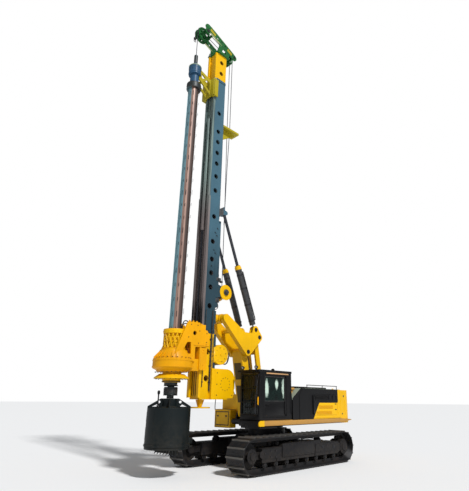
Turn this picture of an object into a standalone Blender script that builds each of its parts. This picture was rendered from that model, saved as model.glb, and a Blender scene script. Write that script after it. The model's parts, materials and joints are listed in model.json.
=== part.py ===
# Rotary piling rig on crawler tracks, built as an assembly of named sub-parts.
# Metres, +Z up. The machine's front points along -Y and its cab side along +X.
# Places are written in the machine's frame: X = 0 on its middle plane, Y = 0 under
# the slew centre and Z = 0 on the ground. One empty shifts it all along Y.
from math import atan2, cos, hypot, pi, sin

import bmesh
import bpy
from mathutils import Matrix, Vector

# Clearances and common plates
SEAT_GAP = 0.0003
PIN_GAP = 0.0006
RUN_GAP = 0.006
SIDE_GAP = 0.012
OVERRUN = 0.05
WELD_DISTANCE = 0.00001
PIN_RADIUS = 0.05
PIN_SIDES = 12
HOLE_SIDES = 8
THIN_PIN_RADIUS = 0.035
EAR_THICKNESS = 0.05

# Crawler tracks
TRACK_CENTRE_X = 1.40
SHOE_WIDTH = 0.72
TRACK_HEIGHT = 1.05
SHOE_COUNT = 46
LUG_HEIGHT = 0.032
SHOE_THICKNESS = 0.024
CHAIN_HEIGHT = 0.115
CHAIN_WIDTH = 0.20
FRAME_INNER_X = 1.15
FRAME_OUTER_X = 1.66
FRAME_BOTTOM = 0.33
FRAME_TOP = 0.72
FRAME_BOX_TOP = 0.81
FRAME_HALF_LENGTH = 1.98
WHEEL_REACH = 0.395
WHEEL_SPAN = 2 * (FRAME_HALF_LENGTH + WHEEL_REACH)
FRAME_BOX_HALF_LENGTH = 0.92
ROLLER_RADIUS = 0.10
ROLLER_COUNT = 8
ROLLER_END_GAP = 0.18
ROLLER_HALF_SPAN = FRAME_HALF_LENGTH - ROLLER_END_GAP
CARRIER_RADIUS = 0.075
CARRIER_OFFSET = 1.12
IDLER_WIDTH = 0.15
HUB_RADIUS = 0.13
SPROCKET_TEETH = 12
SPROCKET_THICKNESS = 0.09
SPROCKET_TOOTH = 0.05
FINAL_DRIVE_RADIUS = 0.23

# Car body and slew ring
CARBODY_HALF = 0.80
CARBODY_BOTTOM = 0.50
CARBODY_TOP = 0.95
LEG_HALF_WIDTH = 0.24
LEG_OFFSET = 0.52
LEG_TOP = 0.80
SLEW_RADIUS = 0.66
SLEW_SPLIT = 1.16
SLEW_UPPER_RADIUS = 0.60

# Upper deck, tied to the engine house that stands on it
HOUSE_HALF_WIDTH = 1.47
DECK_LEDGE = 0.03
DECK_BOTTOM = 1.30
DECK_TOP = 1.47
DECK_HALF_WIDTH = HOUSE_HALF_WIDTH + DECK_LEDGE
DECK_CAB_FRONT = -1.93
DECK_MIDDLE_FRONT = -1.28
DECK_RIGHT_FRONT = -0.90
DECK_REAR = 2.62
DECK_CHANNEL_HALF = 0.52
DECK_EDGE_BEVEL = 0.05
BRACKET_THICKNESS = 0.06

# Cab
CAB_WIDTH = 0.90
CAB_OUTER_X = HOUSE_HALF_WIDTH
CAB_INNER_X = CAB_OUTER_X - CAB_WIDTH
CAB_FRONT = -1.90
CAB_REAR = -0.32
CAB_BOTTOM = DECK_TOP + SEAT_GAP
CAB_TOP = 3.00
CAB_WALL = 0.05
CAB_SILL = 2.02
CAB_HEAD = 2.90
CAB_POST = 0.09
DOOR_FRONT = -1.74
DOOR_REAR = -0.62
DOOR_BOTTOM = 1.56
DOOR_TOP = 2.88
DOOR_WINDOW_SILL = 2.06
DOOR_FRAME = 0.085
DOOR_HINGE_RADIUS = 0.016
DOOR_GAP = 0.006
GLASS_THICKNESS = 0.012
VISOR_REACH = 0.16
SEAT_WIDTH = 0.46
SEAT_DEPTH = 0.48
SEAT_HEIGHT = 0.50
SEAT_BACK = 0.72
SEAT_CUSHION = 0.14

# Engine house and counterweight
HOUSE_FRONT = 0.10
HOUSE_TOP = 2.48
HOUSE_WALL = 0.05
HOUSE_SLOPE_RUN = 0.18
HOUSE_SLOPE_DROP = 0.22
SIDE_DOOR_FRONT = 0.86
SIDE_DOOR_REAR = 2.36
SIDE_DOOR_BOTTOM = 1.58
SIDE_DOOR_TOP = 2.30
LID_FRONT = 0.55
LID_REAR = 2.30
LID_HALF_WIDTH = 1.05
LID_RISE = 0.07
ENGINE_SIZE = (1.10, 1.20, 0.72)
ENGINE_CENTRE_Y = 1.45
COUNTERWEIGHT_REAR = 3.37
COUNTERWEIGHT_TOP = 2.47
COUNTERWEIGHT_CORNER = 0.42
COUNTERWEIGHT_HEEL = 0.16
TOOL_BOX_INSET = 0.02
TOOL_BOX_WIDTH = 0.83
TOOL_BOX_OUTER_X = TOOL_BOX_INSET - HOUSE_HALF_WIDTH
TOOL_BOX_INNER_X = TOOL_BOX_OUTER_X + TOOL_BOX_WIDTH
TOOL_BOX_TOP = 1.76
TOOL_BOX_BOTTOM = 1.16
TANK_TOP = 2.28

# Luffing linkage: pins in the side view
BOOM_FOOT = (-1.05, 1.64)
BOOM_HEAD = (-1.42, 3.66)
LINK_HEAD = (-0.86, 4.21)
CYLINDER_FOOT = (-1.05, 4.46)
MAST_PIN = (-2.48, 4.70)
LUFF_FOOT = (-0.30, 1.67)
LUFF_HEAD = (-1.06, 3.00)
BOOM_HALF_WIDTH = 0.24
BOOM_HALF_DEPTH = 0.14
LINK_INNER_X = 0.15
LINK_HALF_DEPTH = 0.10
TRIANGLE_INNER_X = 0.26
TRIANGLE_OUTER_X = 0.445
TRIANGLE_CORNER = 0.14
LUFF_BARREL_RADIUS = 0.085
LUFF_ROD_RADIUS = 0.045
LUFF_BARREL_SHARE = 0.62
BRACKET_RADIUS = 0.12

# Mast
MAST_HALF_WIDTH = 0.225
MAST_FRONT = -3.335
MAST_BACK = -2.835
MAST_WALL = 0.025
MAST_BOTTOM = 2.09
MAST_SPLIT = 4.20
MAST_RAIL_END = 9.05
MAST_UPPER_END = 14.35
MAST_TOP_END = 15.70
RAIL_INNER_X = 0.175
RAIL_OUTER_X = 0.285
RAIL_FRONT = -3.42
RAIL_THIN_OUTER_X = 0.25
MAST_HOLE_RADIUS = 0.085
SWIVEL_RADIUS = 0.16
SWIVEL_HALF_WIDTH = 0.235
SWIVEL_FLANGE_FACE = -2.775
SWIVEL_FLANGE_THICKNESS = 0.05
TRUNNION_RADIUS = 0.10
BOSS_PLATE_HALF = 0.22
MAST_EYE = (-2.72, 8.50)
MAST_CYLINDER_X = 0.345
MAST_BARREL_RADIUS = 0.108
MAST_ROD_RADIUS = 0.055
MAST_BARREL_LENGTH = 2.30
EYE_RADIUS = 0.10
FOOT_EYE_WIDTH = 0.05
HEAD_EYE_WIDTH = 0.12
LUG_CLEARANCE = 0.055
OPEN_PIN_SIDE = 0.040
OPEN_PIN_DEPTH = 0.17

# Winches
WINCH_PLATE_X = 0.30
WINCH_PLATE_THICKNESS = 0.035
WINCH_REAR = -1.93
WINCH_TOP = 3.03
WINCH_CORNER = 0.34
MAIN_DRUM_CENTRE = (-2.36, 2.56)
MAIN_DRUM_RADIUS = 0.22
MAIN_FLANGE_RADIUS = 0.32
MAIN_DRUM_HALF = 0.27
AUX_DRUM_CENTRE = (-2.38, 5.63)
AUX_DRUM_RADIUS = 0.15
AUX_FLANGE_RADIUS = 0.26
AUX_DRUM_HALF = 0.19
AUX_PLATE_X = 0.205
DRUM_FLANGE_THICKNESS = 0.025

# Crowd cylinder and mast foot
CROWD_Y = -3.41
CROWD_BARREL_RADIUS = 0.06
CROWD_ROD_RADIUS = 0.032
CROWD_STROKE = 4.30
CROWD_EYE_Z = 3.36
CROWD_BARREL_START = 7.75
CROWD_BARREL_END = 12.45
FOOT_Y = -3.10
FOOT_PAD_RADIUS = 0.33
FOOT_PAD_BOTTOM = 1.83
FOOT_PAD_THICKNESS = 0.035
FOOT_STEM_RADIUS = 0.06
FOOT_CONE_RADIUS = 0.14
FOOT_STEM_TOP = 3.10

# Rotary drive on its carriage
KELLY_Y = -4.24
DRIVE_RADIUS = 0.60
DRIVE_BOTTOM = 2.86
DRIVE_SHOULDER = 3.22
DRIVE_TOP = 3.50
DRIVE_TOP_RADIUS = 0.42
DRIVE_BORE = 0.29
SLEEVE_OUTER = 0.284
SLEEVE_BORE = 0.222
CAGE_RADIUS = 0.355
CAGE_BOTTOM = DRIVE_TOP + SEAT_GAP
CAGE_TOP = 4.13
SKIRT_RADIUS = 0.52
SKIRT_TOP = 2.75
SKIRT_BOTTOM = 2.68
COLLAR_RADIUS = 0.27
COLLAR_BOTTOM = 2.56
CARRIAGE_FACE = -3.485
CARRIAGE_PLATE = 0.06
CARRIAGE_BOTTOM = 3.24
CARRIAGE_TOP = 4.34
CLAW_INNER_X = 0.293
CLAW_THICKNESS = 0.06
CLAW_REACH = -3.30
PAD_LENGTH = 0.16
ARM_X = 0.375
ARM_THICKNESS = 0.045
MOTOR_RADIUS = 0.12
MOTOR_X = 0.43
MOTOR_Y = -3.86

# Kelly bar, guide and bucket
KELLY_RADIUS = 0.185
KELLY_RIB = 0.0225
KELLY_RIB_WIDTH = 0.06
KELLY_RIB_COUNT = 6
KELLY_BOTTOM = 2.46
KELLY_TOP = 13.58
KELLY_FLANGE_RADIUS = 0.27
KELLY_FLANGE_THICKNESS = 0.24
INNER_RADIUS = 0.105
SPRING_SEAT_RADIUS = 0.20
SPRING_SEAT_TOP = 2.43
SPRING_SEAT_BOTTOM = 2.22
INNER_TOP = 14.50
SWIVEL_TOP = 15.02
ROPE_SWIVEL_RADIUS = 0.075
GUIDE_NECK_RADIUS = 0.17
GUIDE_RING_RADIUS = 0.24
GUIDE_RING_BOTTOM = 14.03
GUIDE_RING_TOP = 14.40
GUIDE_BACK_BOTTOM = 13.40
GUIDE_BACK_TOP = 14.20
BUCKET_RADIUS = 0.63
BUCKET_WALL = 0.035
BUCKET_BOTTOM = 0.82
BUCKET_TOP = 1.85
BUCKET_CONE_TOP = 2.16
BUCKET_NECK_RADIUS = 0.30
BUCKET_DOOR_THICKNESS = 0.06
TOOTH_LENGTH = 0.13
TOOTH_WIDTH = 0.06
TOOTH_COUNT = 4
BUCKET_HINGE_OFFSET = 0.70

# Head frame and sheaves
HEAD_HALF_WIDTH = 0.30
HEAD_PLATE = 0.03
FRONT_SHEAVE_RADIUS = 0.30
REAR_SHEAVE_RADIUS = 0.27
FRONT_SHEAVE_Z = 16.36
REAR_SHEAVE = (-2.58, 16.02)
SHEAVE_WIDTH = 0.09
AUX_SHEAVE_X = -0.17
GUIDE_ARM_Z = 12.35
GUIDE_ARM_REACH = -1.98

# Empties on the joints' axes, each with its parent and its place in the machine's frame
LINK_FOOT = (BOOM_FOOT[0] + LINK_HEAD[0] - BOOM_HEAD[0], BOOM_FOOT[1] + LINK_HEAD[1] - BOOM_HEAD[1])
ORIGIN_SHIFT = -(COUNTERWEIGHT_REAR + KELLY_Y - BUCKET_RADIUS) / 2

PALETTE = {
    "track_black": ((0.045, 0.045, 0.048), 0.6, 0.4),
    "frame_grey": ((0.07, 0.07, 0.075), 0.55, 0.3),
    "rig_yellow": ((0.90, 0.55, 0.02), 0.4, 0.0),
    "drive_orange": ((0.95, 0.42, 0.01), 0.4, 0.0),
    "cab_black": ((0.02, 0.02, 0.024), 0.35, 0.0),
    "mast_blue": ((0.09, 0.19, 0.26), 0.45, 0.1),
    "head_green": ((0.02, 0.12, 0.08), 0.5, 0.1),
    "kelly_steel": ((0.20, 0.34, 0.36), 0.45, 0.6),
    "bucket_black": ((0.02, 0.03, 0.035), 0.5, 0.3),
    "bright_steel": ((0.6, 0.6, 0.62), 0.2, 1.0),
    "glass": ((0.10, 0.20, 0.18), 0.05, 0.0),
    "seat_black": ((0.03, 0.03, 0.03), 0.8, 0.0),
}


# Scene, collections, materials and empties


def clear_scene():
    for old in list(bpy.data.objects):
        bpy.data.objects.remove(old, do_unlink=True)


clear_scene()
PARTS = bpy.data.collections.new("rotary_piling_rig")
TOOLS = bpy.data.collections.new("cutters_and_joined_pieces")
bpy.context.scene.collection.children.link(PARTS)
bpy.context.scene.collection.children.link(TOOLS)
MATERIALS = {}
EMPTIES = {}


def make_material(name, colour, roughness, metallic):
    made = bpy.data.materials.new(name)
    made.use_nodes = True
    shader = made.node_tree.nodes["Principled BSDF"]
    shader.inputs["Base Color"].default_value = (*colour, 1.0)
    shader.inputs["Roughness"].default_value = roughness
    shader.inputs["Metallic"].default_value = metallic
    MATERIALS[name] = made


def make_empty(name, parent, at):
    empty = bpy.data.objects.new(name, None)
    PARTS.objects.link(empty)
    place = Vector(at)
    if parent:
        empty.parent = EMPTIES[parent][0]
        empty.location = place - EMPTIES[parent][1]
    else:
        empty.location = place + Vector((0, ORIGIN_SHIFT, 0))
    EMPTIES[name] = (empty, place)


# Shapes: each function returns an object in the machine's frame, held by a body's empty


def hold(data, body, at, rotation=(0, 0, 0)):
    made = bpy.data.objects.new("piece", data)
    TOOLS.objects.link(made)
    empty, place = EMPTIES[body]
    made.parent = empty
    made.location = Vector(at) - place
    made.rotation_euler = rotation
    made.hide_render = True
    made.display_type = "WIRE"
    return made


def mesh_from(bm):
    mesh = bpy.data.meshes.new("shape")
    bm.to_mesh(mesh)
    bm.free()
    return mesh


def box(body, low, high, bevel=0.0, segments=1):
    """Box between two corners, with all edges bevelled by the given width."""
    bm = bmesh.new()
    bmesh.ops.create_cube(bm, size=1.0)
    size = [high[i] - low[i] for i in range(3)]
    bmesh.ops.scale(bm, vec=size, verts=bm.verts)
    if bevel:
        bmesh.ops.bevel(bm, geom=bm.edges[:], offset=bevel, segments=segments, affect="EDGES", profile=0.5)
    return hold(mesh_from(bm), body, [(low[i] + high[i]) / 2 for i in range(3)])


def bar(body, start, end, radius, sides=PIN_SIDES, end_radius=None, twist=0.0):
    """Round bar or cone from start to end, twisted about its axis by an angle."""
    axis = Vector(end) - Vector(start)
    bm = bmesh.new()
    tip = radius if end_radius is None else end_radius
    bmesh.ops.create_cone(
        bm, cap_ends=True, segments=sides, radius1=radius, radius2=tip, depth=axis.length
    )
    bmesh.ops.rotate(bm, cent=(0, 0, 0), matrix=Matrix.Rotation(twist, 3, "Z"), verts=bm.verts)
    middle = (Vector(start) + Vector(end)) / 2
    mesh = mesh_from(bm)
    mesh.shade_smooth()
    mesh.set_sharp_from_angle(angle=pi / 5)
    return hold(mesh, body, middle, axis.to_track_quat("Z", "Y").to_euler())


def cross_bar(body, centre, low_x, high_x, radius, sides=PIN_SIDES):
    """Round bar along X through a point of the side view."""
    return bar(body, (low_x, centre[0], centre[1]), (high_x, centre[0], centre[1]), radius, sides)


def bore_radius(pin_radius, sides=PIN_SIDES, gap=PIN_GAP):
    """Hole radius whose flats stay a gap away from the pin."""
    return (pin_radius + gap) / cos(pi / sides)


def bore(body, start, end, pin_radius, sides=PIN_SIDES, gap=PIN_GAP):
    """Cutter for a pin's hole; its flats face the pin's edges."""
    return bar(body, start, end, bore_radius(pin_radius, sides, gap), sides, twist=pi / sides)


def cross_bore(body, centre, low_x, high_x, pin_radius, gap=PIN_GAP):
    """Cutter along X for a pin's hole through a point of the side view."""
    return bore(body, (low_x, centre[0], centre[1]), (high_x, centre[0], centre[1]), pin_radius, PIN_SIDES, gap)


PLANES = {"side": (pi / 2, 0, pi / 2), "front": (pi / 2, 0, 0), "plan": (0, 0, 0)}


def plate(body, outlines, thickness, middle, plane="side"):
    """Flat plate from closed outlines; the first is the edge and the others are holes.

    Side outlines hold (y, z), front ones (x, z) and plan ones (x, y). The middle is the
    plate's place along the axis that its outline leaves out.
    """
    curve = bpy.data.curves.new("outline", "CURVE")
    curve.dimensions = "2D"
    curve.fill_mode = "BOTH"
    curve.extrude = thickness / 2
    for outline in outlines:
        spline = curve.splines.new("POLY")
        spline.points.add(len(outline) - 1)
        for point, (u, v) in zip(spline.points, outline):
            point.co = (u, v, 0, 1)
        spline.use_cyclic_u = True
    at = {"side": (middle, 0, 0), "front": (0, middle, 0), "plan": (0, 0, middle)}[plane]
    flat = hold(curve, body, at, PLANES[plane])
    evaluated = flat.evaluated_get(bpy.context.evaluated_depsgraph_get())
    mesh = bpy.data.meshes.new_from_object(evaluated)
    bm = bmesh.new()
    bm.from_mesh(mesh)
    bmesh.ops.remove_doubles(bm, verts=bm.verts, dist=WELD_DISTANCE)
    bmesh.ops.recalc_face_normals(bm, faces=bm.faces)
    bm.to_mesh(mesh)
    bm.free()
    solid = hold(mesh, body, at, PLANES[plane])
    bpy.data.objects.remove(flat, do_unlink=True)
    return solid


def turned(body, profile, at, steps=24, turn=(0, 0, 0), twist=0.0):
    """Turned solid: (radius, height) points, from the top down on the outer side."""
    bm = bmesh.new()
    points = [bm.verts.new((radius, 0, height)) for radius, height in profile]
    closed = profile[0][0] > 0 and profile[-1][0] > 0
    for first, second in zip(points, points[1:]):
        bm.edges.new((first, second))
    if closed:
        bm.edges.new((points[-1], points[0]))
    shape = hold(mesh_from(bm), body, at, turn)
    screw = shape.modifiers.new("turn", "SCREW")
    screw.axis = "Z"
    screw.steps = steps
    screw.render_steps = steps
    screw.use_merge_vertices = True
    screw.merge_threshold = WELD_DISTANCE
    screw.use_smooth_shade = False
    evaluated = shape.evaluated_get(bpy.context.evaluated_depsgraph_get())
    mesh = bpy.data.meshes.new_from_object(evaluated)
    bm = bmesh.new()
    bm.from_mesh(mesh)
    bmesh.ops.remove_doubles(bm, verts=bm.verts, dist=WELD_DISTANCE)
    bmesh.ops.recalc_face_normals(bm, faces=bm.faces)
    bmesh.ops.rotate(bm, cent=(0, 0, 0), matrix=Matrix.Rotation(twist, 3, "Z"), verts=bm.verts)
    bm.to_mesh(mesh)
    bm.free()
    solid = hold(mesh, body, at, turn)
    bpy.data.objects.remove(shape, do_unlink=True)
    return solid


def arc(centre, radius, start, end, count):
    """Points of an arc, its angles in radians."""
    steps = [start + (end - start) * i / count for i in range(count + 1)]
    return [(centre[0] + radius * cos(a), centre[1] + radius * sin(a)) for a in steps]


def capsule(first, second, radius, second_radius=None, count=6):
    """Outline round two centres of the side view."""
    other = radius if second_radius is None else second_radius
    angle = atan2(second[1] - first[1], second[0] - first[0])
    lean = 0 if other == radius else atan2(other - radius, hypot(second[0] - first[0], second[1] - first[1]))
    near = arc(first, radius, angle + pi / 2 + lean, angle + 3 * pi / 2 - lean, count)
    far = arc(second, other, angle - pi / 2 - lean, angle + pi / 2 + lean, count)
    return near + far


def change(piece, operation, others, solver="EXACT"):
    """Adds one Boolean for each of the other pieces."""
    for other in others:
        boolean = piece.modifiers.new(operation.lower(), "BOOLEAN")
        boolean.operation = operation
        boolean.object = other
        boolean.solver = solver


def part(name, body_piece, material, joins=(), cuts=(), solver="EXACT"):
    """Names a piece as a sub-part, unites it with others and cuts it."""
    body_piece.name = name
    body_piece.data.name = name
    TOOLS.objects.unlink(body_piece)
    PARTS.objects.link(body_piece)
    body_piece.hide_render = False
    body_piece.display_type = "TEXTURED"
    body_piece.data.materials.clear()
    body_piece.data.materials.append(MATERIALS[material])
    change(body_piece, "UNION", joins, solver)
    change(body_piece, "DIFFERENCE", cuts, solver)
    return body_piece


# Crawler tracks


def loop_place(distance, radius):
    """Point on the pitch line at a distance along it, with its outward normal."""
    half = WHEEL_SPAN / 2
    turn = pi * radius
    distance %= 2 * WHEEL_SPAN + 2 * turn
    middle = TRACK_HEIGHT / 2
    if distance < WHEEL_SPAN:
        return (-half + distance, middle - radius), (0, -1)
    distance -= WHEEL_SPAN
    if distance < turn:
        angle = -pi / 2 + distance / radius
        return (half + radius * cos(angle), middle + radius * sin(angle)), (cos(angle), sin(angle))
    distance -= turn
    if distance < WHEEL_SPAN:
        return (half - distance, middle + radius), (0, 1)
    angle = pi / 2 + (distance - WHEEL_SPAN) / radius
    return (-half + radius * cos(angle), middle + radius * sin(angle)), (cos(angle), sin(angle))


def stadium(radius, count=12):
    """Outline round both wheels at a radius."""
    half = WHEEL_SPAN / 2
    middle = TRACK_HEIGHT / 2
    rear = arc((half, middle), radius, -pi / 2, pi / 2, count)
    front = arc((-half, middle), radius, pi / 2, 3 * pi / 2, count)
    return rear + front


# Shoe profile: place along the pitch as a share, and height kind
SHOE_PROFILE_SHARES = (
    (-0.475, "gap"), (-0.455, "lug"), (-0.40, "lug"), (-0.36, "plate"), (0.455, "plate"), (0.475, "gap"),
)


def make_track(name, side):
    outer = TRACK_HEIGHT / 2
    plate_radius = outer - LUG_HEIGHT
    inner_radius = plate_radius - SHOE_THICKNESS
    heights = {"gap": inner_radius + SHOE_THICKNESS / 2, "plate": plate_radius, "lug": outer}
    pitch_length = 2 * WHEEL_SPAN + 2 * pi * outer
    pitch = pitch_length / SHOE_COUNT
    outline = []
    for shoe in range(SHOE_COUNT):
        for share, kind in SHOE_PROFILE_SHARES:
            (y, z), (ny, nz) = loop_place((shoe + 0.5 + share) * pitch, outer)
            drop = outer - heights[kind]
            outline.append((y - ny * drop, z - nz * drop))
    centre = side * TRACK_CENTRE_X
    body = "rig"
    shoes = plate(body, [outline, stadium(inner_radius)], SHOE_WIDTH, centre)
    chain_outer = inner_radius + SHOE_THICKNESS / 3
    chain = plate(body, [stadium(chain_outer), stadium(inner_radius - CHAIN_HEIGHT)], CHAIN_WIDTH, centre)
    part(name, shoes, "track_black", joins=[chain], solver="MANIFOLD")


def make_track_frame(name, side):
    body = "rig"
    centre = side * TRACK_CENTRE_X
    middle_z = TRACK_HEIGHT / 2
    chain_inner = TRACK_HEIGHT / 2 - LUG_HEIGHT - SHOE_THICKNESS - CHAIN_HEIGHT
    wheel_radius = chain_inner * cos(pi / 24) - 2 * PIN_GAP
    low_x = min(side * FRAME_INNER_X, side * FRAME_OUTER_X)
    high_x = max(side * FRAME_INNER_X, side * FRAME_OUTER_X)
    taper = FRAME_TOP - middle_z
    outline = [
        (-FRAME_HALF_LENGTH, FRAME_BOTTOM), (FRAME_HALF_LENGTH, FRAME_BOTTOM),
        (FRAME_HALF_LENGTH + taper, middle_z - taper / 2), (FRAME_HALF_LENGTH + taper, middle_z + taper / 2),
        (FRAME_HALF_LENGTH, FRAME_TOP), (FRAME_BOX_HALF_LENGTH + taper / 2, FRAME_TOP),
        (FRAME_BOX_HALF_LENGTH, FRAME_BOX_TOP), (-FRAME_BOX_HALF_LENGTH, FRAME_BOX_TOP),
        (-FRAME_BOX_HALF_LENGTH - taper / 2, FRAME_TOP), (-FRAME_HALF_LENGTH, FRAME_TOP),
    ]
    beam = plate(body, [outline], high_x - low_x, (low_x + high_x) / 2)
    joins = []
    ground_run = middle_z - chain_inner
    for i in range(ROLLER_COUNT):
        y = -ROLLER_HALF_SPAN + 2 * ROLLER_HALF_SPAN * i / (ROLLER_COUNT - 1)
        z = ground_run + ROLLER_RADIUS + SEAT_GAP
        roller_half = CHAIN_WIDTH
        joins.append(cross_bar(body, (y, z), centre - roller_half, centre + roller_half, ROLLER_RADIUS, 8))
    for y in (-CARRIER_OFFSET, CARRIER_OFFSET):
        z = middle_z + chain_inner - CARRIER_RADIUS - SEAT_GAP
        joins.append(cross_bar(body, (y, z), centre - CHAIN_WIDTH / 2, centre + CHAIN_WIDTH / 2, CARRIER_RADIUS, 8))
        post_half = CARRIER_RADIUS / 2
        joins.append(box(body, (centre - post_half, y - post_half, FRAME_TOP - OVERRUN),
                         (centre + post_half, y + post_half, z)))
    idler_y = -WHEEL_SPAN / 2
    joins.append(cross_bar(body, (idler_y, middle_z), centre - IDLER_WIDTH / 2, centre + IDLER_WIDTH / 2,
                           wheel_radius, 20))
    hub_half = (FRAME_OUTER_X - FRAME_INNER_X) / 2 - OVERRUN
    joins.append(cross_bar(body, (idler_y, middle_z), centre - hub_half, centre + hub_half, HUB_RADIUS, 10))
    yoke_half = taper / 2
    for arm in (-1, 1):
        arm_x = centre + arm * (IDLER_WIDTH / 2 + hub_half) / 2
        arm_half = (hub_half - IDLER_WIDTH / 2) / 3
        joins.append(box(body, (arm_x - arm_half, idler_y - HUB_RADIUS / 2, middle_z - yoke_half),
                         (arm_x + arm_half, -FRAME_HALF_LENGTH + OVERRUN, middle_z + yoke_half)))
    sprocket_y = WHEEL_SPAN / 2
    teeth = []
    for tooth in range(SPROCKET_TEETH):
        for share, radius in ((0.0, wheel_radius - SPROCKET_TOOTH), (0.25, wheel_radius - SPROCKET_TOOTH),
                              (0.42, wheel_radius), (0.83, wheel_radius)):
            angle = 2 * pi * (tooth + share) / SPROCKET_TEETH
            teeth.append((sprocket_y + radius * cos(angle), middle_z + radius * sin(angle)))
    joins.append(plate(body, [teeth], SPROCKET_THICKNESS, centre))
    joins.append(cross_bar(body, (sprocket_y, middle_z), low_x + OVERRUN / 2, high_x, FINAL_DRIVE_RADIUS, 14))
    part(name, beam, "frame_grey", joins=joins)


def make_carbody():
    body = "rig"
    core = box(body, (-CARBODY_HALF, -CARBODY_HALF, CARBODY_BOTTOM), (CARBODY_HALF, CARBODY_HALF, CARBODY_TOP),
               bevel=OVERRUN)
    joins = []
    leg_end = FRAME_INNER_X - SEAT_GAP
    for y in (-LEG_OFFSET, LEG_OFFSET):
        joins.append(box(body, (-leg_end, y - LEG_HALF_WIDTH, CARBODY_BOTTOM - OVERRUN),
                         (leg_end, y + LEG_HALF_WIDTH, LEG_TOP)))
    joins.append(bar(body, (0, 0, CARBODY_TOP - OVERRUN), (0, 0, SLEW_SPLIT), SLEW_RADIUS, 32))
    part("carbody", core, "frame_grey", joins=joins)


# Upper deck with its pin brackets


def lug_outline(pin, radius, base_half, base_z):
    """Lug: round at the pin and widening to its base."""
    y, z = pin
    return [(y - base_half, base_z), (y + base_half, base_z), *arc((y, z), radius, 0, pi, 8)]


def make_deck():
    body = "upper"
    outline = [
        (DECK_CHANNEL_HALF, DECK_CAB_FRONT), (DECK_HALF_WIDTH, DECK_CAB_FRONT),
        (DECK_HALF_WIDTH, DECK_REAR), (-DECK_HALF_WIDTH, DECK_REAR),
        (-DECK_HALF_WIDTH, DECK_RIGHT_FRONT), (-DECK_CHANNEL_HALF, DECK_RIGHT_FRONT),
        (-DECK_CHANNEL_HALF, DECK_MIDDLE_FRONT), (DECK_CHANNEL_HALF, DECK_MIDDLE_FRONT),
    ]
    slab = plate(body, [outline], DECK_TOP - DECK_BOTTOM, (DECK_TOP + DECK_BOTTOM) / 2, "plan")
    edge = slab.modifiers.new("edge", "BEVEL")
    edge.width = DECK_EDGE_BEVEL
    edge.segments = 1
    edge.limit_method = "ANGLE"
    base_z = (DECK_TOP + DECK_BOTTOM) / 2
    joins = [bar(body, (0, 0, SLEW_SPLIT + SEAT_GAP), (0, 0, base_z), SLEW_UPPER_RADIUS, 32)]
    boom_lug_x = BOOM_HALF_WIDTH + SIDE_GAP
    link_lug_x = LINK_INNER_X + EAR_THICKNESS + BRACKET_THICKNESS
    luff_lug_x = FOOT_EYE_WIDTH / 2 + SIDE_GAP
    lug_table = (
        (BOOM_FOOT, BOOM_HALF_DEPTH, BRACKET_RADIUS * 1.8, boom_lug_x, PIN_RADIUS),
        (LINK_FOOT, BRACKET_RADIUS, BRACKET_RADIUS * 1.8, link_lug_x, None),
        (LUFF_FOOT, BRACKET_RADIUS, BRACKET_RADIUS, luff_lug_x, THIN_PIN_RADIUS),
    )
    for pin, radius, base_half, inner_x, pin_radius in lug_table:
        for side in (-1, 1):
            middle = side * (inner_x + BRACKET_THICKNESS / 2)
            joins.append(plate(body, [lug_outline(pin, radius, base_half, base_z)], BRACKET_THICKNESS, middle))
        if pin_radius:
            reach = inner_x + BRACKET_THICKNESS / 2
            joins.append(cross_bar(body, pin, -reach, reach, pin_radius))
    for side in (-1, 1):
        ends = sorted((side * (LINK_INNER_X + SIDE_GAP), side * (link_lug_x + BRACKET_THICKNESS / 2)))
        joins.append(cross_bar(body, LINK_FOOT, ends[0], ends[1], PIN_RADIUS))
    part("deck", slab, "rig_yellow", joins=joins)


# Cab


def shell_knuckles(body, hinge_x, hinge_y, low_z, high_z, wall_x, post):
    """Fixed halves of a door's hinge, on its post behind (1) or before (-1) the door."""
    made = []
    for seat, away in ((low_z - PIN_GAP, -1), (high_z + PIN_GAP, 1)):
        end = seat + away * DOOR_FRAME / 2
        made.append(bar(body, (hinge_x, hinge_y, min(seat, end)), (hinge_x, hinge_y, max(seat, end)),
                        DOOR_HINGE_RADIUS, 10))
        low_x, high_x = sorted((wall_x, hinge_x))
        low_y, high_y = sorted((hinge_y + post * (DOOR_GAP + RUN_GAP / 2), hinge_y + post * DOOR_HINGE_RADIUS))
        made.append(box(body, (low_x, low_y, min(seat, end)), (high_x, high_y, max(seat, end))))
    return made


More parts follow.
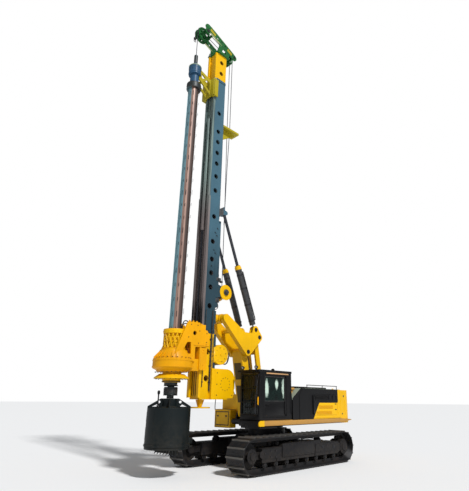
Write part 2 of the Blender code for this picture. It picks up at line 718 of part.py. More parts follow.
def make_cab():
    body = "upper"
    shell = box(body, (CAB_INNER_X, CAB_FRONT, CAB_BOTTOM), (CAB_OUTER_X, CAB_REAR, CAB_TOP), bevel=CAB_WALL / 2)
    visor = box(body, (CAB_INNER_X + CAB_WALL, CAB_FRONT - VISOR_REACH, CAB_TOP - CAB_WALL),
                (CAB_OUTER_X - CAB_WALL, CAB_FRONT + OVERRUN, CAB_TOP - CAB_WALL / 3))
    room = box(body, (CAB_INNER_X + CAB_WALL, CAB_FRONT + CAB_WALL, CAB_BOTTOM + CAB_WALL),
               (CAB_OUTER_X - CAB_WALL, CAB_REAR - CAB_WALL, CAB_TOP - CAB_WALL))
    front = box(body, (CAB_INNER_X + CAB_POST, CAB_FRONT - OVERRUN, CAB_BOTTOM + CAB_POST * 2),
                (CAB_OUTER_X - CAB_POST, CAB_FRONT + CAB_WALL * 2, CAB_HEAD))
    rear = box(body, (CAB_INNER_X + CAB_POST, CAB_REAR - CAB_WALL * 2, CAB_SILL),
               (CAB_OUTER_X - CAB_POST, CAB_REAR + OVERRUN, CAB_HEAD))
    right = box(body, (CAB_INNER_X - OVERRUN, CAB_FRONT + CAB_POST, CAB_SILL),
                (CAB_INNER_X + CAB_WALL * 2, CAB_REAR - CAB_POST, CAB_HEAD))
    doorway = box(body, (CAB_OUTER_X - CAB_WALL * 2, DOOR_FRONT, DOOR_BOTTOM),
                  (CAB_OUTER_X + OVERRUN, DOOR_REAR, DOOR_TOP))
    hinge_x = CAB_OUTER_X + DOOR_HINGE_RADIUS + DOOR_GAP
    knuckles = shell_knuckles(body, hinge_x, DOOR_REAR - DOOR_GAP, DOOR_BOTTOM + DOOR_FRAME, DOOR_TOP - DOOR_FRAME,
                              CAB_OUTER_X - CAB_WALL / 2, 1)
    part("cab_shell", shell, "cab_black", joins=[visor], cuts=[room, front, rear, right, doorway])
    change(shell, "UNION", knuckles)

    inset = SEAT_GAP
    front_pane = box(body, (CAB_INNER_X + CAB_POST + inset, CAB_FRONT + CAB_WALL / 2, CAB_BOTTOM + CAB_POST * 2 + inset),
                     (CAB_OUTER_X - CAB_POST - inset, CAB_FRONT + CAB_WALL / 2 + GLASS_THICKNESS, CAB_HEAD - inset))
    part("glass_front", front_pane, "glass")
    rear_pane = box(body, (CAB_INNER_X + CAB_POST + inset, CAB_REAR - CAB_WALL / 2 - GLASS_THICKNESS, CAB_SILL + inset),
                    (CAB_OUTER_X - CAB_POST - inset, CAB_REAR - CAB_WALL / 2, CAB_HEAD - inset))
    part("glass_rear", rear_pane, "glass")
    right_pane = box(body, (CAB_INNER_X + CAB_WALL / 2, CAB_FRONT + CAB_POST + inset, CAB_SILL + inset),
                     (CAB_INNER_X + CAB_WALL / 2 + GLASS_THICKNESS, CAB_REAR - CAB_POST - inset, CAB_HEAD - inset))
    part("glass_right", right_pane, "glass")

    middle_x = (CAB_INNER_X + CAB_OUTER_X) / 2
    middle_y = (CAB_FRONT + CAB_REAR) / 2 + SEAT_DEPTH / 4
    floor = CAB_BOTTOM + CAB_WALL + SEAT_GAP
    base = box(body, (middle_x - SEAT_WIDTH / 3, middle_y - SEAT_DEPTH / 3, floor),
               (middle_x + SEAT_WIDTH / 3, middle_y + SEAT_DEPTH / 3, floor + SEAT_HEIGHT - SEAT_CUSHION / 2))
    cushion = box(body, (middle_x - SEAT_WIDTH / 2, middle_y - SEAT_DEPTH / 2, floor + SEAT_HEIGHT - SEAT_CUSHION),
                  (middle_x + SEAT_WIDTH / 2, middle_y + SEAT_DEPTH / 2, floor + SEAT_HEIGHT), bevel=SEAT_CUSHION / 4)
    back = box(body, (middle_x - SEAT_WIDTH / 2, middle_y + SEAT_DEPTH / 2 - SEAT_CUSHION, floor + SEAT_HEIGHT / 2),
               (middle_x + SEAT_WIDTH / 2, middle_y + SEAT_DEPTH / 2, floor + SEAT_HEIGHT + SEAT_BACK),
               bevel=SEAT_CUSHION / 4)
    part("cab_seat", base, "seat_black", joins=[cushion, back])


def make_cab_door():
    body = "cab_door_hinge"
    hinge_x = CAB_OUTER_X + DOOR_HINGE_RADIUS + DOOR_GAP
    low = (CAB_OUTER_X - CAB_WALL, DOOR_FRONT + DOOR_GAP, DOOR_BOTTOM + DOOR_GAP)
    high = (CAB_OUTER_X, DOOR_REAR - DOOR_GAP, DOOR_TOP - DOOR_GAP)
    leaf = box(body, low, high)
    barrel = bar(body, (hinge_x, DOOR_REAR - DOOR_GAP, DOOR_BOTTOM + DOOR_FRAME),
                 (hinge_x, DOOR_REAR - DOOR_GAP, DOOR_TOP - DOOR_FRAME), DOOR_HINGE_RADIUS, 10)
    strap = box(body, (CAB_OUTER_X - CAB_WALL / 2, DOOR_REAR - DOOR_FRAME, DOOR_BOTTOM + DOOR_FRAME),
                (hinge_x, DOOR_REAR - DOOR_GAP * 2, DOOR_TOP - DOOR_FRAME))
    window = box(body, (low[0] - OVERRUN, low[1] + DOOR_FRAME, DOOR_WINDOW_SILL),
                 (high[0] + DOOR_HINGE_RADIUS * 4, high[1] - DOOR_FRAME, high[2] - DOOR_FRAME))
    part("cab_door", leaf, "cab_black", joins=[strap, barrel], cuts=[window])
    pane_x = (low[0] + high[0]) / 2
    pane = box(body, (pane_x - GLASS_THICKNESS / 2, low[1] + DOOR_FRAME + SEAT_GAP, DOOR_WINDOW_SILL + SEAT_GAP),
               (pane_x + GLASS_THICKNESS / 2, high[1] - DOOR_FRAME - SEAT_GAP, high[2] - DOOR_FRAME - SEAT_GAP))
    part("glass_door", pane, "glass")


# Engine house, its doors and lid, engine, counterweight, right-hand boxes


def make_house():
    body = "upper"
    floor = DECK_TOP + SEAT_GAP
    rear = DECK_REAR - SEAT_GAP

    def section(inset):
        return [
            (HOUSE_FRONT + inset, floor + (inset if inset else 0)),
            (rear - inset, floor + (inset if inset else 0)),
            (rear - inset, HOUSE_TOP - inset),
            (HOUSE_FRONT + HOUSE_SLOPE_RUN + inset / 2, HOUSE_TOP - inset),
            (HOUSE_FRONT + inset, HOUSE_TOP - HOUSE_SLOPE_DROP - inset / 2),
        ]

    shell = plate(body, [section(0)], 2 * HOUSE_HALF_WIDTH, 0)
    room = plate(body, [section(HOUSE_WALL)], 2 * (HOUSE_HALF_WIDTH - HOUSE_WALL), 0)
    cuts = [room]
    for side in (-1, 1):
        ends = sorted((side * (HOUSE_HALF_WIDTH - 2 * HOUSE_WALL), side * (HOUSE_HALF_WIDTH + OVERRUN)))
        cuts.append(box(body, (ends[0], SIDE_DOOR_FRONT, SIDE_DOOR_BOTTOM), (ends[1], SIDE_DOOR_REAR, SIDE_DOOR_TOP)))
    cuts.append(box(body, (-LID_HALF_WIDTH, LID_FRONT, HOUSE_TOP - 2 * HOUSE_WALL),
                    (LID_HALF_WIDTH, LID_REAR, HOUSE_TOP + OVERRUN)))
    part("house", shell, "cab_black", cuts=cuts)
    for side in (-1, 1):
        hinge_x = side * (HOUSE_HALF_WIDTH + DOOR_HINGE_RADIUS + DOOR_GAP)
        change(shell, "UNION", shell_knuckles(body, hinge_x, SIDE_DOOR_FRONT + DOOR_GAP, SIDE_DOOR_BOTTOM + DOOR_FRAME,
                                              SIDE_DOOR_TOP - DOOR_FRAME, side * (HOUSE_HALF_WIDTH - HOUSE_WALL / 2), -1))

    half = [size / 2 for size in ENGINE_SIZE]
    engine_floor = floor + HOUSE_WALL + SEAT_GAP
    block = box(body, (-half[0], ENGINE_CENTRE_Y - half[1], engine_floor),
                (half[0], ENGINE_CENTRE_Y + half[1], engine_floor + ENGINE_SIZE[2]))
    part("engine_block", block, "frame_grey")


def make_side_door(name, side):
    body = name + "_hinge"
    ends = sorted((side * (HOUSE_HALF_WIDTH - HOUSE_WALL), side * HOUSE_HALF_WIDTH))
    leaf = box(body, (ends[0], SIDE_DOOR_FRONT + DOOR_GAP, SIDE_DOOR_BOTTOM + DOOR_GAP),
               (ends[1], SIDE_DOOR_REAR - DOOR_GAP, SIDE_DOOR_TOP - DOOR_GAP))
    hinge_x = side * (HOUSE_HALF_WIDTH + DOOR_HINGE_RADIUS + DOOR_GAP)
    hinge_y = SIDE_DOOR_FRONT + DOOR_GAP
    barrel = bar(body, (hinge_x, hinge_y, SIDE_DOOR_BOTTOM + DOOR_FRAME),
                 (hinge_x, hinge_y, SIDE_DOOR_TOP - DOOR_FRAME), DOOR_HINGE_RADIUS, 10)
    strap_ends = sorted((side * (HOUSE_HALF_WIDTH - HOUSE_WALL / 2), hinge_x))
    strap = box(body, (strap_ends[0], hinge_y + DOOR_GAP, SIDE_DOOR_BOTTOM + DOOR_FRAME),
                (strap_ends[1], hinge_y + DOOR_FRAME, SIDE_DOOR_TOP - DOOR_FRAME))
    part(name, leaf, "rig_yellow", joins=[strap, barrel])


def make_hood_lid():
    body = "hood_lid_hinge"
    lid = box(body, (-LID_HALF_WIDTH + DOOR_GAP, LID_FRONT + DOOR_GAP, HOUSE_TOP - HOUSE_WALL),
              (LID_HALF_WIDTH - DOOR_GAP, LID_REAR - DOOR_GAP, HOUSE_TOP + LID_RISE / 2))
    cap = box(body, (-LID_HALF_WIDTH - OVERRUN / 2, LID_FRONT - OVERRUN / 2, HOUSE_TOP + SEAT_GAP),
              (LID_HALF_WIDTH + OVERRUN / 2, LID_REAR - OVERRUN / 2, HOUSE_TOP + LID_RISE), bevel=LID_RISE / 4)
    part("hood_lid", lid, "cab_black", joins=[cap])


def make_counterweight():
    body = "upper"
    front = DECK_REAR + SEAT_GAP
    half = HOUSE_HALF_WIDTH
    corner = COUNTERWEIGHT_CORNER
    outline = [(-half, front), (half, front),
               *arc((half - corner, COUNTERWEIGHT_REAR - corner), corner, 0, pi / 2, 6),
               *arc((-half + corner, COUNTERWEIGHT_REAR - corner), corner, pi / 2, pi, 6)]
    block = plate(body, [outline], COUNTERWEIGHT_TOP - DECK_BOTTOM, (COUNTERWEIGHT_TOP + DECK_BOTTOM) / 2, "plan")
    wedge_outline = [
        (COUNTERWEIGHT_REAR - COUNTERWEIGHT_HEEL, COUNTERWEIGHT_TOP + OVERRUN),
        (COUNTERWEIGHT_REAR + OVERRUN, COUNTERWEIGHT_TOP + OVERRUN),
        (COUNTERWEIGHT_REAR + OVERRUN, DECK_BOTTOM + corner),
        (COUNTERWEIGHT_REAR, DECK_BOTTOM + corner),
    ]
    wedge = plate(body, [wedge_outline], 2 * half + 2 * OVERRUN, 0)
    part("counterweight", block, "rig_yellow", cuts=[wedge])


def make_right_boxes():
    body = "upper"
    floor = DECK_TOP + SEAT_GAP
    front_face = DECK_RIGHT_FRONT - SEAT_GAP
    top = box(body, (TOOL_BOX_OUTER_X, DECK_RIGHT_FRONT + OVERRUN, floor),
              (TOOL_BOX_INNER_X, HOUSE_FRONT - SEAT_GAP, TANK_TOP), bevel=OVERRUN / 2)
    step = box(body, (TOOL_BOX_OUTER_X, front_face - 6 * OVERRUN, TOOL_BOX_BOTTOM),
               (TOOL_BOX_INNER_X, front_face, TOOL_BOX_TOP), bevel=OVERRUN / 3)
    joint = box(body, (TOOL_BOX_OUTER_X + OVERRUN, front_face - OVERRUN, floor + OVERRUN),
                (TOOL_BOX_INNER_X - OVERRUN, DECK_RIGHT_FRONT + 2 * OVERRUN, TOOL_BOX_TOP - OVERRUN))
    part("tank_and_step", top, "rig_yellow", joins=[step, joint])


# Luffing linkage


def make_boom():
    body = "boom_pivot"
    beam = plate(body, [capsule(BOOM_FOOT, BOOM_HEAD, BOOM_HALF_DEPTH)], 2 * BOOM_HALF_WIDTH, 0)
    lean = (BOOM_HEAD[0] - BOOM_FOOT[0]) / (BOOM_HEAD[1] - BOOM_FOOT[1])
    axis_y = BOOM_FOOT[0] + lean * (LUFF_HEAD[1] - BOOM_FOOT[1])
    lug = [(axis_y, LUFF_HEAD[1] - BRACKET_RADIUS * 1.5), *arc(LUFF_HEAD, BRACKET_RADIUS / 1.5, -pi / 2, pi / 2, 6),
           (axis_y, LUFF_HEAD[1] + BRACKET_RADIUS * 1.5)]
    joins = []
    for side in (-1, 1):
        middle = side * (HEAD_EYE_WIDTH / 2 + SIDE_GAP + EAR_THICKNESS / 2)
        joins.append(plate(body, [lug], EAR_THICKNESS, middle))
    reach = BOOM_HALF_WIDTH + OVERRUN
    cuts = [cross_bore(body, BOOM_FOOT, -reach, reach, PIN_RADIUS),
            cross_bore(body, BOOM_HEAD, -reach, reach, PIN_RADIUS),
            cross_bore(body, LUFF_HEAD, -reach, reach, THIN_PIN_RADIUS, 2 * RUN_GAP)]
    part("boom", beam, "rig_yellow", joins=joins, cuts=cuts)


def make_link():
    body = "link_pivot"
    joins = []
    arm_middle = LINK_INNER_X + SIDE_GAP + EAR_THICKNESS
    arm = plate(body, [capsule(LINK_FOOT, LINK_HEAD, LINK_HALF_DEPTH)], 2 * EAR_THICKNESS - 2 * SIDE_GAP, -arm_middle)
    other = plate(body, [capsule(LINK_FOOT, LINK_HEAD, LINK_HALF_DEPTH)], 2 * EAR_THICKNESS - 2 * SIDE_GAP, arm_middle)
    tie = ((LINK_FOOT[0] + 3 * LINK_HEAD[0]) / 4, (LINK_FOOT[1] + 3 * LINK_HEAD[1]) / 4)
    joins.append(other)
    joins.append(cross_bar(body, tie, -arm_middle, arm_middle, LINK_HALF_DEPTH * 0.7))
    cuts = []
    for pin in (LINK_FOOT, LINK_HEAD):
        reach = arm_middle + 2 * EAR_THICKNESS
        cuts.append(cross_bore(body, pin, -reach, reach, PIN_RADIUS))
    part("link_arms", arm, "rig_yellow", joins=joins, cuts=cuts)


def make_triangle():
    body = "triangle_pivot"
    thickness = TRIANGLE_OUTER_X - TRIANGLE_INNER_X
    r = TRIANGLE_CORNER
    front_angle = atan2(BOOM_HEAD[1] - MAST_PIN[1], BOOM_HEAD[0] - MAST_PIN[0]) - pi / 2
    rear_angle = atan2(LINK_HEAD[1] - BOOM_HEAD[1], LINK_HEAD[0] - BOOM_HEAD[0]) - pi / 2
    waist = (CYLINDER_FOOT[0] - 4 * r, CYLINDER_FOOT[1] - r)
    outline = [
        *arc(MAST_PIN, r, pi / 3, front_angle + 2 * pi, 6),
        *arc(BOOM_HEAD, r, front_angle + 2 * pi, rear_angle + 2 * pi, 4),
        *arc(LINK_HEAD, r, rear_angle, pi / 8, 4),
        *arc(CYLINDER_FOOT, r, pi / 12, pi, 6),
        (CYLINDER_FOOT[0] - r * 1.3, waist[1]), waist,
    ]
    side_plates = []
    cuts = []
    slot_half = FOOT_EYE_WIDTH / 2 + OPEN_PIN_SIDE
    for side in (-1, 1):
        middle = side * (TRIANGLE_INNER_X + TRIANGLE_OUTER_X) / 2
        side_plates.append(plate(body, [outline], thickness, middle))
        ear = side * MAST_CYLINDER_X
        cuts.append(box(body, (ear - slot_half, CYLINDER_FOOT[0] - OPEN_PIN_DEPTH, CYLINDER_FOOT[1] - OPEN_PIN_DEPTH),
                        (ear + slot_half, CYLINDER_FOOT[0] + 2 * r, CYLINDER_FOOT[1] + 3 * r)))
    reach = TRIANGLE_INNER_X + thickness / 2
    joins = [side_plates[1]]
    for pin, radius in ((MAST_PIN, PIN_RADIUS), (BOOM_HEAD, PIN_RADIUS), (LINK_HEAD, PIN_RADIUS)):
        joins.append(cross_bar(body, pin, -reach, reach, radius))
    tie = ((2 * MAST_PIN[0] + CYLINDER_FOOT[0]) / 3, (2 * MAST_PIN[1] + BOOM_HEAD[1]) / 3)
    joins.append(cross_bar(body, tie, -reach, reach, r * 0.6))
    part("triangle_frame", side_plates[0], "rig_yellow", joins=joins, cuts=cuts)


def make_swivel():
    body = "mast_tilt"
    hub = cross_bar(body, MAST_PIN, -SWIVEL_HALF_WIDTH, SWIVEL_HALF_WIDTH, SWIVEL_RADIUS, 20)
    flange_back = SWIVEL_FLANGE_FACE + SWIVEL_FLANGE_THICKNESS
    y, z = MAST_PIN
    joins = [
        bar(body, (0, y, z), (0, SWIVEL_FLANGE_FACE, z), SWIVEL_RADIUS, 20),
        bar(body, (0, flange_back, z), (0, SWIVEL_FLANGE_FACE, z), SWIVEL_RADIUS * 1.3, 24),
        bar(body, (0, flange_back, z), (0, MAST_BACK - 2 * MAST_WALL, z), TRUNNION_RADIUS, 20),
    ]
    reach = SWIVEL_HALF_WIDTH + OVERRUN
    part("swivel_block", hub, "rig_yellow", joins=joins,
         cuts=[cross_bore(body, MAST_PIN, -reach, reach, PIN_RADIUS)])


def along(first, second, distance):
    """Point of the side view at a distance from the first along the line to the second."""
    length = hypot(second[0] - first[0], second[1] - first[1])
    return (first[0] + (second[0] - first[0]) * distance / length,
            first[1] + (second[1] - first[1]) * distance / length)


def make_cylinder(barrel_name, rod_name, barrel_body, rod_body, x, foot, head, sizes, barrel_pin, rod_pin):
    """Hydraulic cylinder: barrel eye at the foot, rod eye at the head.

    Sizes are the barrel radius, the rod radius, the barrel length, the eye radius and
    the radius of the lug round the foot. A bored eye gives its pin's radius, and an eye
    that keeps its own pin gives None.
    """
    radius, rod_radius, length, eye, foot_lug = sizes

    def at(distance):
        y, z = along(foot, head, distance)
        return (x, y, z)

    half = FOOT_EYE_WIDTH / 2
    total = hypot(head[0] - foot[0], head[1] - foot[1])
    start = foot_lug + LUG_CLEARANCE
    barrel = bar(barrel_body, at(start), at(length), radius, 16)
    foot_eye = cross_bar(barrel_body, foot, x - half, x + half, eye, 16)
    neck = bar(barrel_body, at(eye / 2), at(start + LUG_CLEARANCE), half * 0.95, 12)
    cap = bar(barrel_body, at(length - radius), at(length), radius * 1.12, 16)
    cuts = [bore(barrel_body, at(start + 2 * LUG_CLEARANCE), at(length + OVERRUN), rod_radius)]
    if barrel_pin:
        cuts.append(cross_bore(barrel_body, foot, x - half - OVERRUN, x + half + OVERRUN, barrel_pin))
    part(barrel_name, barrel, "cab_black", joins=[neck, foot_eye, cap], cuts=cuts)

    half = HEAD_EYE_WIDTH / 2
    rod = bar(rod_body, at(length * 0.72), at(total), rod_radius)
    head_eye = cross_bar(rod_body, head, x - half, x + half, eye, 16)
    joins = [head_eye]
    cuts = []
    if rod_pin:
        cuts.append(cross_bore(rod_body, head, x - half - OVERRUN, x + half + OVERRUN, rod_pin))
    else:
        own = half + SIDE_GAP + EAR_THICKNESS * 0.8
        joins.append(cross_bar(rod_body, head, x - own, x + own, THIN_PIN_RADIUS))
    part(rod_name, rod, "bright_steel", joins=joins, cuts=cuts)


# Mast


def box_tube(body, low_z, high_z):
    outer = box(body, (-MAST_HALF_WIDTH, MAST_FRONT, low_z), (MAST_HALF_WIDTH, MAST_BACK, high_z))
    inner = box(body, (-MAST_HALF_WIDTH + MAST_WALL, MAST_FRONT + MAST_WALL, low_z - OVERRUN),
                (MAST_HALF_WIDTH - MAST_WALL, MAST_BACK - MAST_WALL, high_z + OVERRUN))
    return outer, inner


def rail_pair(body, low_z, high_z, outer_x):
    rails = []
    for side in (-1, 1):
        ends = sorted((side * RAIL_INNER_X, side * outer_x))
        rails.append(box(body, (ends[0], RAIL_FRONT, low_z), (ends[1], MAST_FRONT + MAST_WALL / 2, high_z)))
    return rails


def side_holes(body, heights, radius):
    reach = MAST_HALF_WIDTH + OVERRUN
    y = (MAST_FRONT + MAST_BACK) / 2
    return [cross_bar(body, (y, z), -reach, reach, radius, HOLE_SIDES) for z in heights]


def make_mast_lower():
    body = "mast_lean"
    top = MAST_SPLIT - SEAT_GAP
    outer, inner = box_tube(body, MAST_BOTTOM, top)
    joins = rail_pair(body, MAST_BOTTOM + OVERRUN, top, RAIL_OUTER_X)
    floor_plate = box(body, (-MAST_HALF_WIDTH + MAST_WALL / 2, MAST_FRONT + MAST_WALL / 2, MAST_BOTTOM),
                      (MAST_HALF_WIDTH - MAST_WALL / 2, MAST_BACK - MAST_WALL / 2, MAST_BOTTOM + EAR_THICKNESS))
    guide = bar(body, (0, FOOT_Y, MAST_BOTTOM), (0, FOOT_Y, FOOT_STEM_TOP + OVERRUN), FOOT_STEM_RADIUS * 1.5, 16)
    corner = WINCH_CORNER
    outline = [(MAST_BACK - MAST_WALL / 2, MAST_BOTTOM), (WINCH_REAR - corner, MAST_BOTTOM),
               (WINCH_REAR, MAST_BOTTOM + corner),
               *arc((WINCH_REAR - corner, WINCH_TOP - corner), corner, 0, pi / 2, 5),
               (MAST_BACK - MAST_WALL / 2, WINCH_TOP)]
    for side in (-1, 1):
        middle = side * (WINCH_PLATE_X + WINCH_PLATE_THICKNESS / 2)
        joins.append(plate(body, [outline], WINCH_PLATE_THICKNESS, middle))
        ends = sorted((side * (MAST_HALF_WIDTH - MAST_WALL / 2), side * (WINCH_PLATE_X + WINCH_PLATE_THICKNESS)))
        joins.append(box(body, (ends[0], MAST_BACK - 2 * OVERRUN, MAST_BOTTOM), (ends[1], MAST_BACK + OVERRUN / 5, WINCH_TOP)))
    reach = WINCH_PLATE_X + WINCH_PLATE_THICKNESS / 2
    joins.append(cross_bar(body, MAIN_DRUM_CENTRE, -reach, reach, PIN_RADIUS))
    valve = box(body, (-MAST_HALF_WIDTH + OVERRUN, MAST_BACK - MAST_WALL / 2, 3.22), (MAST_HALF_WIDTH + OVERRUN, MAST_BACK + 0.5, 3.72),
                bevel=OVERRUN)
    joins.append(valve)
    holes = side_holes(body, (2.72, 3.55), MAST_HOLE_RADIUS)
    stem = bore(body, (0, FOOT_Y, MAST_BOTTOM - OVERRUN), (0, FOOT_Y, FOOT_STEM_TOP + 3 * OVERRUN),
                FOOT_STEM_RADIUS)
    floor_joins = [floor_plate, guide]
    part("mast_lower", outer, "rig_yellow", cuts=[inner])
    change(outer, "UNION", floor_joins + joins)
    change(outer, "DIFFERENCE", [stem] + holes)


MAST_HOLE_HEIGHTS = (12.78, 11.93, 11.46, 10.98, 10.51, 9.96, 9.37, 8.32, 7.36, 6.70, 6.20, 5.70, 5.05)


def make_mast_upper():
    body = "mast_lean"
    bottom = MAST_SPLIT
    top = MAST_UPPER_END - SEAT_GAP
    outer, inner = box_tube(body, bottom, top)
    joins = rail_pair(body, bottom, MAST_RAIL_END, RAIL_OUTER_X)
    joins += rail_pair(body, MAST_RAIL_END - OVERRUN, top, RAIL_THIN_OUTER_X)
    pin_z = MAST_PIN[1]
    boss = box(body, (-BOSS_PLATE_HALF, MAST_BACK - MAST_WALL / 2, pin_z - BOSS_PLATE_HALF),
               (BOSS_PLATE_HALF, SWIVEL_FLANGE_FACE - RUN_GAP / 2, pin_z + BOSS_PLATE_HALF))
    joins.append(boss)
    y, z = MAST_EYE
    reach = MAST_CYLINDER_X + HEAD_EYE_WIDTH / 2 + SIDE_GAP + EAR_THICKNESS
    joins.append(box(body, (-reach, MAST_BACK - MAST_WALL / 2, z - EYE_RADIUS), (reach, MAST_BACK + OVERRUN / 2, z + 2 * EYE_RADIUS)))
    for side in (-1, 1):
        for edge in (-1, 1):
            middle = side * MAST_CYLINDER_X + edge * (HEAD_EYE_WIDTH / 2 + SIDE_GAP + EAR_THICKNESS / 2)
            ear = [(MAST_BACK - MAST_WALL / 2, z - EYE_RADIUS), *arc((y, z), EYE_RADIUS * 0.8, -pi / 2, pi / 2, 6),
                   (MAST_BACK - MAST_WALL / 2, z + EYE_RADIUS)]
            joins.append(plate(body, [ear], EAR_THICKNESS, middle))
        pin_half = HEAD_EYE_WIDTH / 2 + SIDE_GAP + EAR_THICKNESS / 2
        ends = (side * MAST_CYLINDER_X - pin_half, side * MAST_CYLINDER_X + pin_half)
        joins.append(cross_bar(body, MAST_EYE, ends[0], ends[1], THIN_PIN_RADIUS))
    ay, az = AUX_DRUM_CENTRE
    aux = [(MAST_BACK - MAST_WALL / 2, az - AUX_FLANGE_RADIUS), *arc((ay, az), AUX_FLANGE_RADIUS / 2, -pi / 2, pi / 2, 6),
           (MAST_BACK - MAST_WALL / 2, az + AUX_FLANGE_RADIUS)]
    for side in (-1, 1):
        joins.append(plate(body, [aux], WINCH_PLATE_THICKNESS / 2, side * (AUX_PLATE_X + WINCH_PLATE_THICKNESS / 4)))
    aux_reach = AUX_PLATE_X + WINCH_PLATE_THICKNESS / 4
    joins.append(cross_bar(body, AUX_DRUM_CENTRE, -aux_reach, aux_reach, THIN_PIN_RADIUS))
    joins.append(box(body, (-CROWD_BARREL_RADIUS, CROWD_Y, CROWD_BARREL_END + SEAT_GAP),
                     (CROWD_BARREL_RADIUS, MAST_FRONT + MAST_WALL / 2, CROWD_BARREL_END + 2 * OVERRUN)))
    trunnion = bore(body, (0, MAST_BACK - 3 * MAST_WALL, pin_z), (0, SWIVEL_FLANGE_FACE + OVERRUN, pin_z),
                    TRUNNION_RADIUS, 20)
    part("mast_upper", outer, "mast_blue", cuts=[inner])
    change(outer, "UNION", joins)
    change(outer, "DIFFERENCE", [trunnion] + side_holes(body, MAST_HOLE_HEIGHTS, MAST_HOLE_RADIUS), "MANIFOLD")


def make_mast_top():
    body = "mast_lean"
    outer, inner = box_tube(body, MAST_UPPER_END, MAST_TOP_END - SEAT_GAP)
    rails = rail_pair(body, MAST_UPPER_END, MAST_TOP_END - SEAT_GAP - OVERRUN, RAIL_THIN_OUTER_X)
    holes = side_holes(body, (14.75, 15.30), MAST_HOLE_RADIUS)
    part("mast_top", outer, "rig_yellow", joins=rails, cuts=[inner] + holes)


HEAD_OUTLINE_SHARES = (
    (-4.20, 16.10), (-4.26, 16.55), (-3.95, 16.95), (-3.30, 17.06), (-2.80, 16.60), (-2.30, 16.32),
    (-2.22, 15.86), (-2.50, 15.72), (-3.40, 15.72),
)


def make_head():
    body = "mast_lean"
    front_sheave = (KELLY_Y + FRONT_SHEAVE_RADIUS, FRONT_SHEAVE_Z)
    plates = [plate(body, [HEAD_OUTLINE_SHARES], HEAD_PLATE, side * HEAD_HALF_WIDTH) for side in (-1, 1)]
    base = box(body, (-HEAD_HALF_WIDTH, MAST_FRONT, MAST_TOP_END), (HEAD_HALF_WIDTH, MAST_BACK, MAST_TOP_END + OVERRUN))
    joins = [plates[1], base]
    for pin in (front_sheave, REAR_SHEAVE):
        joins.append(cross_bar(body, pin, -HEAD_HALF_WIDTH, HEAD_HALF_WIDTH, PIN_RADIUS))
    part("head_frame", plates[0], "head_green", joins=joins)
    return front_sheave


def make_sheave(name, centre, x, radius):
    body = name + "_axle"
    half = SHEAVE_WIDTH / 2
    groove = radius * 0.88
    hole = bore_radius(PIN_RADIUS)
    profile = [(radius, half), (radius, half * 0.6), (groove, half * 0.2), (groove, -half * 0.2),
               (radius, -half * 0.6), (radius, -half), (hole, -half), (hole, half)]
    wheel = turned(body, profile, (x, *centre), PIN_SIDES, (0, pi / 2, 0), pi / PIN_SIDES)
    part(name, wheel, "head_green")


def make_drum(name, centre, half, radius, flange, pin_radius, material):
    body = name + "_axle"
    hole = bore_radius(pin_radius)
    t = DRUM_FLANGE_THICKNESS
    profile = [(flange, half), (flange, half - t), (radius, half - t), (radius, -half + t),
               (flange, -half + t), (flange, -half), (hole, -half), (hole, half)]
    drum = turned(body, profile, (0, *centre), PIN_SIDES, (0, pi / 2, 0), pi / PIN_SIDES)
    part(name, drum, material)


def make_rope_guide():
    body = "mast_lean"
    z = GUIDE_ARM_Z
    arm = box(body, (-MAST_HALF_WIDTH, MAST_BACK + SEAT_GAP, z - OVERRUN), (MAST_HALF_WIDTH, GUIDE_ARM_REACH, z + OVERRUN),
              bevel=OVERRUN / 5)
    brace = plate(body, [[(MAST_BACK + SEAT_GAP, z), (GUIDE_ARM_REACH, z), (MAST_BACK + SEAT_GAP, z - 12 * OVERRUN)]],
                  EAR_THICKNESS, 0)
    part("rope_guide", arm, "rig_yellow", joins=[brace])


def make_mast_foot():
    body = "foot_slide"
    top = FOOT_STEM_TOP
    pad_top = FOOT_PAD_BOTTOM + FOOT_PAD_THICKNESS
    stem = bar(body, (0, FOOT_Y, pad_top - OVERRUN / 3), (0, FOOT_Y, top), FOOT_STEM_RADIUS)
    pad = bar(body, (0, FOOT_Y, FOOT_PAD_BOTTOM), (0, FOOT_Y, pad_top), FOOT_PAD_RADIUS, 24)
    cone = bar(body, (0, FOOT_Y, pad_top - OVERRUN / 3), (0, FOOT_Y, MAST_BOTTOM - RUN_GAP), FOOT_STEM_RADIUS, 16,
               FOOT_CONE_RADIUS)
    part("mast_foot", stem, "rig_yellow", joins=[pad, cone])


def make_crowd():
    body = "mast_lean"
    barrel = bar(body, (0, CROWD_Y, CROWD_BARREL_START), (0, CROWD_Y, CROWD_BARREL_END), CROWD_BARREL_RADIUS, 14)
    hole = bore(body, (0, CROWD_Y, CROWD_BARREL_START - OVERRUN), (0, CROWD_Y, CROWD_BARREL_END - OVERRUN),
                CROWD_ROD_RADIUS)
    strap = box(body, (-CROWD_BARREL_RADIUS, CROWD_Y, CROWD_BARREL_START), (CROWD_BARREL_RADIUS, MAST_FRONT - SEAT_GAP, CROWD_BARREL_START + 2 * OVERRUN))
    part("crowd_barrel", barrel, "cab_black", joins=[strap], cuts=[hole])
    rod_top = CROWD_BARREL_START + 4 * OVERRUN
    rod = bar("carriage", (0, CROWD_Y, CROWD_EYE_Z), (0, CROWD_Y, rod_top), CROWD_ROD_RADIUS)
    part("crowd_rod", rod, "bright_steel")


# Rotary drive


def wear_pads(body, low_z, high_z):
    """Pads between a slide's back plate and the front faces of the mast's rails."""
    pads = []
    for side in (-1, 1):
        low_x, high_x = sorted((side * (RAIL_INNER_X + RUN_GAP), side * (RAIL_THIN_OUTER_X - RUN_GAP)))
        for low, high in ((low_z, low_z + PAD_LENGTH), (high_z - PAD_LENGTH, high_z)):
            pads.append(box(body, (low_x, CARRIAGE_FACE - CARRIAGE_PLATE / 2, low), (high_x, RAIL_FRONT - PIN_GAP, high)))
    return pads


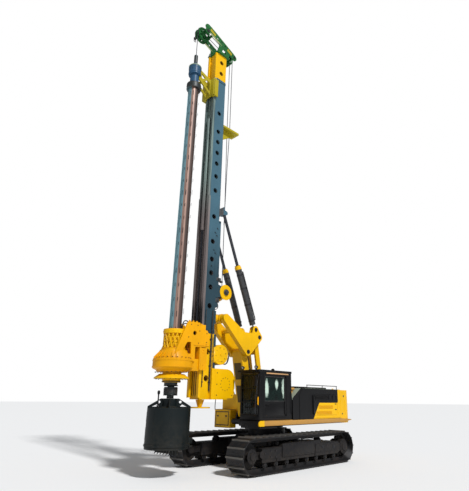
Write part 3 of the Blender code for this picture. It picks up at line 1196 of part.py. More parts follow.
def make_drive():
    body = "carriage"
    profile = [(DRIVE_BORE, DRIVE_TOP), (DRIVE_TOP_RADIUS, DRIVE_TOP), (DRIVE_RADIUS * 0.85, DRIVE_SHOULDER + OVERRUN * 2),
               (DRIVE_RADIUS, DRIVE_SHOULDER), (DRIVE_RADIUS, DRIVE_BOTTOM + OVERRUN * 2),
               (DRIVE_RADIUS * 0.75, DRIVE_BOTTOM), (DRIVE_BORE, DRIVE_BOTTOM)]
    gearbox = turned(body, profile, (0, KELLY_Y, 0), 32)
    joins = wear_pads(body, CARRIAGE_BOTTOM, CARRIAGE_TOP)
    back = box(body, (-ARM_X - ARM_THICKNESS, CARRIAGE_FACE - CARRIAGE_PLATE, CARRIAGE_BOTTOM),
               (ARM_X + ARM_THICKNESS, CARRIAGE_FACE, CARRIAGE_TOP))
    joins.append(back)
    root = box(body, (-ARM_X, KELLY_Y + DRIVE_BORE + OVERRUN, DRIVE_BOTTOM + OVERRUN), (ARM_X, CARRIAGE_FACE, DRIVE_SHOULDER + OVERRUN))
    joins.append(root)
    seat = box(body, (-CROWD_BARREL_RADIUS, CARRIAGE_FACE - OVERRUN, CROWD_EYE_Z - 2 * OVERRUN),
               (CROWD_BARREL_RADIUS, CROWD_Y + CROWD_ROD_RADIUS, CROWD_EYE_Z - SEAT_GAP))
    joins.append(seat)
    arm_outline = [
        (CARRIAGE_FACE - CARRIAGE_PLATE / 2, DRIVE_BOTTOM + OVERRUN * 3), (KELLY_Y, DRIVE_SHOULDER - OVERRUN),
        (KELLY_Y - DRIVE_BORE, DRIVE_SHOULDER), (KELLY_Y - DRIVE_BORE / 2, DRIVE_TOP),
        (KELLY_Y + DRIVE_BORE / 2, CARRIAGE_TOP), (CARRIAGE_FACE - CARRIAGE_PLATE / 2, CARRIAGE_TOP - OVERRUN),
    ]
    for side in (-1, 1):
        middle = side * (ARM_X + ARM_THICKNESS / 2)
        joins.append(plate(body, [arm_outline], ARM_THICKNESS, middle))
        ends = sorted((side * CLAW_INNER_X, side * (CLAW_INNER_X + CLAW_THICKNESS)))
        joins.append(box(body, (ends[0], CARRIAGE_FACE - CARRIAGE_PLATE / 2, CARRIAGE_BOTTOM), (ends[1], CLAW_REACH, CARRIAGE_TOP)))
        joins.append(bar(body, (side * MOTOR_X, MOTOR_Y, DRIVE_SHOULDER - OVERRUN), (side * MOTOR_X, MOTOR_Y, DRIVE_TOP + 6 * OVERRUN),
                         MOTOR_RADIUS, 16))
    part("rotary_drive", gearbox, "drive_orange", joins=joins)

    spin = "sleeve_spin"
    profile = [(SLEEVE_BORE, CAGE_TOP), (CAGE_RADIUS, CAGE_TOP), (CAGE_RADIUS, CAGE_BOTTOM), (SLEEVE_OUTER, CAGE_BOTTOM),
               (SLEEVE_OUTER, SKIRT_TOP), (SKIRT_RADIUS, SKIRT_TOP), (SKIRT_RADIUS, SKIRT_BOTTOM),
               (COLLAR_RADIUS, SKIRT_BOTTOM), (COLLAR_RADIUS, COLLAR_BOTTOM), (SLEEVE_BORE, COLLAR_BOTTOM)]
    sleeve = turned(spin, profile, (0, KELLY_Y, 0), 24)
    part("drive_sleeve", sleeve, "rig_yellow")


# Kelly bar, its guide and the bucket


def make_kelly():
    guide = "kelly_hoist"
    spin = "kelly_spin"
    inner = "kelly_inner_slide"
    hole_radius = INNER_RADIUS + PIN_GAP
    ribs = []
    half_rib = KELLY_RIB_WIDTH / 2 / KELLY_RADIUS
    for rib in range(KELLY_RIB_COUNT):
        angle = 2 * pi * (rib + 0.5) / KELLY_RIB_COUNT
        for offset, radius in ((-half_rib, KELLY_RADIUS), (-half_rib, KELLY_RADIUS + KELLY_RIB),
                               (half_rib, KELLY_RADIUS + KELLY_RIB), (half_rib, KELLY_RADIUS)):
            ribs.append((radius * cos(angle + offset), KELLY_Y + radius * sin(angle + offset)))
    hole = arc((0, KELLY_Y), hole_radius, 0, 2 * pi, 16)[:-1]
    tube = plate(spin, [ribs, hole], KELLY_TOP - KELLY_BOTTOM, (KELLY_TOP + KELLY_BOTTOM) / 2, "plan")
    flange_hole = [(hole_radius, KELLY_TOP + SEAT_GAP), (KELLY_FLANGE_RADIUS, KELLY_TOP + SEAT_GAP),
                   (KELLY_FLANGE_RADIUS, KELLY_TOP - KELLY_FLANGE_THICKNESS),
                   (hole_radius, KELLY_TOP - KELLY_FLANGE_THICKNESS)]
    flange = turned(spin, flange_hole, (0, KELLY_Y, 0), 16)
    part("kelly_outer", tube, "kelly_steel", joins=[flange])

    rod = bar(inner, (0, KELLY_Y, BUCKET_CONE_TOP - OVERRUN), (0, KELLY_Y, INNER_TOP), INNER_RADIUS, 16)
    seat = bar(inner, (0, KELLY_Y, SPRING_SEAT_BOTTOM), (0, KELLY_Y, SPRING_SEAT_TOP), SPRING_SEAT_RADIUS, 16)
    swivel = bar(inner, (0, KELLY_Y, INNER_TOP - OVERRUN), (0, KELLY_Y, SWIVEL_TOP), ROPE_SWIVEL_RADIUS, 12)
    part("kelly_inner", rod, "kelly_steel", joins=[seat, swivel])

    neck_bottom = KELLY_TOP + 2 * SEAT_GAP
    ring_bore = hole_radius + RUN_GAP
    profile = [(ring_bore, GUIDE_RING_TOP), (GUIDE_RING_RADIUS, GUIDE_RING_TOP), (GUIDE_RING_RADIUS, GUIDE_RING_BOTTOM),
               (GUIDE_NECK_RADIUS, GUIDE_RING_BOTTOM), (GUIDE_NECK_RADIUS, neck_bottom), (ring_bore, neck_bottom)]
    ring = turned(guide, profile, (0, KELLY_Y, 0), 24)
    joins = wear_pads(guide, GUIDE_BACK_BOTTOM, GUIDE_BACK_TOP)
    joins.append(box(guide, (-CLAW_INNER_X - CLAW_THICKNESS, CARRIAGE_FACE - CARRIAGE_PLATE, GUIDE_BACK_BOTTOM),
                     (CLAW_INNER_X + CLAW_THICKNESS, CARRIAGE_FACE, GUIDE_BACK_TOP)))
    arm_outline = [(KELLY_Y + GUIDE_NECK_RADIUS, GUIDE_RING_TOP - OVERRUN), (KELLY_Y + GUIDE_NECK_RADIUS, GUIDE_RING_BOTTOM + OVERRUN),
                   (CARRIAGE_FACE - CARRIAGE_PLATE / 2, GUIDE_BACK_BOTTOM + OVERRUN),
                   (CARRIAGE_FACE - CARRIAGE_PLATE / 2, GUIDE_BACK_TOP - OVERRUN)]
    for side in (-1, 1):
        middle = side * (GUIDE_NECK_RADIUS - EAR_THICKNESS)
        joins.append(plate(guide, [arm_outline], EAR_THICKNESS, middle))
        ends = sorted((side * CLAW_INNER_X, side * (CLAW_INNER_X + CLAW_THICKNESS)))
        joins.append(box(guide, (ends[0], CARRIAGE_FACE - CARRIAGE_PLATE / 2, GUIDE_BACK_BOTTOM), (ends[1], CLAW_REACH, GUIDE_BACK_TOP)))
    part("kelly_guide", ring, "mast_blue", joins=joins)


def make_bucket():
    body = "kelly_inner_slide"
    wall = BUCKET_WALL
    rod_bottom = BUCKET_CONE_TOP - OVERRUN - SEAT_GAP
    profile = [(0, rod_bottom), (BUCKET_NECK_RADIUS, rod_bottom), (BUCKET_RADIUS, BUCKET_TOP),
               (BUCKET_RADIUS, BUCKET_BOTTOM), (BUCKET_RADIUS - wall, BUCKET_BOTTOM),
               (BUCKET_RADIUS - wall, BUCKET_TOP - wall), (0, BUCKET_TOP - wall)]
    shell = turned(body, profile, (0, KELLY_Y, 0), 32)
    hinge_y = KELLY_Y + BUCKET_HINGE_OFFSET
    joins = []
    for side in (-1, 1):
        x = side * BUCKET_RADIUS / 3
        joins.append(box(body, (x - EAR_THICKNESS / 2, KELLY_Y + BUCKET_RADIUS - 2 * BUCKET_WALL, BUCKET_BOTTOM),
                         (x + EAR_THICKNESS / 2, hinge_y + OVERRUN, BUCKET_BOTTOM + 4 * OVERRUN)))
        joins.append(box(body, (x - EAR_THICKNESS / 2, hinge_y - OVERRUN, BUCKET_BOTTOM - OVERRUN),
                         (x + EAR_THICKNESS / 2, hinge_y + OVERRUN, BUCKET_BOTTOM + OVERRUN)))
    hinge = (hinge_y, BUCKET_BOTTOM)
    reach = BUCKET_RADIUS / 3 + EAR_THICKNESS / 2
    joins.append(cross_bar(body, hinge, -reach, reach, THIN_PIN_RADIUS))
    part("bucket", shell, "bucket_black", joins=joins)

    lid = "bucket_door_hinge"
    top = BUCKET_BOTTOM - RUN_GAP
    disc = bar(lid, (0, KELLY_Y, top - BUCKET_DOOR_THICKNESS), (0, KELLY_Y, top), BUCKET_RADIUS, 32)
    tongue = BUCKET_RADIUS / 3 - EAR_THICKNESS / 2 - RUN_GAP
    knuckle = THIN_PIN_RADIUS + EAR_THICKNESS / 2
    joins = [box(lid, (-tongue, KELLY_Y + BUCKET_RADIUS / 2, top - BUCKET_DOOR_THICKNESS + RUN_GAP),
                 (tongue, hinge_y, top - RUN_GAP)),
             cross_bar(lid, hinge, -tongue, tongue, knuckle)]
    for tooth in range(TOOTH_COUNT):
        x = (tooth + 0.5) / TOOTH_COUNT * BUCKET_RADIUS * 0.9
        joins.append(box(lid, (x - TOOTH_WIDTH / 2, KELLY_Y - TOOTH_WIDTH / 2, top - BUCKET_DOOR_THICKNESS - TOOTH_LENGTH),
                         (x + TOOTH_WIDTH / 2, KELLY_Y + TOOTH_WIDTH / 2, top - BUCKET_DOOR_THICKNESS + RUN_GAP)))
        joins.append(box(lid, (-x - TOOTH_WIDTH / 2, KELLY_Y - TOOTH_WIDTH / 2, top - BUCKET_DOOR_THICKNESS - TOOTH_LENGTH),
                         (-x + TOOTH_WIDTH / 2, KELLY_Y + TOOTH_WIDTH / 2, top - BUCKET_DOOR_THICKNESS + RUN_GAP)))
    part("bucket_door", disc, "bucket_black", joins=joins,
         cuts=[cross_bore(lid, hinge, -tongue - OVERRUN, tongue + OVERRUN, THIN_PIN_RADIUS)])


# Assembly


def make_empties():
    front_sheave = (KELLY_Y + FRONT_SHEAVE_RADIUS, FRONT_SHEAVE_Z)
    door_hinge_x = CAB_OUTER_X + DOOR_HINGE_RADIUS + DOOR_GAP
    side_hinge_x = HOUSE_HALF_WIDTH + DOOR_HINGE_RADIUS + DOOR_GAP
    hinge_y = SIDE_DOOR_FRONT + DOOR_GAP
    empties = (
        ("rig", None, (0, 0, 0)),
        ("upper", "rig", (0, 0, SLEW_SPLIT)),
        ("cab_door_hinge", "upper", (door_hinge_x, DOOR_REAR - DOOR_GAP, DOOR_BOTTOM)),
        ("side_door_left_hinge", "upper", (side_hinge_x, hinge_y, SIDE_DOOR_BOTTOM)),
        ("side_door_right_hinge", "upper", (-side_hinge_x, hinge_y, SIDE_DOOR_BOTTOM)),
        ("hood_lid_hinge", "upper", (0, LID_REAR + OVERRUN, HOUSE_TOP + LID_RISE)),
        ("boom_pivot", "upper", (0, *BOOM_FOOT)),
        ("link_pivot", "upper", (0, *LINK_FOOT)),
        ("luff_barrel_pivot", "upper", (0, *LUFF_FOOT)),
        ("luff_rod_slide", "luff_barrel_pivot", (0, *LUFF_HEAD)),
        ("triangle_pivot", "boom_pivot", (0, *BOOM_HEAD)),
        ("mast_tilt", "triangle_pivot", (0, *MAST_PIN)),
        ("mast_lean", "mast_tilt", (0, *MAST_PIN)),
        ("mast_rod_left_pivot", "mast_lean", (MAST_CYLINDER_X, *MAST_EYE)),
        ("mast_rod_right_pivot", "mast_lean", (-MAST_CYLINDER_X, *MAST_EYE)),
        ("mast_barrel_left_slide", "mast_rod_left_pivot", (MAST_CYLINDER_X, *CYLINDER_FOOT)),
        ("mast_barrel_right_slide", "mast_rod_right_pivot", (-MAST_CYLINDER_X, *CYLINDER_FOOT)),
        ("carriage", "mast_lean", (0, KELLY_Y, CARRIAGE_BOTTOM)),
        ("sleeve_spin", "carriage", (0, KELLY_Y, DRIVE_BOTTOM)),
        ("kelly_hoist", "mast_lean", (0, KELLY_Y, KELLY_TOP)),
        ("kelly_spin", "kelly_hoist", (0, KELLY_Y, KELLY_TOP)),
        ("kelly_inner_slide", "kelly_spin", (0, KELLY_Y, KELLY_BOTTOM)),
        ("bucket_door_hinge", "kelly_inner_slide", (0, KELLY_Y + BUCKET_HINGE_OFFSET, BUCKET_BOTTOM)),
        ("foot_slide", "mast_lean", (0, FOOT_Y, FOOT_PAD_BOTTOM)),
        ("main_drum_axle", "mast_lean", (0, *MAIN_DRUM_CENTRE)),
        ("aux_drum_axle", "mast_lean", (0, *AUX_DRUM_CENTRE)),
        ("sheave_front_main_axle", "mast_lean", (0, *front_sheave)),
        ("sheave_front_aux_axle", "mast_lean", (AUX_SHEAVE_X, *front_sheave)),
        ("sheave_rear_main_axle", "mast_lean", (0, *REAR_SHEAVE)),
        ("sheave_rear_aux_axle", "mast_lean", (AUX_SHEAVE_X, *REAR_SHEAVE)),
    )
    for name, parent, at in empties:
        make_empty(name, parent, at)


def main():
    for name, (colour, roughness, metallic) in PALETTE.items():
        make_material(name, colour, roughness, metallic)
    make_empties()
    bpy.context.view_layer.update()
    for name, side in (("left", 1), ("right", -1)):
        make_track("track_" + name, side)
        make_track_frame("track_frame_" + name, side)
    make_carbody()
    make_deck()
    make_cab()
    make_cab_door()
    make_house()
    make_side_door("side_door_left", 1)
    make_side_door("side_door_right", -1)
    make_hood_lid()
    make_counterweight()
    make_right_boxes()
    make_boom()
    make_link()
    luff_length = LUFF_BARREL_SHARE * hypot(LUFF_HEAD[0] - LUFF_FOOT[0], LUFF_HEAD[1] - LUFF_FOOT[1])
    make_cylinder("luff_barrel", "luff_rod", "luff_barrel_pivot", "luff_rod_slide", 0, LUFF_FOOT, LUFF_HEAD,
                  (LUFF_BARREL_RADIUS, LUFF_ROD_RADIUS, luff_length, EYE_RADIUS * 0.7, BRACKET_RADIUS),
                  THIN_PIN_RADIUS, None)
    make_triangle()
    make_swivel()
    for name, side in (("left", 1), ("right", -1)):
        make_cylinder("mast_barrel_" + name, "mast_rod_" + name, "mast_barrel_" + name + "_slide",
                      "mast_rod_" + name + "_pivot", side * MAST_CYLINDER_X, CYLINDER_FOOT, MAST_EYE,
                      (MAST_BARREL_RADIUS, MAST_ROD_RADIUS, MAST_BARREL_LENGTH, EYE_RADIUS * 0.8, TRIANGLE_CORNER),
                      None, THIN_PIN_RADIUS)
    make_mast_lower()
    make_mast_upper()
    make_mast_top()
    front_sheave = make_head()
    make_sheave("sheave_front_main", front_sheave, 0, FRONT_SHEAVE_RADIUS)
    make_sheave("sheave_front_aux", front_sheave, AUX_SHEAVE_X, FRONT_SHEAVE_RADIUS)
    make_sheave("sheave_rear_main", REAR_SHEAVE, 0, REAR_SHEAVE_RADIUS)
    make_sheave("sheave_rear_aux", REAR_SHEAVE, AUX_SHEAVE_X, REAR_SHEAVE_RADIUS)
    make_drum("main_drum", MAIN_DRUM_CENTRE, MAIN_DRUM_HALF, MAIN_DRUM_RADIUS, MAIN_FLANGE_RADIUS, PIN_RADIUS,
              "frame_grey")
    make_drum("aux_drum", AUX_DRUM_CENTRE, AUX_DRUM_HALF, AUX_DRUM_RADIUS, AUX_FLANGE_RADIUS, THIN_PIN_RADIUS,
              "rig_yellow")
    make_rope_guide()
    make_mast_foot()
    make_crowd()
    make_drive()
    make_kelly()
    make_bucket()


main()
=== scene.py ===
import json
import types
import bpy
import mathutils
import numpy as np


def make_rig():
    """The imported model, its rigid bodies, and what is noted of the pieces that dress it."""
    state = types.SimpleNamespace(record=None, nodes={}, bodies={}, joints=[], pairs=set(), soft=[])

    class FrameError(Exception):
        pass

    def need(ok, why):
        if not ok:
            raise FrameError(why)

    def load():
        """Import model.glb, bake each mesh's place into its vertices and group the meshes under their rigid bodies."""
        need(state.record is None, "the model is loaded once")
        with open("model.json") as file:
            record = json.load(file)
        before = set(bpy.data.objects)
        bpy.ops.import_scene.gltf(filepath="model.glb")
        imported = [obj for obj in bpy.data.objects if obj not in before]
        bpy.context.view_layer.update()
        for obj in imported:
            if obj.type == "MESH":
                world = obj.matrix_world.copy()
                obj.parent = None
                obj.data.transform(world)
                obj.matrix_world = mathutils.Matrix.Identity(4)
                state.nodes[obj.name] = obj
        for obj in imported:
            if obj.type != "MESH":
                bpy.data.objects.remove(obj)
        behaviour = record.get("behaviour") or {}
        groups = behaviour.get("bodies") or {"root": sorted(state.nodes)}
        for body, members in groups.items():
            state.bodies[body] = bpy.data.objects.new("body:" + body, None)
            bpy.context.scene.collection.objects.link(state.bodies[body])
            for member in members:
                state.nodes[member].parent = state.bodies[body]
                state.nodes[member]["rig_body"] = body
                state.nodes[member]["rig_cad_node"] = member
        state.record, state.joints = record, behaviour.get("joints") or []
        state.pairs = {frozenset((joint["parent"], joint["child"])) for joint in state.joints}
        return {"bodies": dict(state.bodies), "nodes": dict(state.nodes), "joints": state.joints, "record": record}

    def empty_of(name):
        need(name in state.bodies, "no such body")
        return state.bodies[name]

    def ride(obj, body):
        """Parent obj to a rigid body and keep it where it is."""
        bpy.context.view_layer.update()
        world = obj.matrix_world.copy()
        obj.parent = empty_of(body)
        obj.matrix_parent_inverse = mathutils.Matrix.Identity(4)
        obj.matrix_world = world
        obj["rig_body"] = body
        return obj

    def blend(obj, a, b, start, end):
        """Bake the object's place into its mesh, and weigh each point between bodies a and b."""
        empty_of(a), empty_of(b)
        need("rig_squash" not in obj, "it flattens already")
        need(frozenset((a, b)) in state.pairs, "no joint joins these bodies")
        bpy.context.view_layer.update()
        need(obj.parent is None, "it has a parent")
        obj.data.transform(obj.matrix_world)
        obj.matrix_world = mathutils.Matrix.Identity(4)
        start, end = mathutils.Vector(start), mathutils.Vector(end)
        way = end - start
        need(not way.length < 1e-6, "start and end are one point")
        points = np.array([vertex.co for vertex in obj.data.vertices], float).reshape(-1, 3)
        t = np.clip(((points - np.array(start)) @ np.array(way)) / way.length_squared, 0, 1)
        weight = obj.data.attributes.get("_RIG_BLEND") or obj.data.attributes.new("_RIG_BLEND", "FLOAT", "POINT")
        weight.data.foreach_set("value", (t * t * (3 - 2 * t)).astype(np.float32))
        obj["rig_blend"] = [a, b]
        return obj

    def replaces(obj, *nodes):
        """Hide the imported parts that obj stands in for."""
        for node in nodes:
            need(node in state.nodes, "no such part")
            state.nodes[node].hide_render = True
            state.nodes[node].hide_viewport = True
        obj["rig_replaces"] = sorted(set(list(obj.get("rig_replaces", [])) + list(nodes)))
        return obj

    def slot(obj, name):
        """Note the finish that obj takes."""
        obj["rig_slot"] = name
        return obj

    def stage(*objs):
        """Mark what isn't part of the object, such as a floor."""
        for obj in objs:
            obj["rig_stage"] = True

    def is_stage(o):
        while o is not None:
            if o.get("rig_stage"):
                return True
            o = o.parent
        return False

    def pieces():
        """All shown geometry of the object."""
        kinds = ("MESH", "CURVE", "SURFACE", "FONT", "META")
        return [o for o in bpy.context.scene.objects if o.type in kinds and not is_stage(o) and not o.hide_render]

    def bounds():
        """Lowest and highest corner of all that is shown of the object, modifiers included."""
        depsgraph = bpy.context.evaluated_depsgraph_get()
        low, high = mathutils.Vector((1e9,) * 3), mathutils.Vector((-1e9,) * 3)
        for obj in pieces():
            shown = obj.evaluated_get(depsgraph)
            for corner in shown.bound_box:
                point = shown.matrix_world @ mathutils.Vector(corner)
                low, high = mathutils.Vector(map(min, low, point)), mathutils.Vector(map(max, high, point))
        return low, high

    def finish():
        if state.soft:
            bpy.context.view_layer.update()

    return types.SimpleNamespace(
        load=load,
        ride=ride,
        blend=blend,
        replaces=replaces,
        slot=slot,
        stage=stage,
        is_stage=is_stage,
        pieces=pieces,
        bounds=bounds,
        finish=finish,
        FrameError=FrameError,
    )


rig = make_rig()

bl_info = {
    "name": "Rotary piling rig",
    "version": (1, 0, 0),
    "blender": (4, 5, 0),
    "location": "View3D > Sidebar > Piling rig",
    "description": "Finishes and fine pieces of a crawler mounted rotary piling rig",
    "category": "Object",
}

import json
from math import atan2, cos, pi, radians, sin

import bmesh
import bpy
from bpy.props import FloatProperty, FloatVectorProperty, PointerProperty
from mathutils import Matrix, Vector

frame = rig.load()
CAD_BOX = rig.bounds()
SIZE_FILE = "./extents.json"

# The machine's own frame has its slew axis at Y = 0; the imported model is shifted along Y.
OUTLINE_SHIFT = 0.75
# Crawler loop: half of its straight run and the radius of its turns
LOOP_HALF_RUN = 2.375
LOOP_RADIUS = 0.525
# The bar's axis
BAR_Y = -4.24
# Side faces that trim sits on, measured from the middle plane: the house and cab, the crawler frame, the mast,
# the head beams, the drive's arms and the triangle frame. A last digit of 3 is 0.3 mm clear of the solid.
HOUSE_FACE = 1.4703
TRACK_FACE = 1.66
MAST_FACE = 0.2253
BEAM_FACE = 0.3003
ARM_FACE = 0.4203
PIN_FACE = 0.4453
# Top of the deck
DECK_TOP = 1.4703
# Places in the side view (y, z): ends of the head beams, sheave axles, winch axes, valve housing
FRONT_HEAD = (-3.94, 16.57)
REAR_HEAD = (-2.47, 15.97)
FRONT_AXLE = (-3.94, 16.36)
REAR_AXLE = (-2.58, 16.02)
MAIN_WINCH = (-2.36, 2.56)
AUX_WINCH = (-2.38, 5.63)
VALVE = (-2.53, 3.49)
# How far back the drive's two motors stand, and the plan place of the auxiliary rope
MOTOR_Y = -3.70
AUX_ROPE = (-0.17, -4.242)
# The photograph's camera: its place in the machine's frame, its turns in degrees, and pixels of the photograph
CAMERA_PLACE = (11.3727, -12.3613, 2.0663)
CAMERA_YAW = 43.0752
CAMERA_PITCH = 20.2189
CAMERA_ROLL = 0.4029
FOCAL_PIXELS = 431.947
OPTICAL_CENTRE = (263.7342, 241.5146)
PHOTO_SIZE = (469, 491)
SENSOR = 36
FLOOR_HALF = 400.0
PALE = 0.93


def tint(red, green, blue):
    """Linear colour of an sRGB one written in steps of 0 to 255."""
    made = []
    for value in (red, green, blue):
        value /= 255
        made.append(value / 12.92 if value <= 0.04045 else ((value + 0.055) / 1.055) ** 2.4)
    return (*made, 1.0)


def place(x, y, z):
    """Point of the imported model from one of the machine's frame."""
    return Vector((x, y + OUTLINE_SHIFT, z))


def paint_property(name, description, red, green, blue):
    return FloatVectorProperty(
        name=name, description=description, default=tint(red, green, blue)[:3], size=3, min=0, max=1, subtype="COLOR"
    )


# Settings


class RigPaintSettings(bpy.types.PropertyGroup):
    """Colours of the machine's paints and metals."""

    machine_yellow: paint_property("Machine yellow", "Paint of the linkage, winches and counterweight", 238, 183, 2)
    drive_orange: paint_property("Drive orange", "Warmer paint of the rotary drive", 236, 166, 0)
    mast_blue: paint_property("Mast blue", "Paint of the mast's sides", 70, 104, 120)
    mast_brown: paint_property("Mast brown", "Greased and dusty front face of the mast", 128, 118, 116)
    head_green: paint_property("Head green", "Paint of the head frame", 34, 104, 50)
    cab_black: paint_property("Cab black", "Paint of the cab and the engine house", 13, 13, 15)
    frame_grey: paint_property("Frame grey", "Paint of the crawler frames", 23, 23, 26)
    shoe_grey: paint_property("Shoe grey", "Worn steel of the crawler shoes", 34, 34, 36)
    bucket_slate: paint_property("Bucket slate", "Paint and soil of the drilling bucket", 14, 24, 26)
    bar_blue: paint_property("Bar blue", "Telescopic bar's steel in the light", 116, 156, 166)
    bar_tan: paint_property("Bar tan", "Rubbed and rusty strip of the bar", 156, 126, 112)
    dust: paint_property("Dust", "Dry soil on flat and low surfaces", 150, 132, 110)
    glass_green: paint_property("Glass green", "Tint of the cab's panes", 16, 34, 30)


class RigSizeSettings(bpy.types.PropertyGroup):
    """Sizes of the fine pieces."""

    edge_round: FloatProperty(name="Edge round", description="Bevel of plate edges", default=0.006, unit="LENGTH")
    rope_radius: FloatProperty(name="Rope radius", description="Radius of the main wire rope", default=0.013,
                               unit="LENGTH")


class RigStageSettings(bpy.types.PropertyGroup):
    """Floor, light and camera."""

    sun_strength: FloatProperty(name="Sun strength", description="Power of the key light", default=3.1)
    sky_strength: FloatProperty(name="Sky strength", description="Power of the even light", default=0.29)
    sun_azimuth: FloatProperty(name="Sun azimuth", description="Side the key light comes from", default=radians(80),
                               subtype="ANGLE")
    sun_height: FloatProperty(name="Sun height", description="Key light's angle above the floor", default=radians(44),
                              subtype="ANGLE")


# Shader node groups and materials


def add(tree, kind, inputs=None, **values):
    node = tree.nodes.new(kind)
    for name, value in values.items():
        setattr(node, name, value)
    for name, value in (inputs or {}).items():
        if isinstance(value, bpy.types.NodeSocket):
            tree.links.new(value, node.inputs[name])
        else:
            node.inputs[name].default_value = value
    return node


def maths(tree, operation, first, second=0.5, clamp=False):
    return add(tree, "ShaderNodeMath", {0: first, 1: second}, operation=operation, use_clamp=clamp).outputs[0]


def blend_colour(tree, factor, first, second, kind="MIX"):
    return add(
        tree, "ShaderNodeMix", {"Factor": factor, 6: first, 7: second}, data_type="RGBA", blend_type=kind
    ).outputs[2]


def spread(tree, value, low, high):
    """Maps low..high to 0..1 and clamps it."""
    return add(
        tree, "ShaderNodeMapRange", {"Value": value, "From Min": low, "From Max": high}, clamp=True
    ).outputs["Result"]


def start_group(name, inputs, outputs):
    group = bpy.data.node_groups.new(name, "ShaderNodeTree")
    kinds = {"colour": "NodeSocketColor", "value": "NodeSocketFloat", "vector": "NodeSocketVector"}
    for label, kind, default in inputs:
        socket = group.interface.new_socket(label, in_out="INPUT", socket_type=kinds[kind])
        if default is not None:
            socket.default_value = default
    for label, kind in outputs:
        group.interface.new_socket(label, in_out="OUTPUT", socket_type=kinds[kind])
    return group, group.nodes.new("NodeGroupInput"), group.nodes.new("NodeGroupOutput")


def noise(tree, vector, scale, detail=4.0, roughness=0.55):
    made = add(tree, "ShaderNodeTexNoise", {"Vector": vector, "Scale": scale, "Detail": detail, "Roughness": roughness})
    return made.outputs["Fac"]


def build_weathered_paint():
    """Paint with slow changes of tone, settled dust, chips down to primer and a fine grain."""
    group, source, sink = start_group(
        "weathered_paint",
        (("Paint", "colour", (0.8, 0.5, 0.02, 1)), ("Shade", "colour", (0.5, 0.3, 0.02, 1)),
         ("Dust", "colour", (0.3, 0.25, 0.18, 1)), ("Dust Amount", "value", 0.3), ("Dust Height", "value", 1.2),
         ("Chips", "value", 0.3), ("Primer", "colour", (0.05, 0.045, 0.04, 1)), ("Gloss Roughness", "value", 0.38)),
        (("Color", "colour"), ("Roughness", "value"), ("Height", "value")),
    )
    where = add(group, "ShaderNodeTexCoord")
    point = where.outputs["Object"]
    slow = noise(group, point, 0.9, 3.0)
    patches = noise(group, point, 6.0, 7.0, 0.65)
    fine = noise(group, point, 55.0, 5.0, 0.7)
    grain = noise(group, point, 420.0, 2.0)
    stretched = add(group, "ShaderNodeMapping", {"Vector": point, "Scale": (9.0, 9.0, 0.7)}).outputs[0]
    runs = spread(group, noise(group, stretched, 1.6, 5.0, 0.6), 0.52, 0.78)
    tone = maths(group, "MULTIPLY", spread(group, slow, 0.38, 0.70), 0.55)
    tone = maths(group, "ADD", tone, maths(group, "MULTIPLY", runs, 0.35), True)
    painted = blend_colour(group, tone, source.outputs["Paint"], source.outputs["Shade"])
    facing = add(group, "ShaderNodeSeparateXYZ", {0: where.outputs["Normal"]}).outputs["Z"]
    upward = spread(group, facing, 0.25, 0.95)
    level = add(group, "ShaderNodeSeparateXYZ", {0: point}).outputs["Z"]
    low = maths(group, "SUBTRACT", 1.0, maths(group, "DIVIDE", level, source.outputs["Dust Height"]), True)
    settled = maths(group, "ADD", maths(group, "MULTIPLY", upward, 0.65), low, True)
    settled = maths(group, "MULTIPLY", settled, spread(group, patches, 0.34, 0.66))
    settled = maths(group, "MULTIPLY", settled, source.outputs["Dust Amount"], True)
    dusty = blend_colour(group, settled, painted, source.outputs["Dust"])
    chipped = maths(group, "MULTIPLY", spread(group, fine, 0.66, 0.70), spread(group, patches, 0.50, 0.62))
    chipped = maths(group, "MULTIPLY", chipped, source.outputs["Chips"], True)
    final = blend_colour(group, chipped, dusty, source.outputs["Primer"])
    rough = maths(group, "ADD", source.outputs["Gloss Roughness"], maths(group, "MULTIPLY", settled, 0.45))
    rough = maths(group, "ADD", rough, maths(group, "MULTIPLY", maths(group, "SUBTRACT", patches, 0.5), 0.18), True)
    height = maths(group, "SUBTRACT", maths(group, "MULTIPLY", grain, 0.25), maths(group, "MULTIPLY", chipped, 0.6))
    for name, value in (("Color", final), ("Roughness", rough), ("Height", height)):
        group.links.new(value, sink.inputs[name])
    return group


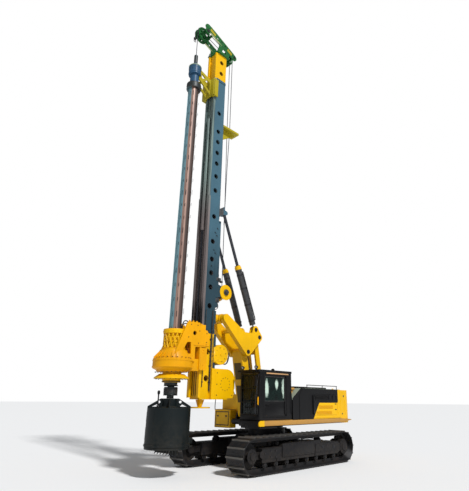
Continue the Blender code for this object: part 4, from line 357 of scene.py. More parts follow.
def build_rubbed_steel():
    """Bare or thinly painted steel: scratches along an axis, rust patches and dark grease."""
    group, source, sink = start_group(
        "rubbed_steel",
        (("Steel", "colour", (0.3, 0.3, 0.3, 1)), ("Dark", "colour", (0.03, 0.03, 0.03, 1)),
         ("Rust", "colour", (0.20, 0.09, 0.04, 1)), ("Rust Amount", "value", 0.3), ("Grease", "value", 0.4),
         ("Stretch", "vector", (30.0, 30.0, 0.8)), ("Base Roughness", "value", 0.45)),
        (("Color", "colour"), ("Roughness", "value"), ("Height", "value")),
    )
    where = add(group, "ShaderNodeTexCoord")
    point = where.outputs["Object"]
    drawn = add(group, "ShaderNodeMapping", {"Vector": point, "Scale": source.outputs["Stretch"]}).outputs[0]
    scratches = noise(group, drawn, 2.0, 6.0, 0.7)
    patches = noise(group, point, 4.5, 7.0, 0.65)
    spots = noise(group, point, 38.0, 4.0, 0.7)
    greasy = maths(group, "MULTIPLY", spread(group, scratches, 0.45, 0.68), source.outputs["Grease"], True)
    base = blend_colour(group, greasy, source.outputs["Steel"], source.outputs["Dark"])
    rusty = maths(group, "MULTIPLY", spread(group, patches, 0.50, 0.72), spread(group, spots, 0.38, 0.62))
    rusty = maths(group, "MULTIPLY", rusty, source.outputs["Rust Amount"], True)
    final = blend_colour(group, rusty, base, source.outputs["Rust"])
    rough = maths(group, "ADD", source.outputs["Base Roughness"], maths(group, "MULTIPLY", rusty, 0.4))
    rough = maths(group, "ADD", rough, maths(group, "MULTIPLY", maths(group, "SUBTRACT", scratches, 0.5), 0.3), True)
    height = maths(group, "ADD", maths(group, "MULTIPLY", scratches, 0.4), maths(group, "MULTIPLY", rusty, 0.5))
    for name, value in (("Color", final), ("Roughness", rough), ("Height", height)):
        group.links.new(value, sink.inputs[name])
    return group


MATERIALS = {}
GROUPS = {}


def start_material(name, metallic=0.0, **sockets):
    made = bpy.data.materials.new(name)
    made.use_nodes = True
    shader = made.node_tree.nodes["Principled BSDF"]
    shader.inputs["Metallic"].default_value = metallic
    for label, value in sockets.items():
        shader.inputs[label.replace("_", " ")].default_value = value
    MATERIALS[name] = made
    return made.node_tree, shader


def connect(tree, shader, group_node, bump=0.3, distance=0.002, colour=None):
    """Feeds a finish group into the shader, its height through a bump."""
    tree.links.new(colour or group_node.outputs["Color"], shader.inputs["Base Color"])
    tree.links.new(group_node.outputs["Roughness"], shader.inputs["Roughness"])
    height = group_node.outputs["Height"]
    relief = add(tree, "ShaderNodeBump", {"Height": height, "Strength": bump, "Distance": distance})
    tree.links.new(relief.outputs["Normal"], shader.inputs["Normal"])


def darker(colour, share):
    return (*(value * share for value in colour[:3]), 1.0)


def weathered_group(tree, colour, shade_share, dust, dust_height, chips, roughness):
    """Weathered paint of one colour as a node."""
    group = add(tree, "ShaderNodeGroup", node_tree=GROUPS["weathered_paint"])
    soil = (*bpy.context.scene.rig_paint.dust, 1)
    for label, value in (("Paint", (*colour[:3], 1)), ("Shade", darker(colour, shade_share)), ("Dust", soil),
                         ("Dust Amount", dust), ("Dust Height", dust_height), ("Chips", chips),
                         ("Gloss Roughness", roughness)):
        group.inputs[label].default_value = value
    return group


def painted_material(name, colour, shade_share=0.72, dust=0.25, dust_height=1.3, chips=0.3, roughness=0.36, coat=0.15):
    tree, shader = start_material(name, Coat_Weight=coat, Coat_Roughness=0.2, Specular_IOR_Level=0.2)
    group = weathered_group(tree, colour, shade_share, dust, dust_height, chips, roughness)
    connect(tree, shader, group)
    return tree, shader, group


def steel_material(name, colour, dark_share=0.3, rust=0.3, grease=0.4, stretch=(30, 30, 0.8), roughness=0.45,
                   metallic=0.6):
    tree, shader = start_material(name, metallic=metallic)
    group = add(tree, "ShaderNodeGroup", node_tree=GROUPS["rubbed_steel"])
    for label, value in (("Steel", (*colour[:3], 1)), ("Dark", darker(colour, dark_share)), ("Rust Amount", rust),
                         ("Grease", grease), ("Stretch", stretch), ("Base Roughness", roughness)):
        group.inputs[label].default_value = value
    connect(tree, shader, group)
    return tree, shader, group


def object_axes(tree):
    """Object coordinates of the shaded point, split."""
    return add(tree, "ShaderNodeSeparateXYZ", {0: add(tree, "ShaderNodeTexCoord").outputs["Object"]})


def mast_material():
    """Blue sides with painted shade low down; the front face is black with painted shade at the foot, brown with grease
    above it and pale at the top.
    """
    paints = bpy.context.scene.rig_paint
    tree, shader, group = painted_material("mast_blue", paints.mast_blue, 0.78, 0.05, 1.0, 0.35, 0.42)
    where = add(tree, "ShaderNodeTexCoord")
    axes = add(tree, "ShaderNodeSeparateXYZ", {0: where.outputs["Object"]})
    facing = add(tree, "ShaderNodeSeparateXYZ", {0: where.outputs["Normal"]})
    front = spread(tree, facing.outputs["Y"], -0.4, -0.7)
    rail = spread(tree, axes.outputs["Y"], -2.575, -2.59)
    greased = maths(tree, "MAXIMUM", front, rail)
    position = where.outputs["Object"]
    stretched = add(tree, "ShaderNodeMapping", {"Vector": position, "Scale": (26.0, 8.0, 0.35)}).outputs[0]
    streaks = noise(tree, stretched, 1.5, 5.0, 0.6)
    height = spread(tree, maths(tree, "ADD", axes.outputs["Z"], maths(tree, "MULTIPLY", streaks, 1.6)), 10.6, 9.0)
    brown = blend_colour(tree, spread(tree, streaks, 0.40, 0.66), (*paints.mast_brown, 1),
                         darker(paints.mast_brown, 0.5))
    pale = blend_colour(tree, spread(tree, streaks, 0.44, 0.58), tint(128, 146, 140), tint(78, 94, 94))
    front_tone = blend_colour(tree, height, pale, brown)
    # Painted shade: the sides darken low down.
    shadowed = spread(tree, maths(tree, "ADD", axes.outputs["Z"], maths(tree, "MULTIPLY", streaks, 1.5)), 8.7, 6.9)
    # The front's foot is black paint, with the painted shade of the side away from the light laid over it.
    black_and_shaded_front = maths(tree, "MULTIPLY", spread(tree, axes.outputs["Z"], 5.3, 4.9), front)
    front_tone = blend_colour(tree, black_and_shaded_front, front_tone, tint(34, 34, 34))
    side = blend_colour(tree, maths(tree, "MULTIPLY", shadowed, 0.86), group.outputs["Color"],
                        darker(paints.mast_blue, 0.28))
    colour = blend_colour(tree, greased, side, front_tone)
    connect(tree, shader, group, colour=colour)


# Share of each ground axis in the direction across the bar, square to the camera's view, so the bar's bands split its
# lit side from its painted shade
ACROSS_X, ACROSS_Y = 0.73, 0.68


def bar_material():
    """Telescopic bar: blue-grey steel on the lit side, then a tan worn strip, then brown darkened as painted shade on
    the side away from the light; the collar and the foot are dark.
    """
    paints = bpy.context.scene.rig_paint
    tree, shader, group = steel_material("kelly_steel", paints.bar_blue, 0.45, 0.18, 0.5, (22, 22, 1.2), 0.48, 0.25)
    where = add(tree, "ShaderNodeTexCoord")
    axes = add(tree, "ShaderNodeSeparateXYZ", {0: where.outputs["Object"]})
    along_x = maths(tree, "MULTIPLY", axes.outputs["X"], ACROSS_X)
    along_y = maths(tree, "MULTIPLY", maths(tree, "SUBTRACT", axes.outputs["Y"], BAR_Y + OUTLINE_SHIFT), ACROSS_Y)
    across = maths(tree, "ADD", along_x, along_y)
    stretched = add(tree, "ShaderNodeMapping", {"Vector": where.outputs["Object"], "Scale": (6.0, 6.0, 0.5)}).outputs[0]
    worn = noise(tree, stretched, 1.4, 6.0, 0.65)
    mottle = spread(tree, worn, 0.42, 0.66)
    tan_tone = blend_colour(tree, mottle, (*paints.bar_tan, 1), tint(122, 92, 84))
    # Painted shade: the far band is brown steel darkened as though the light does not reach it.
    shaded_brown_tone = blend_colour(tree, mottle, tint(80, 64, 58), tint(54, 43, 40))
    colour = blend_colour(tree, spread(tree, across, -0.045, -0.025), group.outputs["Color"], tan_tone)
    colour = blend_colour(tree, spread(tree, across, 0.085, 0.105), colour, shaded_brown_tone)
    ends = maths(tree, "MAXIMUM", spread(tree, axes.outputs["Z"], 13.31, 13.35),
                 spread(tree, axes.outputs["Z"], 3.1, 2.9))
    colour = blend_colour(tree, ends, colour, tint(44, 50, 50))
    connect(tree, shader, group, colour=colour)


def track_material():
    """Crawler shoes: soil-dark steel, worn pale along the outer edges of their lugs."""
    paints = bpy.context.scene.rig_paint
    tree, shader, group = steel_material("track_black", paints.shoe_grey, 0.4, 0.22, 0.5, (3, 14, 14), 0.6, 0.3)
    axes = object_axes(tree)
    from_middle = maths(tree, "ABSOLUTE", maths(tree, "SUBTRACT", axes.outputs["Y"], OUTLINE_SHIFT), 0.0)
    beyond = maths(tree, "MAXIMUM", maths(tree, "SUBTRACT", from_middle, LOOP_HALF_RUN), 0.0)
    rise = maths(tree, "SUBTRACT", axes.outputs["Z"], LOOP_RADIUS)
    reach = maths(tree, "SQRT", maths(tree, "ADD", maths(tree, "MULTIPLY", beyond, beyond),
                                      maths(tree, "MULTIPLY", rise, rise)))
    worn = maths(tree, "MULTIPLY", spread(tree, reach, 0.506, 0.52), 0.75)
    connect(tree, shader, group, colour=blend_colour(tree, worn, group.outputs["Color"], tint(108, 106, 102)))


# Pale reflections on the side panes: centre along and up, half width and half height
GLINTS = ((-1.57, 2.44, 0.13, 0.30), (-1.08, 2.57, 0.09, 0.17), (-0.69, 2.47, 0.15, 0.36), (-1.60, 1.79, 0.07, 0.10))


def glass_material():
    """Dark panes with pale-green reflections that stay in place."""
    paints = bpy.context.scene.rig_paint
    tree, shader = start_material("glass", IOR=1.35, Coat_Weight=0.1, Coat_Roughness=0.03)
    where = add(tree, "ShaderNodeTexCoord").outputs["Object"]
    smear = noise(tree, where, 3.5, 5.0)
    tone = blend_colour(tree, spread(tree, smear, 0.35, 0.7), (*paints.glass_green, 1),
                        darker(paints.glass_green, 0.35))
    axes = add(tree, "ShaderNodeSeparateXYZ", {0: where})
    ripple = maths(tree, "MULTIPLY", noise(tree, where, 9.0, 4.0, 0.6), 0.9)
    glints = None
    for along, height, half_width, half_height in GLINTS:
        u = maths(tree, "DIVIDE", maths(tree, "SUBTRACT", axes.outputs["Y"], along + OUTLINE_SHIFT), half_width)
        v = maths(tree, "DIVIDE", maths(tree, "SUBTRACT", axes.outputs["Z"], height), half_height)
        reach = maths(tree, "SQRT", maths(tree, "ADD", maths(tree, "MULTIPLY", u, u), maths(tree, "MULTIPLY", v, v)))
        glint = spread(tree, maths(tree, "ADD", reach, ripple), 1.45, 1.05)
        glints = glint if glints is None else maths(tree, "MAXIMUM", glints, glint)
    tone = blend_colour(tree, maths(tree, "MULTIPLY", glints, 0.92), tone, tint(206, 228, 212))
    tree.links.new(tone, shader.inputs["Base Color"])
    tree.links.new(maths(tree, "MULTIPLY", smear, 0.12), shader.inputs["Roughness"])
    shader.inputs["Transmission Weight"].default_value = 0.04
    shader.inputs["Alpha"].default_value = 0.96


def house_material():
    """Black panels with a yellow wedge that rises towards the counterweight."""
    paints = bpy.context.scene.rig_paint
    tree, shader, group = painted_material("house_paint", paints.cab_black, 0.55, 0.08, 1.7, 0.12, 0.42, 0.05)
    second = weathered_group(tree, paints.machine_yellow, 0.74, 0.3, 2.0, 0.3, 0.36)
    axes = object_axes(tree)
    edge = maths(tree, "ADD", maths(tree, "MULTIPLY", axes.outputs["Z"], 0.705), 0.89 - 1.50 * 0.705 + OUTLINE_SHIFT)
    behind = maths(tree, "GREATER_THAN", maths(tree, "SUBTRACT", axes.outputs["Y"], edge), 0.0)
    low = maths(tree, "LESS_THAN", axes.outputs["Z"], 2.005)
    rear = maths(tree, "GREATER_THAN", axes.outputs["Y"], 2.44 + OUTLINE_SHIFT)
    wedge = maths(tree, "MAXIMUM", maths(tree, "MULTIPLY", behind, low), rear)
    outside = maths(tree, "GREATER_THAN", maths(tree, "ABSOLUTE", axes.outputs["X"], 0.0), 1.44)
    mask = maths(tree, "MULTIPLY", wedge, outside)
    connect(tree, shader, group, colour=blend_colour(tree, mask, group.outputs["Color"], second.outputs["Color"]))


def finish_surface(tree, shader, tone, roughness, height, strength, distance=0.002):
    """Links a colour, a roughness and a relief to the shader."""
    tree.links.new(tone, shader.inputs["Base Color"])
    shader.inputs["Roughness"].default_value = roughness
    relief = add(tree, "ShaderNodeBump", {"Height": height, "Strength": strength, "Distance": distance})
    tree.links.new(relief.outputs["Normal"], shader.inputs["Normal"])


def seat_material():
    tree, shader = start_material("seat_black", Sheen_Weight=0.3)
    where = add(tree, "ShaderNodeTexCoord").outputs["Object"]
    weave = add(tree, "ShaderNodeTexWave", {"Vector": where, "Scale": 60.0, "Distortion": 1.5}).outputs["Fac"]
    tone = blend_colour(tree, weave, tint(26, 26, 28), tint(52, 52, 56))
    finish_surface(tree, shader, tone, 0.9, weave, 0.4)


def rope_material():
    """Wire rope: strands wound round the rope, as slanting bands."""
    tree, shader = start_material("wire_rope", metallic=0.7)
    where = add(tree, "ShaderNodeTexCoord").outputs["Object"]
    turned = add(tree, "ShaderNodeMapping", {"Vector": where, "Rotation": (0.6, 0.4, 0.0)}).outputs[0]
    strands = add(tree, "ShaderNodeTexWave", {"Vector": turned, "Scale": 22.0, "Distortion": 0.4},
                  bands_direction="Z").outputs["Fac"]
    tone = blend_colour(tree, strands, tint(34, 34, 40), tint(96, 96, 104))
    finish_surface(tree, shader, tone, 0.5, strands, 0.6, 0.004)


def rubber_material(name, colour):
    tree, shader = start_material(name)
    where = add(tree, "ShaderNodeTexCoord").outputs["Object"]
    scuffs = noise(tree, where, 14.0, 6.0, 0.65)
    tone = blend_colour(tree, spread(tree, scuffs, 0.42, 0.72), colour, tint(70, 68, 66))
    finish_surface(tree, shader, tone, 0.5, scuffs, 0.2)
    tree.links.new(maths(tree, "ADD", maths(tree, "MULTIPLY", scuffs, 0.3), 0.42), shader.inputs["Roughness"])


def lens_material():
    tree, shader = start_material("lamp_lens", Coat_Weight=0.6)
    where = add(tree, "ShaderNodeTexCoord").outputs["Object"]
    ribs = add(tree, "ShaderNodeTexWave", {"Vector": where, "Scale": 40.0}).outputs["Fac"]
    tone = blend_colour(tree, ribs, tint(150, 156, 160), tint(220, 226, 230))
    finish_surface(tree, shader, tone, 0.12, ribs, 0.5)


def make_materials():
    paints = bpy.context.scene.rig_paint
    GROUPS["weathered_paint"] = build_weathered_paint()
    GROUPS["rubbed_steel"] = build_rubbed_steel()
    for row in (
        ("rig_yellow", paints.machine_yellow, 0.74, 0.10, 1.4, 0.25, 0.40, 0.08),
        ("drive_orange", paints.drive_orange, 0.70, 0.08, 1.0, 0.3, 0.42, 0.05),
        ("cab_black", paints.cab_black, 0.55, 0.07, 1.7, 0.12, 0.42, 0.05),
        ("head_green", paints.head_green, 0.6, 0.12, 1.0, 0.3, 0.42),
        ("frame_grey", paints.frame_grey, 0.6, 0.12, 0.9, 0.35, 0.55, 0.02),
        ("bucket_black", paints.bucket_slate, 0.55, 0.10, 1.7, 0.5, 0.55, 0.05),
        ("deck_edge", tint(186, 138, 66), 0.62, 0.35, 2.2, 0.4, 0.5, 0.05),
        ("pale_trim", tint(150, 160, 142), 0.75, 0.2, 1.7, 0.2, 0.5, 0.05),
        ("guide_blue", tint(50, 86, 116), 0.7, 0.1, 1.0, 0.4, 0.5, 0.05),
        ("tan_strip", tint(200, 158, 112), 0.75, 0.1, 1.7, 0.2, 0.5, 0.05),
        # Shaded yellow, for the plates of painted shade on the boom's front
        ("boom_front_shade", tint(96, 76, 20), 0.5, 0.2, 1.7, 0.3, 0.5, 0.05),
        ("cream_edge", tint(196, 204, 150), 0.8, 0.1, 1.0, 0.3, 0.5, 0.05),
        ("olive_trim", tint(176, 160, 30), 0.6, 0.1, 1.0, 0.5, 0.5, 0.05),
        ("pale_green", tint(132, 152, 128), 0.7, 0.1, 1.0, 0.4, 0.5, 0.05),
        # Dark of holes and slots, and of the mast's low front strips, which are black with painted shade
        ("dark_hole_and_shade", tint(22, 34, 44), 0.6, 0.1, 1.0, 0.1, 0.6, 0.02),
        ("tail_red", tint(120, 14, 10), 0.7, 0.05, 1.0, 0.05, 0.25, 0.5),
    ):
        painted_material(*row)
    for row in (
        ("worn_edge", tint(104, 102, 98), 0.5, 0.25, 0.3, (3, 14, 14), 0.55, 0.3),
        ("bright_steel", tint(70, 72, 78), 0.5, 0.08, 0.35, (40, 40, 1), 0.25, 0.9),
        ("dark_steel", tint(44, 44, 48), 0.5, 0.25, 0.5, (18, 18, 2), 0.5, 0.5),
    ):
        steel_material(*row)
    house_material()
    track_material()
    mast_material()
    bar_material()
    glass_material()
    seat_material()
    rope_material()
    rubber_material("hose_rubber", tint(30, 30, 32))
    rubber_material("cylinder_black", tint(44, 48, 52))
    lens_material()


# Mesh helpers


def finish_mesh(name, bm, material, body, slot, smooth=30, bevel=0.0, replaced=()):
    """Turns a bmesh into a piece at the origin that rides on a body."""
    bmesh.ops.recalc_face_normals(bm, faces=bm.faces)
    mesh = bpy.data.meshes.new(name)
    bm.to_mesh(mesh)
    bm.free()
    return finish_piece(name, mesh, material, body, slot, smooth, bevel, replaced)


def fitted(name, bm, material, body, slot, smooth=30, bevel=0.0, replaced=()):
    """Finishes a bmesh that was modelled in the machine's own frame."""
    bmesh.ops.translate(bm, vec=Vector((0, OUTLINE_SHIFT, 0)), verts=bm.verts)
    return finish_mesh(name, bm, material, body, slot, smooth, bevel, replaced)


def finish_piece(name, mesh, material, body, slot, smooth=30, bevel=0.0, replaced=()):
    mesh.materials.clear()
    mesh.materials.append(MATERIALS[material])
    mesh.shade_smooth()
    mesh.set_sharp_from_angle(angle=radians(smooth))
    piece = bpy.data.objects.new(name, mesh)
    bpy.context.scene.collection.objects.link(piece)
    if bevel:
        rounded = piece.modifiers.new("edges", "BEVEL")
        rounded.width = bevel
        rounded.segments = 2
        rounded.limit_method = "ANGLE"
        rounded.angle_limit = radians(38)
        rounded.harden_normals = True
    if body:
        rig.ride(piece, body)
    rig.slot(piece, slot)
    if replaced:
        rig.replaces(piece, *replaced)
    return piece


def block(bm, low, high, bevel=0.0, segments=2):
    """Box between two corners."""
    size = [high[i] - low[i] for i in range(3)]
    middle = Vector([(high[i] + low[i]) / 2 for i in range(3)])
    made = bmesh.ops.create_cube(bm, size=1.0, matrix=Matrix.Translation(middle) @ Matrix.Diagonal((*size, 1)))
    if bevel:
        edges = {edge for vert in made["verts"] for edge in vert.link_edges}
        bmesh.ops.bevel(bm, geom=list(edges), offset=bevel, segments=segments, profile=0.5, affect="EDGES", material=-1)
    return made["verts"]


def rod(bm, start, end, radius, sides=12, end_radius=None):
    """Round bar or cone between two points."""
    start, end = Vector(start), Vector(end)
    axis = end - start
    turn = axis.to_track_quat("Z", "Y").to_matrix().to_4x4()
    made = bmesh.ops.create_cone(
        bm, cap_ends=True, segments=sides, radius1=radius, radius2=radius if end_radius is None else end_radius,
        depth=axis.length, matrix=Matrix.Translation((start + end) / 2) @ turn
    )
    return made["verts"]


def prism(bm, outline, low, high, axis="x"):
    """Flat plate of an outline in the side view (y, z), the front one (x, z) or the plan (x, y)."""
    order = {"x": lambda u, v, w: (w, u, v), "y": lambda u, v, w: (u, w, v), "z": lambda u, v, w: (u, v, w)}[axis]
    verts = [bm.verts.new(order(u, v, low)) for u, v in outline]
    face = bm.faces.new(verts)
    raised = bmesh.ops.extrude_face_region(bm, geom=[face])
    moved = [item for item in raised["geom"] if isinstance(item, bmesh.types.BMVert)]
    bmesh.ops.translate(bm, vec=Vector(order(0, 0, high - low)), verts=moved)
    return verts + moved


def hose(name, points, radius, body, material="hose_rubber", slot="cab_black", straight=False):
    """Round hose or rope through its points."""
    curve = bpy.data.curves.new(name, "CURVE")
    curve.dimensions = "3D"
    curve.bevel_depth = radius
    curve.bevel_resolution = 2
    curve.use_fill_caps = True
    spline = curve.splines.new("POLY" if straight else "NURBS")
    spline.points.add(len(points) - 1)
    for target, point in zip(spline.points, points):
        target.co = (*point, 1)
    if not straight:
        spline.order_u = 4
        spline.use_endpoint_u = True
        curve.resolution_u = 6
    curve.materials.append(MATERIALS[material])
    piece = bpy.data.objects.new(name, curve)
    bpy.context.scene.collection.objects.link(piece)
    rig.ride(piece, body)
    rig.slot(piece, slot)
    return piece


def line(name, points, radius, body, material="hose_rubber", slot="cab_black", straight=False):
    """Hose or rope through points of the machine's own frame."""
    return hose(name, [place(*point) for point in points], radius, body, material, slot, straight)


def torus(bm, centre, axis, radius, thickness, sides=28, ring_sides=8):
    """Ring round an axis, spun from a small circle."""
    axis = Vector(axis).normalized()
    turn = axis.to_track_quat("Z", "Y").to_matrix()
    start = Vector(centre) + turn @ Vector((radius, 0, 0))
    across = turn @ Vector((1, 0, 0))
    verts = [bm.verts.new(start + across * (thickness * cos(2 * pi * i / ring_sides)) +
                          axis * (thickness * sin(2 * pi * i / ring_sides))) for i in range(ring_sides)]
    edges = [bm.edges.new((verts[i], verts[(i + 1) % ring_sides])) for i in range(ring_sides)]
    bmesh.ops.spin(bm, geom=verts + edges, cent=Vector(centre), axis=axis, angle=2 * pi, steps=sides, use_merge=True)


def lathe(bm, profile, centre=(0, BAR_Y, 0), axis=(0, 0, 1), steps=28):
    """Closed profile of (radius, height) pairs spun round an axis, the bar's own unless told."""
    axis = Vector(axis).normalized()
    turn = axis.to_track_quat("Z", "Y").to_matrix()
    verts = [bm.verts.new(Vector(centre) + turn @ Vector((radius, 0, height))) for radius, height in profile]
    edges = [bm.edges.new((verts[i], verts[(i + 1) % len(verts)])) for i in range(len(verts))]
    bmesh.ops.spin(bm, geom=verts + edges, cent=Vector(centre), axis=axis, angle=2 * pi, steps=steps, use_merge=True)
    bmesh.ops.remove_doubles(bm, verts=bm.verts, dist=0.00005)


def frame_of(bm, low, high, width, axis="x"):
    """Rectangular ring between two corners; its opening looks along the axis."""
    order = "xyz".index(axis)
    u, v = [i for i in range(3) if i != order]
    for along, across in ((u, v), (v, u)):
        for end in (low, high):
            a, b = list(low), list(high)
            if end is low:
                b[across] = low[across] + width
            else:
                a[across] = high[across] - width
            if along == v:
                a[along] += width
                b[along] -= width
            block(bm, a, b)


# Finishes of the frame's own nodes

NODE_FINISH = {
    "crowd_barrel": "mast_blue", "rope_guide": "olive_trim",
    "deck": "cab_black", "house": "house_paint", "side_door_left": "house_paint", "side_door_right": "house_paint",
    "mast_rod_left": "bright_steel", "mast_rod_right": "bright_steel",
    "mast_barrel_left": "cylinder_black", "mast_barrel_right": "cylinder_black", "luff_barrel": "cylinder_black",
}
PLAIN_NODES = ("glass_front", "glass_rear", "glass_right", "glass_door", "engine_block")


def node_slot(name):
    for part in frame["record"]["subparts"]:
        if part["node"] == name:
            return part["material_slot"]
    return frame["record"]["materials"][0]["slot"]


def dress_node(name, bevel):
    """A merged copy of a node with soft edges stands for it."""
    source = frame["nodes"][name]
    slot = node_slot(name)
    finish = NODE_FINISH.get(name, slot)
    source.data.materials.clear()
    source.data.materials.append(MATERIALS[finish])
    if name in PLAIN_NODES:
        return
    bm = bmesh.new()
    bm.from_mesh(source.data)
    bmesh.ops.remove_doubles(bm, verts=bm.verts, dist=0.00002)
    bmesh.ops.dissolve_limit(bm, angle_limit=radians(0.4), verts=bm.verts, edges=bm.edges)
    mesh = bpy.data.meshes.new(name + "_dressed")
    bm.to_mesh(mesh)
    bm.free()
    body = source["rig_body"]
    finish_piece(name + "_dressed", mesh, finish, body, slot, 34, bevel, (name,))


class RIG_OT_finishes(bpy.types.Operator):
    """Builds the paints and metals and gives each node its finish"""

    bl_idname = "rig.finishes"
    bl_label = "Finishes"

    def execute(self, context):
        make_materials()
        for name in frame["nodes"]:
            if name in REMADE:
                continue
            tracks = name.startswith("track_left") or name.startswith("track_right")
            dress_node(name, 0.0 if tracks else context.scene.rig_size.edge_round)
        return {"FINISHED"}


# Forms remade over their nodes

REMADE = ("head_frame", "kelly_outer", "drive_sleeve", "rotary_drive", "kelly_guide", "bucket", "sheave_front_main",
          "sheave_front_aux", "sheave_rear_main", "sheave_rear_aux")


def between(first, second, share):
    return tuple(a + (b - a) * share for a, b in zip(first, second))


def inside(corners, shares):
    """Points of a four-cornered panel, at shares along its bottom and up its sides."""
    low_near, low_far, high_far, high_near = corners
    return [between(between(low_near, low_far, u), between(high_near, high_far, u), v) for u, v in shares]


def circle(centre, radius, count, start=0.0):
    """Points evenly round a centre, from a start angle."""
    angles = [start + 2 * pi * i / count for i in range(count)]
    return [(centre[0] + radius * cos(angle), centre[1] + radius * sin(angle)) for angle in angles]


def outward(x, y):
    """Level direction from the bar's axis through a place in plan."""
    return Vector((x, y - BAR_Y, 0)).normalized()


def radial_bolts(bm, count, radius, z, bolt, reach=0.012, back=0.0, start=0.0):
    """Six-sided heads that look away from the bar's axis."""
    for x, y in circle((0, BAR_Y), radius, count, start):
        out, spot = outward(x, y), Vector((x, y, z))
        rod(bm, spot - out * back, spot + out * reach, bolt, 6)


def level_bolts(bm, count, radius, z, lift, bolt, start=0.0, gap=0.0):
    """Six-sided heads on a level ring round the bar's axis, with a gap towards the mast."""
    for x, y in circle((0, BAR_Y), radius, count, start):
        if y > BAR_Y and abs(atan2(x, y - BAR_Y)) < gap:
            continue
        rod(bm, (x, y, z), (x, y, z + lift), bolt, 6)


def hoop(bm, z, radius, thickness, sides, ring_sides=8):
    """Round ring about the bar's axis."""
    torus(bm, (0, BAR_Y, z), (0, 0, 1), radius, thickness, sides, ring_sides)


def mirrored_block(bm, way, low, high, bevel=0.0, segments=2):
    low_x, high_x = sorted((way * low[0], way * high[0]))
    return block(bm, (low_x, low[1], low[2]), (high_x, high[1], high[2]), bevel, segments)


def mirrored_prism(bm, way, outline, low, high):
    low, high = sorted((way * low, way * high))
    return prism(bm, outline, low, high)


def mirrored_panel(bm, way, outlines, low, high):
    low, high = sorted((way * low, way * high))
    panel(bm, outlines, low, high)


def mirrored_rod(bm, way, start, end, radius, sides=12, end_radius=None):
    return rod(bm, (way * start[0], start[1], start[2]), (way * end[0], end[1], end[2]), radius, sides, end_radius)


def side_bolts(bm, way, places, low, high, radius, sides=6):
    """Heads on a side face at places of the side view."""
    for y, z in places:
        mirrored_rod(bm, way, (low, y, z), (high, y, z), radius, sides)


def capsule(first, second, radius, count=8):
    """Outline round two centres of the side view."""
    angle = atan2(second[1] - first[1], second[0] - first[0])
    ends = []
    for centre, start in ((first, angle + pi / 2), (second, angle - pi / 2)):
        for i in range(count + 1):
            turn = start + pi * i / count
            ends.append((centre[0] + radius * cos(turn), centre[1] + radius * sin(turn)))
    return ends


def panel(bm, outlines, low, high, turn=None):
    """Plate with windows between two side planes; the first outline is its edge."""
    curve = bpy.data.curves.new("panel", "CURVE")
    curve.dimensions = "2D"
    curve.fill_mode = "BOTH"
    curve.extrude = (high - low) / 2
    for outline in outlines:
        spline = curve.splines.new("POLY")
        spline.points.add(len(outline) - 1)
        for target, (u, v) in zip(spline.points, outline):
            target.co = (u, v, 0, 1)
        spline.use_cyclic_u = True
    holder = bpy.data.objects.new("panel", curve)
    mesh = bpy.data.meshes.new_from_object(holder)
    stand = Matrix(((0, 0, 1, (low + high) / 2), (1, 0, 0, 0), (0, 1, 0, 0), (0, 0, 0, 1)))
    mesh.transform(turn @ stand if turn else stand)
    bm.from_mesh(mesh)
    bmesh.ops.remove_doubles(bm, verts=bm.verts, dist=0.00002)
    bpy.data.objects.remove(holder)
    bpy.data.curves.remove(curve)
    bpy.data.meshes.remove(mesh)


class RIG_OT_head_form(bpy.types.Operator):
    """Remakes the head frame as two round-ended beams on a saddle, joined by cross tubes"""

    bl_idname = "rig.head_form"
    bl_label = "Head frame"

    def execute(self, context):
        holes = [circle(between(FRONT_HEAD, REAR_HEAD, share), 0.055, 12) for share in (0.36, 0.50, 0.64)]
        web = [(-3.335, 15.70), (-2.785, 15.70), (-2.70, 16.05), (-3.30, 16.30)]
        web_window = inside(web, [(0.3, 0.25), (0.7, 0.25), (0.6, 0.6), (0.4, 0.6)])
        head = bmesh.new()
        for way in (-1, 1):
            mirrored_panel(head, way, [capsule(FRONT_HEAD, REAR_HEAD, 0.14), *holes], 0.25, 0.30)
            mirrored_panel(head, way, [capsule((-3.93, 16.50), FRONT_AXLE, 0.115)], 0.256, 0.294)
            mirrored_panel(head, way, [web, web_window], 0.256, 0.294)
            for point in (FRONT_HEAD, REAR_HEAD):
                mirrored_rod(head, way, (0.30, *point), (0.312, *point), 0.075, 24)
        for share, radius in ((0.02, 0.05), (0.22, 0.045), (0.78, 0.045), (0.98, 0.05)):
            spot = between(FRONT_HEAD, REAR_HEAD, share)
            rod(head, (-0.28, *spot), (0.28, *spot), radius, 16)
        for point in (FRONT_AXLE, REAR_AXLE):
            rod(head, (-0.30, *point), (0.30, *point), 0.036, 16)
        block(head, (-0.30, -3.385, 15.7003), (0.30, -2.735, 15.75), 0.006)
        fitted("head_beams", head, "head_green", "mast", "head_green", 30, 0.004, ("head_frame",))
        return {"FINISHED"}


